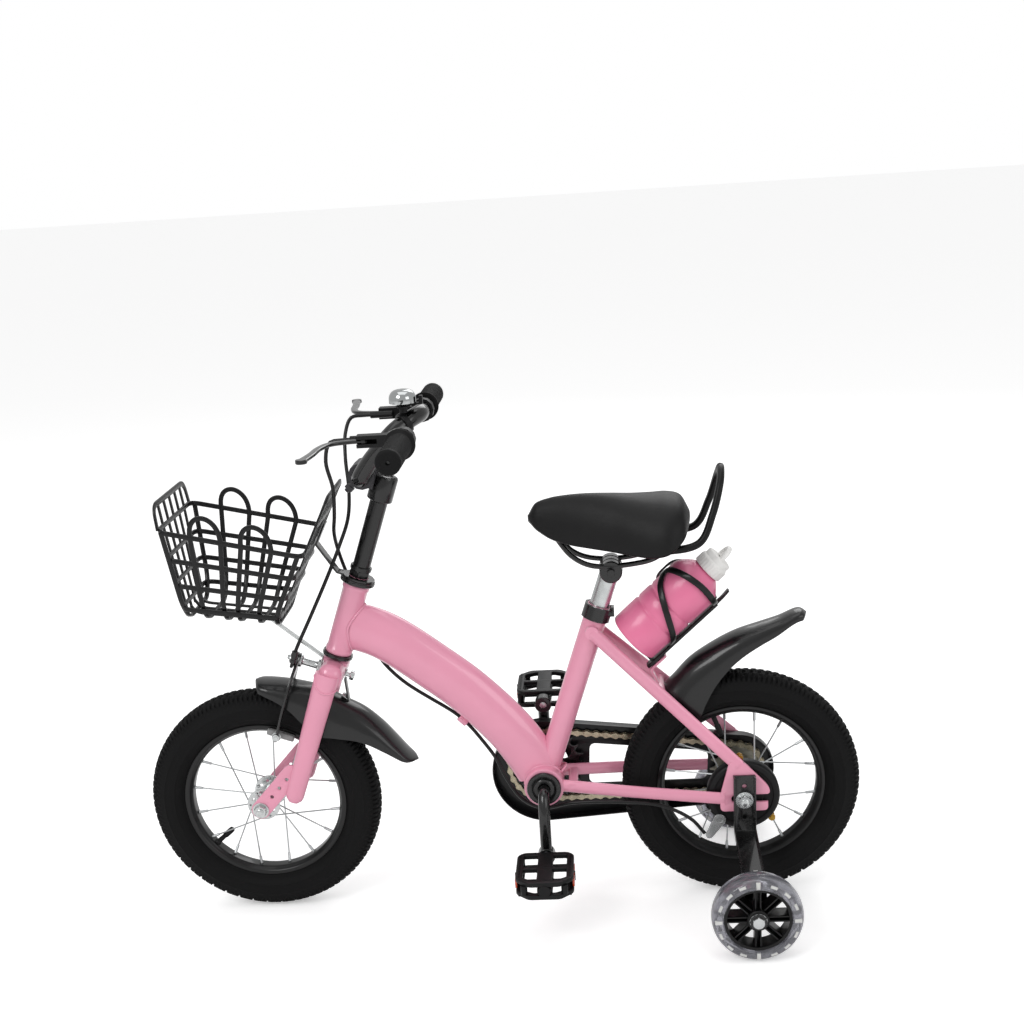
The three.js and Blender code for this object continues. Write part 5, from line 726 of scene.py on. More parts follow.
def tire_surface(depth, rows=1152):
    """The tire's skin: each point is (r cos a, y, r sin a), where r and y go along a section that is lifted
    outwards by depth times the tread's share there."""
    section = np.array([
        (102.2, 11.0), (106.0, 11.3), (108.0, 12.2), (110.0, 15.2), (112.6, 18.3), (115.5, 20.6),
        (118.5, 22.2), (119.2, 22.9), (120.0, 22.6), (123.5, 23.4), (127.5, 23.75), (131.5, 23.5),
        (132.2, 23.8), (133.0, 23.2), (136.5, 22.2), (138.6, 21.4), (140.4, 20.4), (142.2, 19.1),
        (144.0, 17.4), (145.6, 15.5), (147.0, 13.4), (148.2, 11.2), (149.1, 9.0), (149.8, 6.8),
        (150.2, 4.6), (150.4, 2.3),
    ])
    whole = np.vstack([section, [(150.45, 0.0)], section[::-1] * (1, -1)])
    inside = np.array([(101.8, -6.0), (101.8, 6.0)])
    profile = np.vstack([whole, inside])
    slope = np.gradient(whole, axis=0)
    outwards = unit(np.stack([-slope[:, 1], slope[:, 0]], axis=1))
    outwards *= np.sign(np.sum(outwards * (whole - (127.0, 0.0)), axis=1))[:, None]
    crown = np.concatenate([[0], np.cumsum(np.linalg.norm(np.diff(whole, axis=0), axis=1))])
    across = crown - crown[len(section)]
    around, across = np.meshgrid(np.arange(rows) * TURN / rows, across, indexing="ij")
    wave = 1.1 * np.sin(around * 96)
    lift = tread(around, across + wave, 96, 7.4, 0.3)
    for side in (-1, 1):
        lift = np.maximum(lift, tread(around, across - side * 9.2, 96, 6.6, 0.34, 0.5))
        lift = np.maximum(lift, tread(around, across - side * 16.6, 144, 5.8, 0.42, 0.25))
        lift = np.maximum(lift, 0.6 * tread(around, across - side * 22.4, 144, 3.0, 0.5, 0.75))
    full = np.broadcast_to(profile, (rows, len(profile), 2)).copy()
    full[:, :len(whole)] += depth * lift[..., None] * outwards
    angle = np.arange(rows)[:, None] * TURN / rows
    r, y = full[..., 0], full[..., 1]
    return np.stack([r * np.cos(angle), y, r * np.sin(angle)], axis=-1)


def spoke_line(i):
    """Where a spoke leaves its flange, where its nipple starts and where it meets the rim."""
    side = 1 if i % 2 == 0 else -1
    lacing = math.radians(56) * (1 if i % 4 < 2 else -1)
    rim_angle = TURN * (i + 0.5) / SPOKES
    hub_angle = rim_angle + lacing
    start = ray(hub_angle) * 17.5 + SIDE * side * FLANGE_Y
    end = ray(rim_angle) * 96.6 + SIDE * side * 2.0
    return start, end, side


def rim_solid():
    """The rim: half a section of radius and width, then its mirror image, turned round the axle, and a
    washer at each spoke's end."""
    side = [(97.6, 5.0), (97.8, 7.6), (98.8, 8.9), (100.6, 10.6), (101.3, 12.2), (102.6, 13.2),
            (106.2, 13.5), (107.3, 13.1), (107.5, 12.4), (107.2, 11.8), (102.0, 11.6), (101.4, 10.9)]
    profile = side + [(r, -y) for r, y in side[::-1]]
    solid = Solid().lathe(profile, (0, 0, 0), SIDE, 176, ring=True)
    for angle in np.arange(SPOKES) * TURN / SPOKES + TURN / 2 / SPOKES:
        out = ray(angle)
        solid.lathe([(0, 0), (2.9, 0), (2.6, 0.7), (0, 0.9)], out * 97.9, -out, 16)
    return solid


def valve_solid(angle):
    """A valve with its cap: a profile turned round a line that points to the hub."""
    out = ray(angle)
    profile = [(0, -1), (5.0, -1), (4.6, 1.2), (3.4, 2.4), (3.1, 13), (3.4, 14), (4.0, 15), (4.0, 26),
               (3.6, 28.6), (2.6, 29.6), (0, 30)]
    return Solid().lathe(profile, out * 97.4, -out, 28)


def hub_solid(rear):
    """The hub: a waisted barrel turned round the axle, the rear one's drum, and two drilled flanges."""
    solid = Solid()
    if rear:
        left = [(5.4, -46.3), (39.4, -46.3), (40.0, -45.7), (40.0, -34.0), (39.4, -33.4), (12.0, -33.4),
                (10.4, -32)]
        right = [(10.4, 31), (13.0, 33), (13.0, 48.6), (5.4, 48.8)]
    else:
        left = [(5.0, -33.0), (9.4, -33.0), (10.0, -32.4), (10.0, -26)]
        right = [(10.0, 26), (10.0, 32.4), (9.4, 33.0), (5.0, 33.0)]
    barrel = [(10.0, -21.5), (8.6, -17), (8.2, 0), (8.6, 17), (10.0, 21.5)]
    solid.lathe([*left, *barrel, *right], (0, 0, 0), SIDE, 56, ring=True)
    for side in (-1, 1):
        low, high = side * FLANGE_Y - 1.3, side * FLANGE_Y + 1.3
        holes = [circle(0, 0, 9.6, 32)]
        mine = [spoke_line(i)[0] for i in range(SPOKES) if spoke_line(i)[2] == side]
        holes += [circle(p[0], p[2], 1.25, 10) for p in mine]
        holes += [circle(14.2 * math.cos(a), 14.2 * math.sin(a), 2.2, 14)
                  for a in np.arange(8) * TURN / 8 + 0.2]
        solid.plate(circle(0, 0, 21.5, 64), low, high, holes, 0.5)
    return solid


def spokes_solid(thickness):
    """Each spoke bends at its flange, runs straight to its nipple and has a button head behind."""
    solid = Solid()
    for i in range(SPOKES):
        start, end, side = spoke_line(i)
        outer = start + SIDE * side * 1.4
        run = unit(end - start)
        line = np.vstack([start - SIDE * side * 2.3, outer, start + run * 3.2 + SIDE * side, end])
        solid.sweep(respaced(rounded(line, 1.6, 5), 26), thickness / 2, sides=8)
        solid.lathe([(0, 0), (1.9, 0.1), (2.0, 0.7), (1.2, 1.5), (0, 1.6)], start - SIDE * side * 2.0,
                    -SIDE * side, 12)
        solid.lathe([(0, -11.5), (1.3, -11.4), (1.8, -10.6), (1.8, -1.2), (2.1, -0.6), (2.1, 0.6),
                     (0, 0.6)], end, run, 12)
    return solid


class BIKE_OT_wheels(BikeOperator):
    """Makes the two wheels: tires with their tread, rims with valves, hubs, spokes and axles"""

    bl_idname = "bike.wheels"
    bl_label = "Wheels"

    def execute(self, context):
        sizes = context.scene.bike_sizes
        skin = tire_surface(sizes.tread_depth / MM)
        for name, centre, valve_turn in (("front", FRONT_AXLE, -130), ("rear", REAR_AXLE, -20)):
            body = f"{name}_wheel"
            tire = Solid().grid(skin + centre, wrap_rows=True, wrap_cols=True)
            piece(f"{name}_tire", tire, body, "tire rubber", smooth=50)
            piece(f"{name}_rim", rim_solid().shifted(centre), body, "rim black")
            valve = valve_solid(TURN / 4 - math.radians(valve_turn)).shifted(centre)
            finish_object(f"{name}_valve", valve, body, "black plastic")
            piece(f"{name}_hub", hub_solid(name == "rear").shifted(centre), body, "bright steel")
            wires = spokes_solid(sizes.spoke / MM).shifted(centre)
            finish_object(f"{name}_spokes", wires, body, "spoke steel")
        axle = self.axle(FRONT_AXLE, 42.05, 8.5, 7.0, 4.3, (33.3, 37.9, 8.5))
        piece("front_axle", axle, "steering", "bright steel")
        axle = self.axle(REAR_AXLE, 63.1, 9.0, 8.0, 4.7, (49.1, 53.7, 9.0))
        piece("rear_axle", axle, "frame", "bright steel")
        return {"FINISHED"}

    def axle(self, centre, seat, nut_radius, nut_height, radius, cone):
        """An axle: a bar, and at each side a cone, a washer, a nut and the thread's end."""
        solid = Solid()
        end = seat + nut_height
        solid.rod(centre - SIDE * (end - 1), centre + SIDE * (end - 1), radius * 0.9, sides=20)
        for side in (-1, 1):
            out = SIDE * side
            threaded(solid, centre + out * (end - 2), out, radius, 5.2)
            solid.lathe([(0, 0), (nut_radius + 2.2, 0), (nut_radius + 2.2, 1.4), (0, 1.5)],
                        centre + out * seat, out, 40)
            nut(solid, centre + out * (seat + 1.4), out, nut_radius, nut_height - 1.4)
            low, high, cone_radius = cone
            solid.lathe([(0, low), (cone_radius, low + 0.6), (cone_radius, high - 0.4), (0, high)], centre,
                        out, 32)
        return solid


# Frame

HEAD_LOW, HEAD_HIGH = 7.3, 102.0
HEAD_RADIUS, HEAD_BORE = 16.0, 14.0
SEAT_RADIUS, SEAT_BORE = 15.0, 13.0
SHELL_HALF, SHELL_RADIUS, SHELL_BORE = 34.0, 25.5, 20.0
DROPOUT_INNER, DROPOUT_WALL = 54.0, 5.0
STAY_END_Y = DROPOUT_INNER + DROPOUT_WALL / 2
STAY_START = BRACKET + (16.0, 25.0, 0.0)
STAY_END = REAR_AXLE + (-24.0, STAY_END_Y, 0.0)
STAY_SHOULDER = (STAY_START + (STAY_END - STAY_START) * 0.45) * (1, 0, 1) + SIDE * 41.25
SEAT_STAY_TOP = along_seat(214.0, 17.0)
SEAT_STAY_END = REAR_AXLE + (-6.0, STAY_END_Y, 44.0)
BRIDGE = SEAT_STAY_END + (SEAT_STAY_TOP - SEAT_STAY_END) * 0.53
CABLE_STOP = np.array((-42.9, 0.0, 251.4))


def down_tube_line(count):
    """The down tube's middle line: from the head tube to the bottom bracket, arched outwards by shares."""
    shares = [(0, 0), (0.144, 0.62), (0.389, 0.93), (0.55, 1), (0.766, 0.79), (0.9, 0.4), (1, 0)]
    start = steer(47.0, 0.0)
    run = BRACKET - start
    out = unit((-run[2], 0, run[0]))
    return curve_through([start + run * along + out * 29.0 * rise for along, rise in shares], count)


def open_tube(solid, start, end, radius, bore, segments=64, flare=0.0, band=6.0):
    """A tube with a bore and softened ends, a little wider near its ends if it flares."""
    length = np.linalg.norm(np.asarray(end) - start)
    wide = radius + flare
    profile = [(bore, 0.4), (bore + 0.4, 0), (wide - 0.6, 0), (wide, 0.6), (wide, band),
               (radius, band + flare * 1.2), (radius, length - band - flare * 1.2), (wide, length - band),
               (wide, length - 0.6), (wide - 0.6, length), (bore + 0.4, length), (bore, length - 0.4)]
    return solid.lathe(profile, start, np.asarray(end) - start, segments, ring=True)


class BIKE_OT_front_frame(BikeOperator):
    """Makes the welded front frame: head tube, arched down tube, seat tube, bracket shell, cable stop"""

    bl_idname = "bike.front_frame"
    bl_label = "Front frame"

    def execute(self, context):
        weld = context.scene.bike_sizes.weld / MM / 2
        solid = Solid()
        open_tube(solid, steer(HEAD_LOW, 0), steer(HEAD_HIGH, 0), HEAD_RADIUS, HEAD_BORE, 72, flare=1.2)
        line = down_tube_line(96)
        share = np.linspace(0, 1, len(line))
        wide, tall, nip = 21.0, 31.5, 6.2
        narrow = wide - nip * np.exp(-(share / 0.11) ** 2)
        solid.sweep(line[2:-4], narrow[2:-4], tall, sides=72, across=SIDE)
        open_tube(solid, along_seat(22), along_seat(246), SEAT_RADIUS, SEAT_BORE, 64)
        open_tube(solid, BRACKET - SIDE * SHELL_HALF, BRACKET + SIDE * SHELL_HALF, SHELL_RADIUS,
                  SHELL_BORE, 88)
        away = unit(line[9] - line[4])
        up = np.cross(away, SIDE)
        bead(solid, line[9], -away, SIDE * 15.6, up * 31.4, steer(0, 0), HEAD_UP, 16.4, weld, 150)
        near = unit(line[-10] - line[-18])
        up = np.cross(near, SIDE)
        bead(solid, line[-14], near, SIDE * wide, up * tall, BRACKET, SIDE, 25.4, weld, 150)
        bead(solid, along_seat(70), -SEAT_UP, SIDE * 15.2, np.cross(SEAT_UP, SIDE) * 15.2, BRACKET, SIDE,
             25.4, weld, 100)
        along = unit(line[61] - line[59])
        open_tube(solid, CABLE_STOP - along * 6.5, CABLE_STOP + along * 6.5, 5.2, 3.2, 32, band=2.0)
        for way in (-1, 1):
            foot = CABLE_STOP + along * way * 3.5
            for hand in (SIDE, -SIDE):
                solid.sweep(respaced([foot + hand * 3, foot + hand * 6.5], 6), 1.6, sides=10)
        piece("frame_front", solid, "frame", "pink paint", smooth=45)
        for node, low, high, radius in (("headset_lower", 0.3, 7.0, 19.5),
                                        ("headset_upper", 102.3, 109.0, 22.0)):
            race = Solid()
            tall = high - low
            profile = [(12.85, 0.2), (radius - 3.4, 0.0), (radius - 1.2, 0.9), (radius, 2.0),
                       (radius, tall - 2.0), (radius - 0.8, tall - 1.4), (radius - 0.8, tall - 0.9),
                       (radius - 0.4, tall), (12.85, tall)]
            race.lathe(profile, steer(low, 0), HEAD_UP, 72, ring=True)
            piece(node, race, "frame", "black paint")
        self.bottom_bracket()
        return {"FINISHED"}

    def bottom_bracket(self):
        """Two cups with a ring of bolts, and the sleeve between them."""
        cups = Solid()
        for way in (-1, 1):
            profile = [(8.3, 33.9), (20.0, 33.9), (20.6, 34.3), (22.0, 34.9), (22.0, 37.9), (21.2, 39.0),
                       (16.0, 39.3), (14.6, 38.6), (13.4, 38.4), (12.6, 39.1), (8.3, 39.1)]
            cups.lathe(profile, BRACKET, SIDE * way, 72, ring=True)
            for angle in np.arange(6) * TURN / 6:
                spot = BRACKET + SIDE * way * 38.9 + ray(angle) * 18.2
                cups.lathe([(0, 0), (1.4, 0), (1.0, 0.4), (0, 0.4)], spot, SIDE * way, 12)
        cups.lathe([(8.3, -33), (19.6, -33), (19.6, 33), (8.3, 33)], BRACKET, SIDE, 48, ring=True)
        piece("bottom_bracket", cups, "frame", "black paint")


class BIKE_OT_rear_frame(BikeOperator):
    """Makes the welded rear triangle: stays, bridges, slotted dropouts, and the lug behind the bridge"""

    bl_idname = "bike.rear_frame"
    bl_label = "Rear frame"

    def execute(self, context):
        weld = context.scene.bike_sizes.weld / MM / 2
        side = Solid()
        line = curve_through([STAY_START, STAY_SHOULDER, STAY_END], 60)
        share = np.linspace(0, 1, 60)
        crimp = 1 - 0.22 * np.exp(-((share - 0.42) / 0.1) ** 2)
        side.sweep(line, (7.5 - 4.1 * share) * crimp, 8.0 * (1 + 0.06 * (1 - crimp)), sides=36, across=SIDE)
        line = curve_through([SEAT_STAY_TOP, BRIDGE, SEAT_STAY_END], 60)
        side.sweep(line, 7.0 - 3.6 * share, 8.5, sides=36, across=SIDE)
        side.plate(self.dropout(), DROPOUT_INNER, DROPOUT_INNER + DROPOUT_WALL, (), 0.8)
        for z in (-7.2, 7.2):
            run = [REAR_AXLE + (-24.0, STAY_END_Y - 3.2, z), REAR_AXLE + (-25.0, STAY_END_Y + 3.2, z)]
            side.sweep(respaced(run, 8), 1.3, sides=8)
        whole = Solid().also(side).also(side, mirrored)
        whole.rod(BRIDGE * (1, -1, 1), BRIDGE, 6.0, sides=32)
        whole.rod(SEAT_STAY_TOP * (1, -1, 1) - SIDE * 6, SEAT_STAY_TOP + SIDE * 6, 8.6, sides=32)
        yoke = BRACKET[0] + SHELL_RADIUS + 12
        bar = respaced([(yoke, -STAY_SHOULDER[1] + 6, STAY_START[2]),
                        (yoke, STAY_SHOULDER[1] - 6, STAY_START[2])], 12)
        whole.sweep(bar, 6.0, 4.0, sides=24, across=BACK, power=3.2)
        lug = [BRIDGE * (1, 0, 1), by_bottle(-12, 44.55), by_bottle(14, 44.55)]
        whole.sweep(respaced(rounded(lug, 6, 8), 40), 7.5, 1.75, sides=24, across=SIDE, power=5)
        for way in (-1, 1):
            bead(whole, BRIDGE * (1, 0, 1) + SIDE * way * 12, SIDE * way, BACK * 6.2, UP * 6.2,
                 BRIDGE * (1, way, 1), unit(SEAT_STAY_END * (1, way, 1) - SEAT_STAY_TOP * (1, way, 1)),
                 6.6, 0.6 * weld, 44)
        piece("frame_rear", whole, "frame", "pink paint", smooth=45)
        return {"FINISHED"}

    def dropout(self):
        """The dropout's outline in x and z: straight runs with round corners, and the slot's end."""
        nose = circle(-10.8, 0, 5.2, 16, TURN / 4)[:9]
        outline = [(30, -5.2), (30, -17.2), (-30, -17.2), (-30, 5.2), (-18, 50), (0, 50), (30, 17.2),
                   (33, 8.2), (30, 5.2)]
        outline = [(*point, 0) for point in outline]
        soft = rounded(np.array(outline, float), 6.5, 6)[:, :2]
        return np.vstack([soft, nose]) + (REAR_AXLE[0], REAR_AXLE[2])


# Fork and steering

BAR_RADIUS, BAR_HALF = 11.0, 232
GRIP_START, GRIP_END = 130.3, 236.3


class BIKE_OT_fork(BikeOperator):
    """Makes the fork: steerer, round crown, two tapered blades with welds and the plates of the axle"""

    bl_idname = "bike.fork"
    bl_label = "Fork"

    def execute(self, context):
        weld = context.scene.bike_sizes.weld / MM / 2
        solid = Solid()
        open_tube(solid, steer(-20, 0), steer(111.8, 0), 12.5, 11.4, 48)
        line = respaced([steer(-18, 0, -45), steer(-18, 0, 45)], 60)
        share = np.linspace(-1, 1, 60)
        end = np.sqrt(np.clip(1 - (np.maximum(abs(share) - 0.72, 0) / 0.29) ** 2, 0.02, 1))
        solid.sweep(line, 17.4 * end, 15.8 * end, sides=48, across=HEAD_UP, power=2.5)
        solid.lathe([(12.6, 0), (16.4, -3.4), (16.4, -8), (12.6, -8)], steer(0, 0), HEAD_UP, 56, ring=True)
        for way in (-1, 1):
            top = steer(-16, 3, FORK_HALF * way)
            tip = FRONT_AXLE + HEAD_UP * 24 + HEAD_FORWARD * (3 - FORK_OFFSET) + SIDE * FORK_HALF * way
            run = respaced([top + HEAD_UP * 4, tip], 40)
            share = np.linspace(0, 1, 40)
            taper = np.where(share > 0.95, np.sqrt(np.clip(1 - ((share - 0.95) / 0.06) ** 2, 0.05, 1)), 1)
            solid.sweep(run, (10 - 2 * share) * taper, (15.5 - 4 * share) * taper, sides=44, across=SIDE)
            bead(solid, top - HEAD_UP * 50, HEAD_UP, SIDE * 9.6, HEAD_FORWARD * 15.2, steer(-18, 0), SIDE,
                 17.2, 0.8 * weld, 110)
            self.plate(solid, way)
        piece("fork", solid, "steering", "pink paint", smooth=45)
        return {"FINISHED"}

    def plate(self, solid, way):
        """The plate that holds the front axle: a capsule's outline with three holes and the axle's bore."""
        high = FRONT_AXLE + HEAD_UP * 62 + HEAD_FORWARD * (3 - FORK_OFFSET + 11.5)
        foot, top = FRONT_AXLE[[0, 2]], high[[0, 2]]
        holes = [circle(*(foot + (top - foot) * share), 2.6, 20) for share in (0.36, 0.6, 0.84)]
        holes.append(circle(*foot, 4.6, 24))
        low = FORK_HALF * way - 1.75
        solid.plate(capsule(foot, top, 12.3, 12.0, 18), low, low + 3.5, holes, 0.6)


def bar_line(count):
    """The handlebar's right half: a bend by shares of setback, rise and width, then straight to its end."""
    shares = [(0, 0, 0), (0.14, 0.22, 0.34), (0.34, 0.52, 0.7), (0.58, 0.82, 0.92), (0.8, 0.97, 0.99),
              (1, 1, 1)]
    bend = [CLAMP_CENTRE + (66 * back, 28 + 59 * across, 57 * up) for across, back, up in shares]
    bend = curve_through(bend, count)
    return np.vstack([bend, respaced([bend[-1], GRIP_CENTRE + SIDE * BAR_HALF], 12)[1:]])


class BIKE_OT_cockpit(BikeOperator):
    """Makes the stem, its clamp, the handlebar, the ribbed grips, the brake levers and the bell"""

    bl_idname = "bike.cockpit"
    bl_label = "Cockpit"

    def execute(self, context):
        stem = Solid()
        stem.lathe([(0, 68), (11.1, 68), (11.1, 126), (11.1, 212), (13, 213), (15.2, 214), (16, 215),
                    (16, 244), (15, 245.6), (12.8, 246), (9, 246.2), (7.4, 243.8), (0, 243.8)],
                   steer(0, 0), HEAD_UP, 64)
        nut(stem, steer(243.8, 0), HEAD_UP, 6.4, 2.0)
        nut(stem, steer(112.1, 0), HEAD_UP, 13.7, 9.0)
        stem.lathe([(11.2, 121), (13.4, 121), (13.6, 122), (13.6, 125.4), (13, 126.1), (11.2, 126.1)],
                   steer(0, 0), HEAD_UP, 56, ring=True)
        piece("stem", stem, "steering", "stem black")
        machined("stem_clamp", "steering", "clamp grey", 1.1)
        half = bar_line(44)
        line = np.vstack([mirrored(half)[::-1], half])
        bar = Solid().sweep(line, BAR_RADIUS, sides=40, across=UP)
        piece("handlebar", bar, "steering", "black paint")
        for name, way in (("right", 1), ("left", -1)):
            self.grip(name, way)
            self.lever(name, way)
        self.bell()
        return {"FINISHED"}

    def grip(self, name, way):
        """A grip: a flange, then ribs at even steps, then a drilled end, turned round the bar."""
        start, end = GRIP_START, GRIP_END
        profile = [(11.3, start + 0.4), (12.2, start), (17.4, start), (18, start + 0.6), (18, start + 3.2),
                   (17.2, start + 4.2), (14.4, start + 7.4)]
        for y in np.arange(start + 9.5, end - 12, 4.6):
            profile += [(13.7, y), (13.7, y + 0.5), (14.5, y + 1.3), (14.5, y + 3.3), (13.7, y + 4.1)]
        profile += [(14.4, end - 9), (14.5, end - 3.6), (13.9, end - 1.4), (12.4, end - 0.2), (11, end),
                    (2.6, end), (2.2, end - 0.5), (2.2, end - 3.6), (11.3, end - 4)]
        solid = Solid().lathe(profile, GRIP_CENTRE, SIDE * way, 72, ring=True)
        piece(f"grip_{name}", solid, "steering", "grip rubber")

    def lever(self, name, way):
        """A brake lever: a bend by shares of reach and length, with a round pivot and a round tip."""
        machined(f"lever_body_{name}", "steering", "black plastic", 1.0)
        reach, length = 46, 106
        pivot = GRIP_CENTRE + (-reach, 96.0 * way, 0)
        shares = [(0, 0), (0.42, 0.03), (0.82, 0.12), (1, 0.34), (1.06, 0.66), (1.16, 1)]
        line = curve_through([pivot + (-reach * a, length * b * way, 0) for a, b in shares], 60)
        share = np.linspace(0, 1, 60)
        solid = Solid().sweep(line, 2.4, 5.6 - 1.2 * np.sin(share * math.pi), sides=28, across=UP,
                              power=3.0)
        for spot, radius in ((pivot, 6.1), (line[-1], 6.6)):
            solid.collar(0, radius, -2.4, 2.4, 0.7, spot, UP, 40)
        piece(f"brake_lever_{name}", solid, f"{name}_lever", "black paint")

    def bell(self):
        """The bell: a band, a foot, and a dome whose section is 17 cos^0.62 a by 11.8 sin^1.05 a."""
        spot, floor = np.array((-93.542, 57.117, 628.796)), 648.7
        along = unit(bar_line(44)[31] - bar_line(44)[25])
        band = Solid()
        band.lathe([(11.5, -3.5), (13.7, -3.5), (13.9, -3.1), (13.9, 3.1), (13.7, 3.5), (11.5, 3.5)], spot,
                   along, 56, ring=True)
        centre = spot * (1, 1, 0) + UP * floor
        band.lathe([(0, -7), (5, -7), (5, -0.6), (9, 0), (9.4, 1.6), (8.8, 2.3), (5, 2.4), (4.6, 4),
                    (0, 4)], centre, UP, 48)
        finish_object("bell_base", band, "steering", "black plastic", ("bell",))
        angle = np.linspace(0, TURN / 4, 24)
        outer = np.column_stack([17 * np.cos(angle) ** 0.62, 10.6 + 11.8 * np.sin(angle) ** 1.05])
        outer[-1, 0] = 0
        inner = np.column_stack([np.maximum(outer[::-1, 0] - 1.2, 0), outer[::-1, 1] - 1.2])
        profile = [(0, outer[-1, 1] - 1.2), *inner[1:], (15.8, 6.0), (16.2, 5.6), (16.9, 5.6), (17, 6.0),
                   *outer]
        dome = Solid().lathe(profile, centre, UP, 72)
        dome.lathe([(0, 16.5), (3.2, 16.5), (3.0, 17.2), (1.4, 17.6), (0, 17.6)], centre + UP * 5, UP, 24)
        finish_object("bell_dome", dome, "steering", "bell chrome")
        machined("bell_striker", "striker", "black plastic", 0.8)


# Fenders and front brake

def fender_grid(axle, stations, full, rows=90, cols=41):
    """An arched channel along the tire: the crown's radius, the skirt's depth and the half width come from
    a smooth curve through the stations, and the height round it is depth times the root of cos."""
    table = np.asarray(stations, float)
    along, crown, skirt = curve_through(table[:, :3], rows).T
    width = np.interp(along, table[:, 0], table[:, 3])
    end = np.clip((abs(np.linspace(-1, 1, rows)) - 0.94) / 0.062, 0, 1)
    width = width * np.sqrt(1 - end**2)
    angle = np.radians(full * along)[:, None]
    bend = np.linspace(-TURN / 4, TURN / 4, cols)[None, :]
    depth = skirt[:, None] * TIRE_WIDTH

    def skin(wall):
        """One face of the channel, drawn in by wall: radius sin a, across, radius cos a round the axle."""
        rise = (depth - wall) * np.sqrt(np.clip(np.cos(bend), 0, 1))
        radius = TIRE_RADIUS * crown[:, None] - depth + rise
        across = np.maximum(29.0 * width[:, None] - wall, 0.4) * np.sin(bend) * np.ones_like(radius)
        return np.stack([axle[0] + radius * np.sin(angle), across, axle[2] + radius * np.cos(angle)],
                        axis=-1)

    return np.concatenate([skin(0.0), skin(2.4)[:, ::-1]], axis=1)


class BIKE_OT_fenders(BikeOperator):
    """Makes the two arched fenders and the small brackets that hold them"""

    bl_idname = "bike.fenders"
    bl_label = "Fenders"

    def execute(self, context):
        front = [(0.02, 1.095, 0.22, 0.72), (0.1, 1.098, 0.34, 0.9), (0.25, 1.12, 0.62, 1),
                 (0.4, 1.16, 1.0, 1), (0.53, 1.18, 1.14, 1), (0.64, 1.225, 1.0, 1),
                 (0.76, 1.26, 0.66, 0.98), (0.88, 1.3, 0.4, 0.9), (0.96, 1.345, 0.24, 0.8),
                 (1, 1.39, 0.16, 0.6)]
        rear = [(-1, 1.09, 1.24, 1), (-0.8, 1.12, 1.28, 1), (-0.56, 1.19, 1.16, 1), (-0.3, 1.255, 0.9, 1),
                (-0.02, 1.34, 0.66, 0.94), (0.2, 1.41, 0.5, 0.84), (0.36, 1.485, 0.42, 0.72),
                (0.5, 1.585, 0.3, 0.62), (0.57, 1.58, 0.16, 0.5)]
        solid = Solid().grid(fender_grid(FRONT_AXLE, front, 77))
        foot = FRONT_AXLE + ray(math.radians(47)) * 180
        top = steer(-19 - 6.8, -16 - 1.5)
        solid.sweep(respaced([foot, top], 12), 6.0, 1.2, sides=16, across=SIDE, power=5)
        piece("front_fender", solid, "steering", "fender black", smooth=50)
        bracket = Solid()
        out = unit(foot - FRONT_AXLE)
        down = np.cross(out, SIDE)
        line = rounded([foot - out * 6, foot + out * 1.5, foot + out * 2 + down * 12], 3, 6)
        bracket.sweep(respaced(line, 20), 5.0, 0.8, sides=12, across=SIDE, power=5)
        nut(bracket, foot + out * 2 + down * 8, out, 4.2, 2.6)
        finish_object("fender_bracket", bracket, "steering", "bright steel")
        solid = Solid().grid(fender_grid(REAR_AXLE, rear, 36, 110))
        piece("rear_fender", solid, "frame", "fender black", smooth=50)
        return {"FINISHED"}


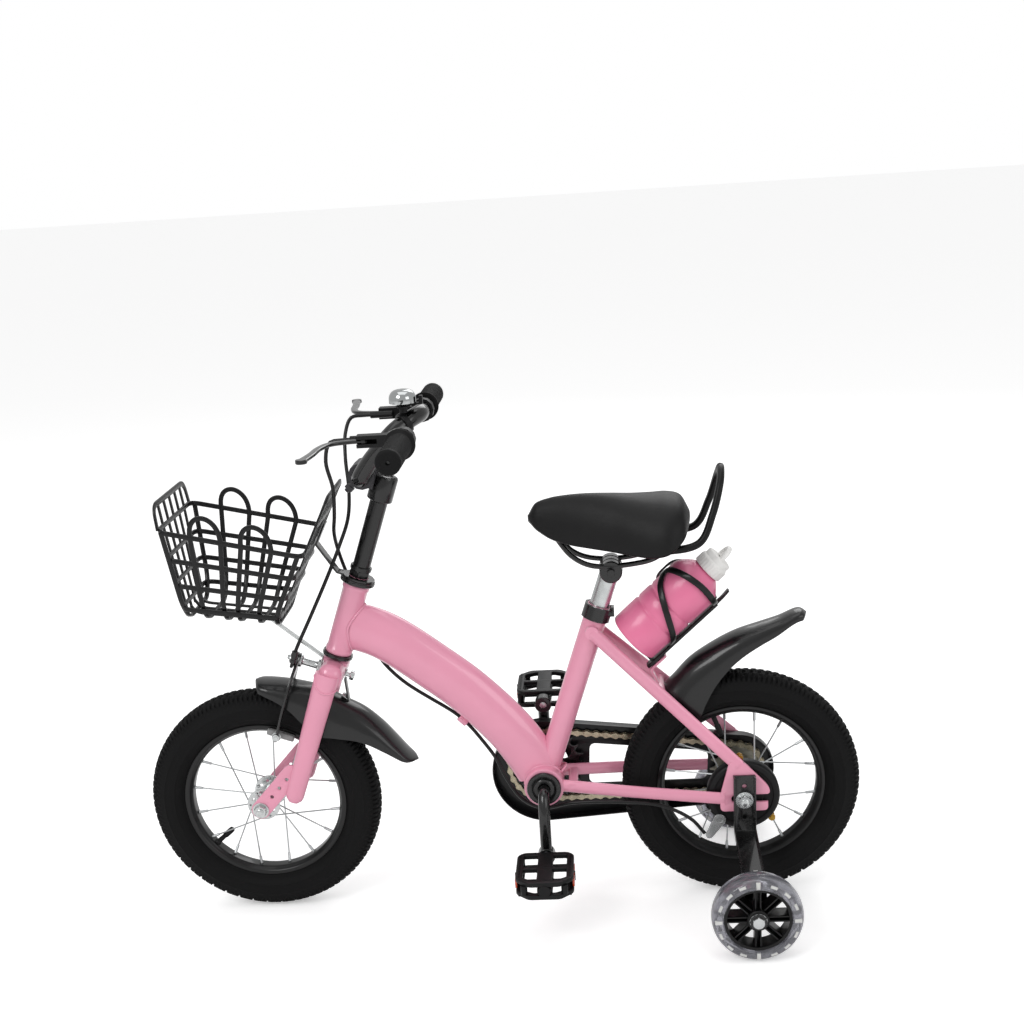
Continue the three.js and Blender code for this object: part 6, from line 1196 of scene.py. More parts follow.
class BIKE_OT_front_brake(BikeOperator):
    """Makes the side-pull brake: two bent arms with their shoes, and the bolt that carries them"""

    bl_idname = "bike.front_brake"
    bl_label = "Front brake"
    layer = 4.3
    arm_half = 39.0
    shoe_side = 21.9

    def execute(self, context):
        self.arm("left", -1, 0, [(0, 0), (-13.5, -9), (-27, -14.4)])
        self.arm("right", 1, 1, [(0, 0), (-16.2, 0), (-31.2, 4)])
        bolt = Solid()
        front = BRAKE_PLANE + 2 * self.layer
        threaded(bolt, steer(BRAKE_UP, front + 3), HEAD_FORWARD, 3.0, 5.0)
        bolt.rod(steer(BRAKE_UP, -28), steer(BRAKE_UP, front + 4), 3.0, sides=24)
        nut(bolt, steer(BRAKE_UP, front), HEAD_FORWARD, 6.5, 5.0)
        bolt.lathe([(0, 0), (9, 0), (9, 2.2), (5.2, 3), (4.8, 4), (4.8, 21), (5.4, 22), (8.6, 23),
                    (8.6, 25.2), (0, 25.2)], steer(BRAKE_UP, 18.6), HEAD_FORWARD, 48)
        bolt.lathe([(0, 0), (7.4, 0), (7.4, 1.1), (0, 1.1)], steer(BRAKE_UP, -16.3), -HEAD_FORWARD, 40)
        nut(bolt, steer(BRAKE_UP, -22.2), -HEAD_FORWARD, 6.3, 5.2)
        piece("caliper_bolt", bolt, "steering", "bright steel")
        return {"FINISHED"}

    def arm(self, name, side, place, tail):
        """An arm: a flat bar bent by shares of the half width and the height, with a ring round the bolt, a
        tail for the cable and a shoe on a stud."""
        ahead = BRAKE_PLANE + place * self.layer
        middle = ahead + 2
        shares = [(0, 0), (0.55, 0.06), (0.98, 0.27), (1.02, 0.62), (0.82, 0.9), (0.7, 1.06)]
        tall = BRAKE_UP - SHOE_UP
        line = [steer(BRAKE_UP - tall * down, middle, side * self.arm_half * across)
                for across, down in shares]
        line = curve_through(line, 70)
        share = np.linspace(0, 1, 70)
        arm = Solid().sweep(line, 2.0, 7.2 - 1.6 * share, sides=24, across=HEAD_FORWARD, power=4)
        tail_line = respaced(rounded([steer(BRAKE_UP + up, middle, y) for y, up in tail], 6, 6), 30)
        arm.sweep(tail_line, 2.0, 5.4, sides=24, across=HEAD_FORWARD, power=4)
        arm.collar(3.3, 9, 0, 4, 0.6, steer(BRAKE_UP, ahead), HEAD_FORWARD, 56)
        if name == "right":
            foot = steer(BRAKE_UP + 4, BRAKE_PLANE + 6.3, -27)
            arm.lathe([(2.6, 0), (4.2, 0), (4.2, 4), (3.6, 4.4), (3.6, 7.6), (4.2, 8), (4.2, 15.6),
                       (3.8, 16), (2.6, 16)], foot, HEAD_UP, 36, ring=True)
        piece(f"caliper_arm_{name}", arm, f"{name}_caliper", "black paint")
        centre = steer(SHOE_UP, (FORK_OFFSET + ahead) / 2, side * self.shoe_side)
        half = HEAD_FORWARD * 18
        shoe = Solid()
        run = respaced([centre - half, centre + half], 40)
        along = np.linspace(-1, 1, 40)
        end = np.clip(1 - np.maximum(abs(along) - 0.93, 0) / 0.09 * 0.4, 0.3, 1)
        groove = 1 - 0.12 * (abs((along * 3) % 1 - 0.5) < 0.1)
        shoe.sweep(run, 4.0 * end, 4.2 * end * groove, sides=20, across=SIDE, power=4)
        finish_object(f"caliper_shoe_{name}", shoe, f"{name}_caliper", "shoe grey")
        stud = Solid()
        at = steer(SHOE_UP, middle)
        stud.rod(at + SIDE * side * (self.shoe_side + 3), at + SIDE * side * 38.1, 3.0, sides=24)
        nut(stud, at + SIDE * side * 32.6, SIDE * side, 5.2, 4.6)
        stud.lathe([(0, 0), (6, 0), (6, 1), (0, 1)], at + SIDE * side * 31.4, SIDE * side, 32)
        finish_object(f"caliper_stud_{name}", stud, f"{name}_caliper", "bright steel")


# Cables and basket

FRONT_CABLE = [
    (-131.815, 83.9, 636.731), (-147.815, 83.9, 636.731), (-164, 82, 635), (-172, 76, 618), (-173, 62, 588),
    (-168, 36, 552), (-168, 8, 522), (-178, -12, 494), (-198, -22, 452), (-220, -26, 410),
    (-245.049, -27, 363.396), (-247.785, -27, 355.878),
]
REAR_CABLE = [
    (-131.815, -83.9, 636.731), (-147.815, -83.9, 636.731), (-164, -82, 634), (-172, -76, 612),
    (-170, -60, 576), (-176, -36, 538), (-184, -8, 510), (-186, 16, 482), (-180, 29, 446), (-166, 29, 404),
    (-160, 27, 368), (-146, 16, 336), (-118, 4, 308), CABLE_STOP, (-22, 0, 225), (-4, -3, 198),
    (8, -9, 172), (28, -16, 144), (54, -22, 133), (94, -34, 144), (150, -43, 147), (206, -47, 142),
    (244, -47, 122), (261.787, -46.8, 100.7),
]


def along_line(line, index):
    """The direction of a line at one of its points."""
    return unit(line[index + 1] - line[index - 1])


class BIKE_OT_cables(BikeOperator):
    """Makes the two brake cables along their routes"""

    bl_idname = "bike.cables"
    bl_label = "Cables"

    def execute(self, context):
        self.cable("front", FRONT_CABLE, 90, "steering")
        stop = along_line(down_tube_line(96), 60) * 11
        route = REAR_CABLE[:13] + [CABLE_STOP - stop, CABLE_STOP + stop] + REAR_CABLE[14:]
        rear = self.cable("rear", route, 170, None)
        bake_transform(rear)
        return {"FINISHED"}

    def cable(self, name, route, count, body):
        """A round cable on a smooth curve through its route's points."""
        line = curve_through(route, count)
        solid = Solid().sweep(line, 2.3, sides=20)
        thing = piece(f"{name}_cable", solid, body, "cable skin")
        line = line * MM
        return thing


BASKET_REAR = -212.228


def basket_place(share, down, across=0.0):
    """A place on the basket: from its front (0) to its rear (1), from its rim (0) to its floor (1), and
    across as a share of the half width there."""
    ends = []
    for rear, length, half, height, lean in ((0, 172, 80, 498, 13), (44, 116, 62, 412, 8)):
        ahead = length * (1 - share)
        rise = ahead * math.tan(math.radians(lean))
        ends.append(np.array((BASKET_REAR - rear - ahead, half * across, height + rise)))
    rim, floor = ends
    return rim + (floor - rim) * down


class BIKE_OT_basket(BikeOperator):
    """Makes the basket: hoops and ribs of a lattice, its arches and panels, its strap and its stay"""

    bl_idname = "bike.basket"
    bl_label = "Basket"

    def execute(self, context):
        bar = context.scene.bike_sizes.lattice / MM / 2
        solid = Solid()
        for down in (0.0, 0.33, 0.64, 0.93):
            corners = [basket_place(share, down, way) for share, way in ((0, -1), (1, -1), (1, 1), (0, 1))]
            line = rounded(corners, 14, 7, closed=True)
            solid.sweep(line, bar, 1.4, sides=16, across=UP, power=4, closed=True)
        ribs = (0.23, 0.44, 0.58, 0.79)
        for share in (0.03, *ribs, 0.97):
            self.rib(solid, share, bar)
        for way in (-1, 1):
            for start, end in (ribs[:2], ribs[2:]):
                self.arch(solid, start, end, way, bar)
        self.panel(solid, 0, 29, 74, 5, bar)
        self.panel(solid, 1, 72, 60, 5, bar)
        for across in (-0.36, 0.0, 0.36):
            line = [basket_place(share, 1, across) - UP * drop
                    for share, drop in ((0, 0), (0.06, 9), (0.94, 9), (1, 0))]
            solid.sweep(respaced(rounded(line, 8, 6), 40), bar, 1.4, sides=12, across=SIDE, power=4)
        piece("basket", solid, "steering", "cage plastic", smooth=45)
        machined("basket_strap", "steering", "black paint", 0.5)
        machined("basket_stay", "steering", "bright steel", 0.5)
        return {"FINISHED"}

    def rib(self, solid, share, bar):
        """A rib goes down one wall, bends under the floor and goes up the other wall."""
        half = [basket_place(share, 0, 1), basket_place(share, 0.86, 1),
                basket_place(share, 1, 0.72) - UP * 9]
        line = np.array(half + [point * (1, -1, 1) for point in half[::-1]])
        solid.sweep(respaced(rounded(line, 13, 7), 90), bar, 1.4, sides=12, across=BACK, power=4)

    def arch(self, solid, start, end, way, bar):
        """An arch over the rim between two ribs: along it goes with cos a, and up with sin^0.8 a."""
        angle = np.linspace(0, TURN / 2, 25)
        middle, half = (start + end) / 2, (end - start) / 2
        line = [basket_place(middle - half * math.cos(a), 0, way) + UP * 27 * math.sin(a) ** 0.8
                for a in angle]
        solid.sweep(respaced(line, 40), 1.4, bar, sides=12, across=SIDE, power=4)

    def panel(self, solid, share, rise, half, slats, bar):
        """A panel at an end: a frame that rises above the rim, and slats from its top to the floor."""
        up = unit(basket_place(share, 0) - basket_place(share, 1))
        foot, top = basket_place(share, 0), basket_place(share, 0) + up * rise
        line = [foot - SIDE * half, top - SIDE * (half - 4), top + SIDE * (half - 4), foot + SIDE * half]
        solid.sweep(respaced(rounded(line, 15, 8), 80), 1.5, bar * 1.15, sides=12, across=BACK, power=4)
        if rise > 40:
            middle = foot + up * rise / 2
            line = [middle - SIDE * (half - 2), middle + SIDE * (half - 2)]
            solid.sweep(respaced(line, 8), 1.4, bar, sides=12, across=BACK, power=4)
        for across in np.linspace(-1, 1, slats + 2)[1:-1] * half / 80:
            line = [top + SIDE * 80 * across, basket_place(share, 0, across),
                    basket_place(share, 0.9, across), basket_place(share, 1, across) - UP * 2]
            solid.sweep(respaced(rounded(line, 8, 5), 60), bar, 1.3, sides=12, across=SIDE, power=4)


# Drive

PITCH, LINKS = 12.7, 60
RING_TEETH, SPROCKET_TEETH = 24, 16
CRANK, CRANK_SIDE, PEDAL_SIDE = 80.0, 64.0, 122.9
CHAIN_Y, TOOTH_HALF = 44.8, 1.3
DRIVE_ALONG = (REAR_AXLE - BRACKET) / np.linalg.norm(REAR_AXLE - BRACKET)
DRIVE_UP = np.array((-DRIVE_ALONG[2], 0.0, DRIVE_ALONG[0]))
RING_RADIUS = PITCH / (2 * math.sin(math.pi / RING_TEETH))
SPROCKET_RADIUS = PITCH / (2 * math.sin(math.pi / SPROCKET_TEETH))
DRIVE_LENGTH = np.linalg.norm(REAR_AXLE - BRACKET)
LEAN = math.asin((RING_RADIUS - SPROCKET_RADIUS) / DRIVE_LENGTH)
RUN = DRIVE_LENGTH * math.cos(LEAN) / PITCH
REAR_WRAP = SPROCKET_TEETH * (0.5 - 2 * LEAN / TURN)


def drive_spot(centre, radius, angle):
    """A place round a toothed wheel, turned from the line between the two wheels."""
    return centre + DRIVE_ALONG * radius * math.cos(angle) + DRIVE_UP * radius * math.sin(angle)


def roller_spot(place):
    """Where a roller lies: on the upper run, the sprocket, the lower run and the chainring in turn."""
    high = TURN / 4 - LEAN
    if place < RUN:
        start, end = drive_spot(BRACKET, RING_RADIUS, high), drive_spot(REAR_AXLE, SPROCKET_RADIUS, high)
        return start + (end - start) * place / RUN
    if place < RUN + REAR_WRAP:
        return drive_spot(REAR_AXLE, SPROCKET_RADIUS, high - TURN * (place - RUN) / SPROCKET_TEETH)
    if place < 2 * RUN + REAR_WRAP:
        start, end = drive_spot(REAR_AXLE, SPROCKET_RADIUS, -high), drive_spot(BRACKET, RING_RADIUS, -high)
        return start + (end - start) * (place - RUN - REAR_WRAP) / RUN
    place -= 2 * RUN + REAR_WRAP
    return drive_spot(BRACKET, RING_RADIUS, -high - TURN * place / RING_TEETH)


def teeth_outline(centre, teeth, radius, seat_angle, tip=3.4):
    """A toothed wheel: each valley is a part of a roller's circle, each tooth narrows to a short tip."""
    out = []
    for i in range(teeth):
        middle = seat_angle - TURN * i / teeth
        hub = drive_spot(centre, radius, middle)
        for bend in np.radians((-66, -40, -14, 14, 40, 66)):
            out.append(drive_spot(hub, 4.2, middle + TURN / 2 + bend))
        for way in (0.16, -0.16):
            out.append(drive_spot(centre, radius + tip, middle - TURN / teeth * (0.5 - way * 0.5)))
    return np.array(out)[:, [0, 2]]


class BIKE_OT_drive(BikeOperator):
    """Makes the chain link by link, its two toothed wheels, the crank, the pedals and the guard"""

    bl_idname = "bike.drive"
    bl_label = "Drive"

    def execute(self, context):
        self.chain()
        self.chainring()
        self.freewheel()
        self.crank()
        for name, way in (("right", 1), ("left", -1)):
            self.pedal(name, way)
        self.guard()
        return {"FINISHED"}

    def guard(self):
        """The guard's outside plate, with its rounded openings, and its rim towards the wheel."""
        front, rear = (BRACKET[0], BRACKET[2] - 8.0), (REAR_AXLE[0], REAR_AXLE[2])
        corners = [(58, -29), (215, -20), (215, 20), (58, 29)]
        window = np.array([BRACKET + DRIVE_ALONG * along + DRIVE_UP * up for along, up in corners])
        window = rounded(window, 9, 8, closed=True)[:, [0, 2]]
        holes = [circle(BRACKET[0], BRACKET[2], 30, 72), circle(REAR_AXLE[0], REAR_AXLE[2], 10, 36), window]
        solid = Solid().plate(capsule(front, rear, 72, 48, 64), 50.6, 52.6, holes, 0.7, 2)
        edge = capsule(front, rear, 71, 47, 64)
        line = np.column_stack([edge[:, 0], np.full(len(edge), 45.0), edge[:, 1]])
        solid.sweep(respaced(np.vstack([line, line[:1]]), 260)[:-1], 6.4, 1.0, sides=16, across=SIDE,
                    power=6, closed=True)
        piece("chain_guard", solid, "frame", "cage plastic")

    def chain(self):
        """Links by turns narrow and wide, two plates each, with a pin and a roller at each spot."""
        plates, pins = Solid(), Solid()
        spots = np.array([roller_spot(i) for i in range(LINKS)])
        outline = self.link_outline()
        for i in range(LINKS):
            start, end = spots[i], spots[(i + 1) % LINKS]
            outer = i % 2 == 0
            for way in (-1, 1):
                low = CHAIN_Y + way * (1.75 + (1.05 if outer else 0.0))
                plates.grid(self.link_rings(outline, start, end, low, low + way))
            pins.lathe([(0, -3.7), (1.5, -3.7), (1.8, -3.4), (1.8, 3.4), (1.5, 3.7), (0, 3.7)],
                       start + SIDE * CHAIN_Y, SIDE, 14)
            pins.lathe([(0, -1.65), (3.2, -1.65), (3.7, -1.3), (3.7, 1.3), (3.2, 1.65), (0, 1.65)],
                       start + SIDE * CHAIN_Y, SIDE, 18)
        finish_object("chain_plates", plates, "frame", "chain steel", ("chain",), smooth=35)
        finish_object("chain_rollers", pins, "frame", "bright steel", smooth=35)

    def link_outline(self):
        """A link's outline, along and up: half a turn round each roller and a waist between."""
        turn = np.linspace(-TURN / 4, TURN / 4, 9)
        ends = 4.2
        right = np.column_stack([PITCH + ends * np.cos(turn), ends * np.sin(turn)])
        waist = np.array([(PITCH * 0.64, 2.5), (PITCH * 0.5, 2.05), (PITCH * 0.36, 2.5)])
        left = np.column_stack([-ends * np.cos(turn), -ends * np.sin(turn)])
        return np.vstack([right, waist, left, waist[::-1] * (1, -1)])

    def link_rings(self, outline, start, end, low, high):
        """The outline from one roller to the next, at four depths, drawn in at the two faces."""
        along = unit(end - start)
        up = np.cross(along, SIDE)
        middle = np.array((PITCH / 2, 0.0))
        rings = []
        for share, inset in ((0.0, 0.25), (0.2, 0.0), (0.8, 0.0), (1.0, 0.25)):
            flat = outline - unit(outline - middle) * inset
            y = low + (high - low) * share
            rings.append(start * (1, 0, 1) + along * flat[:, :1] + up * flat[:, 1:] + SIDE * y)
        return np.array(rings)

    def chainring(self):
        """The front toothed wheel with four windows, and its boss on the crank."""
        solid = Solid()
        windows = [circle(BRACKET[0] + 30 * math.cos(a), BRACKET[2] + 30 * math.sin(a), 10, 36)
                   for a in TURN / 10 + np.arange(4) * TURN / 4]
        holes = windows + [circle(BRACKET[0], BRACKET[2], 7.9, 32)]
        solid.plate(teeth_outline(BRACKET, RING_TEETH, RING_RADIUS, TURN / 4 - LEAN), CHAIN_Y - TOOTH_HALF,
                    CHAIN_Y + TOOTH_HALF, holes, 0.4)
        solid.lathe([(7.9, 39.7), (13.4, 39.7), (14, 40.3), (14, 43.6), (7.9, 43.6)], BRACKET, SIDE, 48,
                    ring=True)
        piece("chainring", solid, "cranks", "black paint", smooth=35)

    def freewheel(self):
        """The rear toothed wheel and its body, with a groove in the body's face."""
        solid = Solid()
        seat = TURN / 4 - LEAN - TURN * (math.ceil(RUN) - RUN) / SPROCKET_TEETH
        solid.plate(teeth_outline(REAR_AXLE, SPROCKET_TEETH, SPROCKET_RADIUS, seat), CHAIN_Y - TOOTH_HALF,
                    CHAIN_Y + TOOTH_HALF, [circle(REAR_AXLE[0], REAR_AXLE[2], 14.2, 40)], 0.4)
        low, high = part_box("freewheel")
        start, end = low[1] / MM, high[1] / MM
        profile = [(13.9, start), (18.4, start), (19, start + 0.6), (19, end - 0.6), (18.4, end),
                   (15.6, end), (15.3, end - 0.5), (14.9, end - 0.5), (14.7, end), (13.9, end)]
        solid.lathe(profile, REAR_AXLE * (1, 0, 1), SIDE, 64, ring=True)
        piece("freewheel", solid, "sprocket", "sprocket steel", smooth=35)

    def crank(self):
        """The one-piece crank: half a line, its mirror image past the bracket, an eye at each end."""
        arm, length, bend = CRANK_SIDE, CRANK, 14.0
        half = [(0, arm, length), (0, arm, 2.2 * bend), (0, arm - 0.2 * bend, 1.2 * bend),
                (0, arm - 0.55 * bend, 0.45 * bend), (0, arm - bend, 0)]
        line = np.array(half + [tuple(-np.array(p)) for p in half[::-1]]) + BRACKET
        line = respaced(rounded(line, 9, 7), 120)
        solid = Solid().sweep(line, 7.3, sides=36, across=BACK)
        for way in (1, -1):
            eye = BRACKET + (0, way * arm, way * length)
            solid.collar(4.7, 11, -7.8, 7.8, 0.8, eye, SIDE, 48)
        solid.collar(7, 13, 46.5, 49, 0.4, BRACKET, SIDE, 44)
        piece("crank", solid, "cranks", "black paint")

    def pedal(self, name, way):
        """A pedal: two plates with windows, posts and a barrel, an axle with its nut, two reflectors."""
        centre = BRACKET + UP * way * CRANK + SIDE * way * PEDAL_SIDE
        half_long, half_wide = 36.0, 43.0
        body = Solid()
        outline = [(-half_long, 27), (-half_long, -35), (-28, -half_wide), (28, -half_wide),
                   (half_long, -35), (half_long, 27), (20, half_wide), (-20, half_wide)]
        outer = rounded(np.array([(*p, 0) for p in outline], float), 5, 6, closed=True)[:, :2]
        holes = []
        near, far = 9.5, 27.0
        for side in (-1, 1):
            for low, high in ((-34.5, -3.2), (3.2, 34.0)):
                window = [(side * near, low), (side * far, low), (side * far, high if high < 0 else 26),
                          (side * (near + 4) if high > 0 else side * far, high), (side * near, high)]
                window = rounded(np.array([(*p, 0) for p in window], float), 2.5, 4, closed=True)[:, :2]
                holes.append(window if side > 0 else window[::-1])
        body.plate(outer, 5.6, 11.5, holes, 1.2, 2)
        body.plate(outer, -11.5, -5.6, holes, 1.2, 2)
        for x, y in ((-31, -36), (31, -36), (-25, 37), (25, 37), (0, -38), (-33.6, 2), (33.6, 2)):
            body.rod((x, -6, y), (x, 6, y), 4.2, sides=20)
        for side in (-1, 1):
            for y in np.arange(-30, 31, 7.5):
                for up in (-1, 1):
                    spot = np.array((side * 31.5, up * 11.3, y))
                    body.lathe([(0, 0), (1.9, 0), (1.5, 0.2), (0, 0.2)], spot, SIDE * up, 10)
        body.lathe([(0, -46), (9, -46), (9, 40), (7.6, 43.6), (0, 43.6)], (0, 0, 0), UP, 36)

        def placed(points):
            """Points of the body turned to stand at the pedal's place."""
            flat = np.column_stack([points[:, 0], way * points[:, 2], points[:, 1]])
            return flat + centre

        whole = Solid().also(body, placed)
        axle_start = BRACKET + UP * way * CRANK + SIDE * way * (CRANK_SIDE + 0.3)
        piece(f"pedal_{name}", whole, f"{name}_pedal", "black plastic", smooth=38)
        metal = Solid()
        metal.rod(axle_start - SIDE * way * 9, centre - SIDE * way * 40, 4.5, sides=28)
        nut(metal, axle_start + SIDE * way * 8.2, SIDE * way, 7.4, 5.6)
        finish_object(f"pedal_axle_{name}", metal, f"{name}_pedal", "bright steel")
        lamp = Solid()
        for side in (-1, 1):
            start = centre + BACK * side * 35.0
            rows, cols = 9, 33
            y = np.linspace(-20, 20, cols)[None, :] * np.ones((rows, 1))
            z = np.linspace(-5.4, 5.4, rows)[:, None] * np.ones((1, cols))
            facet = 0.35 * (abs((y / 2.5) % 2 - 1) + abs((z / 2.7) % 2 - 1))
            front = start + np.stack([side * (1.5 + 0.65 * facet), y, z], axis=-1)
            back = start + np.stack([np.zeros_like(y) - side * 0.4, y, z], axis=-1)
            lamp.grid(np.concatenate([front, back[:, ::-1]], axis=1))
        finish_object(f"pedal_reflector_{name}", lamp, f"{name}_pedal", "reflector orange", smooth=10)


# Rear brake

class BIKE_OT_rear_brake(BikeOperator):
    """Makes the brake cover round the rear drum with its adjusters, and the arm that pulls the band"""

    bl_idname = "bike.rear_brake"
    bl_label = "Rear brake"
    adjusters = ((-4, 50), (35.9, -33.1))

    def execute(self, context):
        cover = Solid()
        back, inner, lip = -50.3, -47.3, -33.3
        profile = [(10.4, back), (24, back), (25, back + 0.9), (37, back + 0.9), (38, back), (42.4, back),
                   (44.4, back + 0.8), (46, inner + 0.4), (46, lip - 2.2), (45.4, lip - 1.8),
                   (45.4, lip - 0.6), (44.9, lip), (43.6, lip), (43.6, inner), (10.4, inner)]
        cover.lathe(profile, REAR_AXLE, SIDE, 128, ring=True)
        pivot = np.array((280.487, 0, 121.5))
        cover.lathe([(0, -50.5), (7.4, -50.5), (8, -49.9), (8, -47.2), (0, -47.0)], pivot, SIDE, 40)
        for x, z in self.adjusters:
            root = REAR_AXLE + (0.86 * x, lip - 6, 0.86 * z)
            cover.sweep(respaced([root, REAR_AXLE + (x, lip - 6, z)], 6), 2.4, 3.4, sides=12, across=SIDE)
        piece("brake_cover", cover, "frame", "black plastic")
        bolts = Solid()
        for x, z in self.adjusters:
            spot = REAR_AXLE + (x, lip - 15.6, z)
            threaded(bolts, spot, SIDE, 2.5, 14.6)
            nut(bolts, spot + SIDE * 1.6, SIDE, 4.8, 3.6)
            nut(bolts, spot + SIDE * 9.5, SIDE, 4.4, 3.0)
        finish_object("brake_adjusters", bolts, "frame", "brass")
        pins = Solid()
        nut(pins, pivot - SIDE * 50.4, -SIDE, 3.4, 2.8)
        finish_object("brake_arm_pin", pins, "frame", "bright steel")
        machined("brake_arm", "rear_brake", "bright steel", 0.5)
        return {"FINISHED"}


# Seat

class BIKE_OT_seat(BikeOperator):
    """Makes the seat post, its collar and clamp, the saddle's rails, shell and pad, and the grab handle"""

    bl_idname = "bike.seat"
    bl_label = "Seat"

    def execute(self, context):
        machined("seat_clamp", "frame", "black paint", 0.8)
        machined("seat_post", "seat", "bright steel", 0.6)
        self.rails()
        self.shell()
        self.pad()
        return {"FINISHED"}

    def rails(self):
        """The clamp at the post's top with its bolt, and the two wires that carry the saddle."""
        spot = POST_TOP - SEAT_UP * 2
        solid = Solid().lathe([(0, -22), (12.6, -22), (14, -20.8), (14, 20.8), (12.6, 22), (0, 22)], spot,
                              SIDE, 48)
        for at in (-7.6, 7.6):
            solid.lathe([(13.6, at - 0.7), (14.5, at - 0.3), (14.5, at + 0.3), (13.6, at + 0.7)], spot,
                        SIDE, 48, ring=True)
        nut(solid, spot + SIDE * 21.9, SIDE, 5.0, 4.4)
        nut(solid, spot - SIDE * 21.9, -SIDE, 5.0, 4.4)
        low, high = spot[2] + 9, POST_TOP[2] + 36.1
        shares = [(-0.88, 0.42, 1.25), (-0.62, 0.7, 0.4), (-0.3, 1, 0), (0.36, 1, 0), (0.74, 1.26, 0.3),
                  (1, 1.47, 1.03)]
        for way in (-1, 1):
            points = [(spot[0] + 76 * a, way * 19 * b, low + (high - low) * c) for a, b, c in shares]
            solid.sweep(curve_through(points, 90), 3.3, 3.3, sides=20, across=SIDE)
        finish_object("saddle_rails", solid, "seat", "black paint", ("saddle_clamp",))

    def stations(self, count):
        """How far along the saddle each row lies, its half width, rim and crown; both ends are round."""
        share = np.array([0, .05, .14, .25, .38, .52, .65, .77, .86, .94, 1])
        width = np.array([.1, .2, .27, .33, .42, .58, .8, .97, 1, .86, .5]) * SADDLE_HALF
        rim = np.array([.58, .46, .28, .17, .1, .05, .01, 0, .06, .24, .48])
        crown = np.array([.68, .86, .95, .99, 1, .98, .95, .94, .94, .88, .66])
        place = share * SADDLE_LENGTH
        fine = curve_through(np.column_stack([place, width, rim * SADDLE_TALL]), 400)
        ridge = curve_through(np.column_stack([place, crown * SADDLE_TALL, 0 * share]), 400)
        along = SADDLE_LENGTH * (0.5 - 0.5 * np.cos(np.linspace(0, TURN / 2, count)))
        width, rim = (np.interp(along, fine[:, 0], fine[:, way]) for way in (1, 2))
        crown = np.interp(along, ridge[:, 0], ridge[:, 1])
        nose, tail = np.clip(1 - along / 11, 0, 1), np.clip(1 - (SADDLE_LENGTH - along) / 9, 0, 1)
        ends = np.sqrt(1 - np.maximum(nose, tail) ** 2) * 0.98 + 0.02
        middle, half = (rim + crown) / 2, (crown - rim) / 2 * ends
        return along, width * ends ** 0.6, middle - half, middle + half

    def pad(self):
        """Rows along the saddle: each row is y = w sin a, z = rim + rise cos^0.8 a, and a seam's groove
        runs along each side at a = 1.02."""
        rows, cols = 110, 49
        along, width, rim, crown = self.stations(rows)
        base, rise = SADDLE_RIM + rim, crown - rim
        turn = np.linspace(-TURN / 4, TURN / 4, cols)
        seam = 0.6 * np.exp(-((abs(turn)[None, :] - 1.02) / 0.035) ** 2)
        x = (SADDLE_NOSE + along)[:, None] * np.ones((1, cols))
        y = width[:, None] * np.sin(turn)[None, :]
        z = base[:, None] + rise[:, None] * np.cos(turn)[None, :] ** 0.8 - seam
        top = np.stack([x, y, z], axis=-1)
        under = np.stack([x, y * 0.9, base[:, None] + 1.5 + 0 * y], axis=-1)[:, ::-1]
        solid = Solid().grid(np.concatenate([top, under], axis=1))
        thing = finish_object("saddle_skin_piece", solid, "seat", "saddle skin", ("saddle_pad",), smooth=50)

    def shell(self):
        """A soft band under the pad, round the whole saddle, and the grab loop behind it, whose line goes
        by shares of its reach, half width and rise."""
        along, width, rim, _ = self.stations(90)
        x, z = SADDLE_NOSE + along, SADDLE_RIM + rim - 0.6
        section = ring_outline(28, 3.2)
        y = (width * 0.985)[:, None] * section[:, 0][None, :]
        drop = 2.6 * section[:, 1][None, :] - 3.0 * (1 - abs(section[:, 0])[None, :] ** 2)
        points = np.stack([x[:, None] + 0 * y, y, z[:, None] + drop], axis=-1)
        solid = Solid().grid(points)
        shares = [(-0.35, 0.8, -0.02), (0, 1, 0), (0.62, 0.9, 0.08), (0.84, 0.74, 0.46), (0.97, 0.5, 0.86),
                  (1, 0.16, 1)]
        half = [(POST_TOP[0] + 58 + 78 * b, 50 * out, SADDLE_RIM + 2.5 + 86 * up) for b, out, up in shares]
        line = np.array(half + [(x, -y, z) for x, y, z in half[::-1]])
        solid.sweep(curve_through(line, 130), 6.0, 4.4, sides=24, across=SIDE, power=2.6)
        for way in (-1, 1):
            run = [(POST_TOP[0] + 34, 44 * way, 476), (POST_TOP[0] + 66, 49 * way, 477)]
            solid.sweep(respaced(run, 8), 7.5, 3.4, sides=20, across=SIDE, power=3)
        piece("saddle_base", solid, "seat", "saddle plastic", smooth=45)


# Bottle

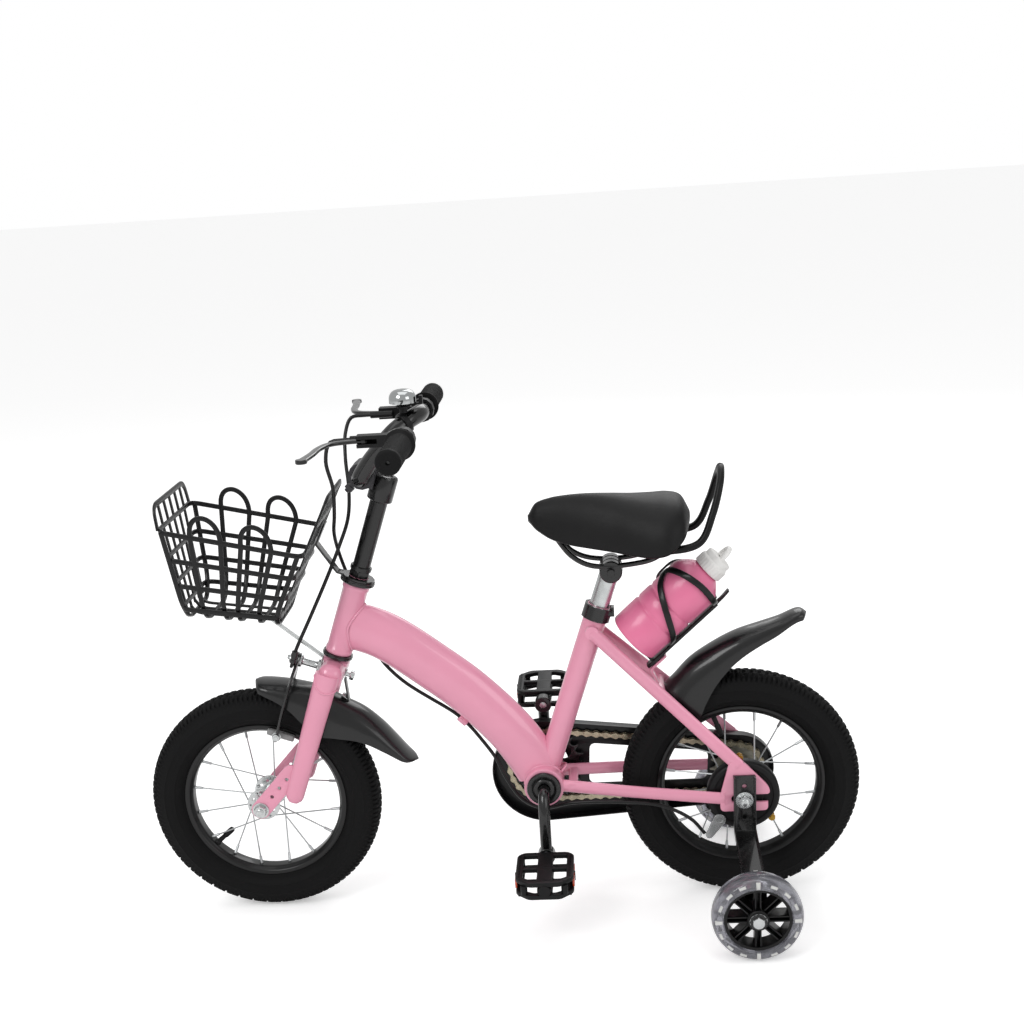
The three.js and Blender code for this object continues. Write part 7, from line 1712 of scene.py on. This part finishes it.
class BIKE_OT_bottle(BikeOperator):
    """Makes the bottle with its grooves, the screw cap with its ring, and the cage that holds it"""

    bl_idname = "bike.bottle"
    bl_label = "Bottle"

    def execute(self, context):
        body, shoulder, neck, rise = 104.0, 22.0, 16.5, 18.5
        profile = [(0, 0.8), (26, 0.8), (28, 0), (32.4, 0), (34.3, 1.2), (35, 3.4)]
        for share in (0.4, 0.62):
            z = share * body
            profile += [(35, z - 3.4), (34.4, z - 2.2), (33.5, z - 0.8), (33.5, z + 0.8), (34.4, z + 2.2),
                        (35, z + 3.4)]
        shares = [(1, 0), (0.9, 0.25), (0.62, 0.55), (0.25, 0.85), (0, 1)]
        bend = curve_through([(neck + rise * out, body + shoulder * up, 0) for out, up in shares], 22)
        profile += [(r, h) for r, h, _ in bend]
        top = body + shoulder + 12
        profile += [(neck, top - 0.4), (neck - 0.4, top), (0, top)]
        solid = Solid().lathe(profile, BOTTLE_SEAT, BOTTLE_UP, 96)
        piece("bottle", solid, "drink_bottle", "bottle pink", smooth=50)
        self.cap()
        self.cage()
        return {"FINISHED"}

    def cage(self):
        """The cage: a rail under the bottle, a foot, a hook at the top and a strand round each side, which
        goes by shares of the rail's length and of half a turn round the bottle."""
        solid = Solid()
        rail = [by_bottle(-12, 39.5), by_bottle(106, 39.5)]
        solid.sweep(respaced(rail, 30), 8.0, 2.4, sides=20, across=SIDE, power=5)
        hook = [by_bottle(100, 39.3), by_bottle(118, 38.8), by_bottle(128, 37.4)]
        solid.sweep(respaced(rounded(hook, 6, 6), 24), 6.4, 1.5, sides=16, across=SIDE, power=4)
        foot = [by_bottle(-2.2, 40), by_bottle(-2.2, 0), by_bottle(-2.2, -5)]
        solid.sweep(respaced(foot, 20), 8.0, 1.5, sides=16, across=SIDE, power=4)
        shares = [(0.3, 0.08), (0.45, 0.34), (0.6, 0.6), (0.74, 0.84), (0.86, 0.92), (0.97, 0.78),
                  (1.06, 0.5), (1, 0.08)]
        for way in (-1, 1):
            fine = curve_through([(106 * a, 100 * b, 0) for a, b in shares], 90)
            turn = fine[:, 1] / 100 * TURN / 2
            out = np.array([BOTTLE_DOWN * math.cos(t) + SIDE * way * math.sin(t) for t in turn])
            line = BOTTLE_SEAT + BOTTLE_UP * fine[:, :1] + 37.9 * out
            solid.sweep(line, 1.4, 4.0, sides=20, across=out, power=3)
        for along in (20, 88):
            solid.lathe([(0, -2.6), (4.4, -2.6), (4.4, 0.2), (3.6, 1.2), (0, 1.4)], by_bottle(along, 41.2),
                        BOTTLE_DOWN, 28)
        piece("bottle_cage", solid, "frame", "cage plastic")

    def cap(self):
        """The cap: a skirt whose radius swings with 30 times the angle, a stepped top and a ring."""
        angle = np.arange(180) * TURN / 180
        rows = [(16.9, 126.7, 0), (19.3, 126.7, 0), (19.8, 127.3, 1), (20, 128.4, 1), (20, 137.6, 1),
                (19.6, 139.4, 0.4), (18.6, 141.0, 0), (17.9, 141.6, 0), (17.5, 142.4, 0), (17.5, 147.5, 0),
                (16.8, 148.9, 0), (15, 149.6, 0), (9, 150, 0), (0, 150, 0)]
        out = unit(np.cross(BOTTLE_UP, SIDE))
        rings = []
        for radius, up, rib in rows:
            reach = radius - 0.5 * rib * (0.5 + 0.5 * np.cos(30 * angle)) ** 0.6
            ring = SIDE * (reach * np.cos(angle))[:, None] + out * (reach * np.sin(angle))[:, None]
            rings.append(BOTTLE_SEAT + BOTTLE_UP * up + ring)
        solid = Solid().grid(np.array(rings + rings[:1]), caps=False)
        line = [by_bottle(152.8 + 11.2 * math.sin(a), 0, 11.2 * math.cos(a))
                for a in np.arange(64) * TURN / 64]
        solid.sweep(line, 3.5, 3.5, sides=16, closed=True, across=BOTTLE_DOWN)
        piece("bottle_cap", solid, "bottle_top", "cap white")


# Training wheels

class BIKE_OT_training_wheels(BikeOperator):
    """Makes the training wheels: clear tires with pale pads, hubs with paired spokes, bolts and brackets"""

    bl_idname = "bike.training_wheels"
    bl_label = "Training wheels"

    def execute(self, context):
        for name, way in (("right", 1), ("left", -1)):
            machined(f"training_bracket_{name}", "frame", "black paint", 0.7)
            self.wheel(name, way)
        return {"FINISHED"}

    def wheel(self, name, way):
        """One wheel: the tire's section is 44.2 + 11.2 sin^0.62 a by 17 cos a; then hub, pads and bolt."""
        centre = TRAINER * (1, way, 1)
        body = f"{name}_training_wheel"
        bend = np.linspace(0, TURN / 2, 33)
        outer = np.column_stack([44.2 + 11.2 * np.sin(bend) ** 0.62, -17 * np.cos(bend)])
        profile = [(41.3, -15.6), (42.2, -16.8), *outer[1:-1], (42.2, 16.8), (41.3, 15.6)]
        tire = Solid().lathe(profile, centre, SIDE, 120, ring=True)
        piece(f"training_tire_{name}", tire, body, "clear tire", smooth=50)
        hub = Solid()
        hub.lathe([(37.2, -12.6), (40.6, -13), (41, -12.4), (41, 12.4), (40.6, 13), (37.2, 12.6), (37, 3),
                   (37, -3)], centre, SIDE, 112, ring=True)
        hub.lathe([(4.9, -15.5), (12.6, -15.5), (13.5, -14.4), (12.4, -6), (12.2, 0), (12.4, 6),
                   (13.5, 14.4), (12.6, 15.5), (4.9, 15.5)], centre, SIDE, 56, ring=True)
        for i in range(8):
            angle = TURN * i / 8
            out = ray(angle)
            side = np.cross(out, SIDE)
            for beside in (-1, 1):
                run = [centre + out * 11.5 + side * beside * 3.0, centre + out * 38.2 + side * beside * 3.0]
                hub.sweep(respaced(run, 6), 11.0, 1.2, sides=20, across=SIDE, power=6)
            run = [centre + out * 11, centre + out * 38.2]
            hub.sweep(respaced(run, 6), 1.3, 3.4, sides=12, across=SIDE, power=4)
        piece(f"training_hub_{name}", hub, body, "hub plastic")
        pads = Solid()
        for i in range(16):
            angle = TURN * i / 16
            large = i % 4 == 0
            half, low, high = (0.05, 42.6, 51.6) if large else (0.085, 46.4, 50.0)
            turn = np.linspace(angle - half, angle + half, 9)
            for side in (-1, 1):
                rings = []
                for y, inset in ((14.6, 0.0), (16.6, 0.0), (17.0, 0.5)):
                    arc = np.column_stack([np.cos(turn), 0 * turn, np.sin(turn)])
                    inner, outer_arc = arc * (low + inset), arc[::-1] * (high - inset)
                    rings.append(centre + np.vstack([inner, outer_arc]) + SIDE * side * y)
                pads.grid(np.array(rings))
        finish_object(f"training_pads_{name}", pads, body, "tire pads")
        bolt = Solid()
        bolt.lathe([(0, 15.6), (10.5, 15.6), (10.5, 17.0), (9.8, 17.2), (0, 17.2)], centre, SIDE * way, 40)
        nut(bolt, centre + SIDE * way * 17.0, SIDE * way, 8.0, 5.0)
        nut(bolt, centre - SIDE * way * 30.5, -SIDE * way, 8.0, 4.0)
        finish_object(f"training_bolt_{name}", bolt, "frame", "bright steel")


# Panel and run

ALL_OPERATORS = (
    BIKE_OT_finishes, BIKE_OT_stage, BIKE_OT_cables, BIKE_OT_wheels, BIKE_OT_front_frame,
    BIKE_OT_rear_frame, BIKE_OT_fork, BIKE_OT_cockpit, BIKE_OT_fenders, BIKE_OT_front_brake,
    BIKE_OT_basket, BIKE_OT_drive, BIKE_OT_rear_brake, BIKE_OT_seat, BIKE_OT_bottle,
    BIKE_OT_training_wheels,
)


class BIKE_PT_panel(bpy.types.Panel):
    """Lists the bike's settings and the steps that build it"""

    bl_label = "Kids bike"
    bl_idname = "BIKE_PT_panel"
    bl_space_type = "VIEW_3D"
    bl_region_type = "UI"
    bl_category = "Bike"

    def draw(self, context):
        for group in (context.scene.bike_colours, context.scene.bike_sizes):
            column = self.layout.column(align=True)
            for name in group.bl_rna.properties.keys():
                if name not in {"rna_type", "name"}:
                    column.prop(group, name)
        column = self.layout.column(align=True)
        for operator in ALL_OPERATORS:
            column.operator(operator.bl_idname)


CLASSES = (BikeColours, BikeSizes, *ALL_OPERATORS, BIKE_PT_panel)


def register():
    """Adds the bike's classes and settings to Blender."""
    for one in CLASSES:
        bpy.utils.register_class(one)
    bpy.types.Scene.bike_colours = bpy.props.PointerProperty(type=BikeColours)
    bpy.types.Scene.bike_sizes = bpy.props.PointerProperty(type=BikeSizes)


def unregister():
    """Takes them out again, the last one first."""
    del bpy.types.Scene.bike_colours
    del bpy.types.Scene.bike_sizes
    for one in reversed(CLASSES):
        bpy.utils.unregister_class(one)


def main():
    """Builds the bike step by step."""
    register()
    for operator in ALL_OPERATORS:
        group, name = operator.bl_idname.split(".")
        getattr(getattr(bpy.ops, group), name)()


if __name__ == "__main__":
    main()
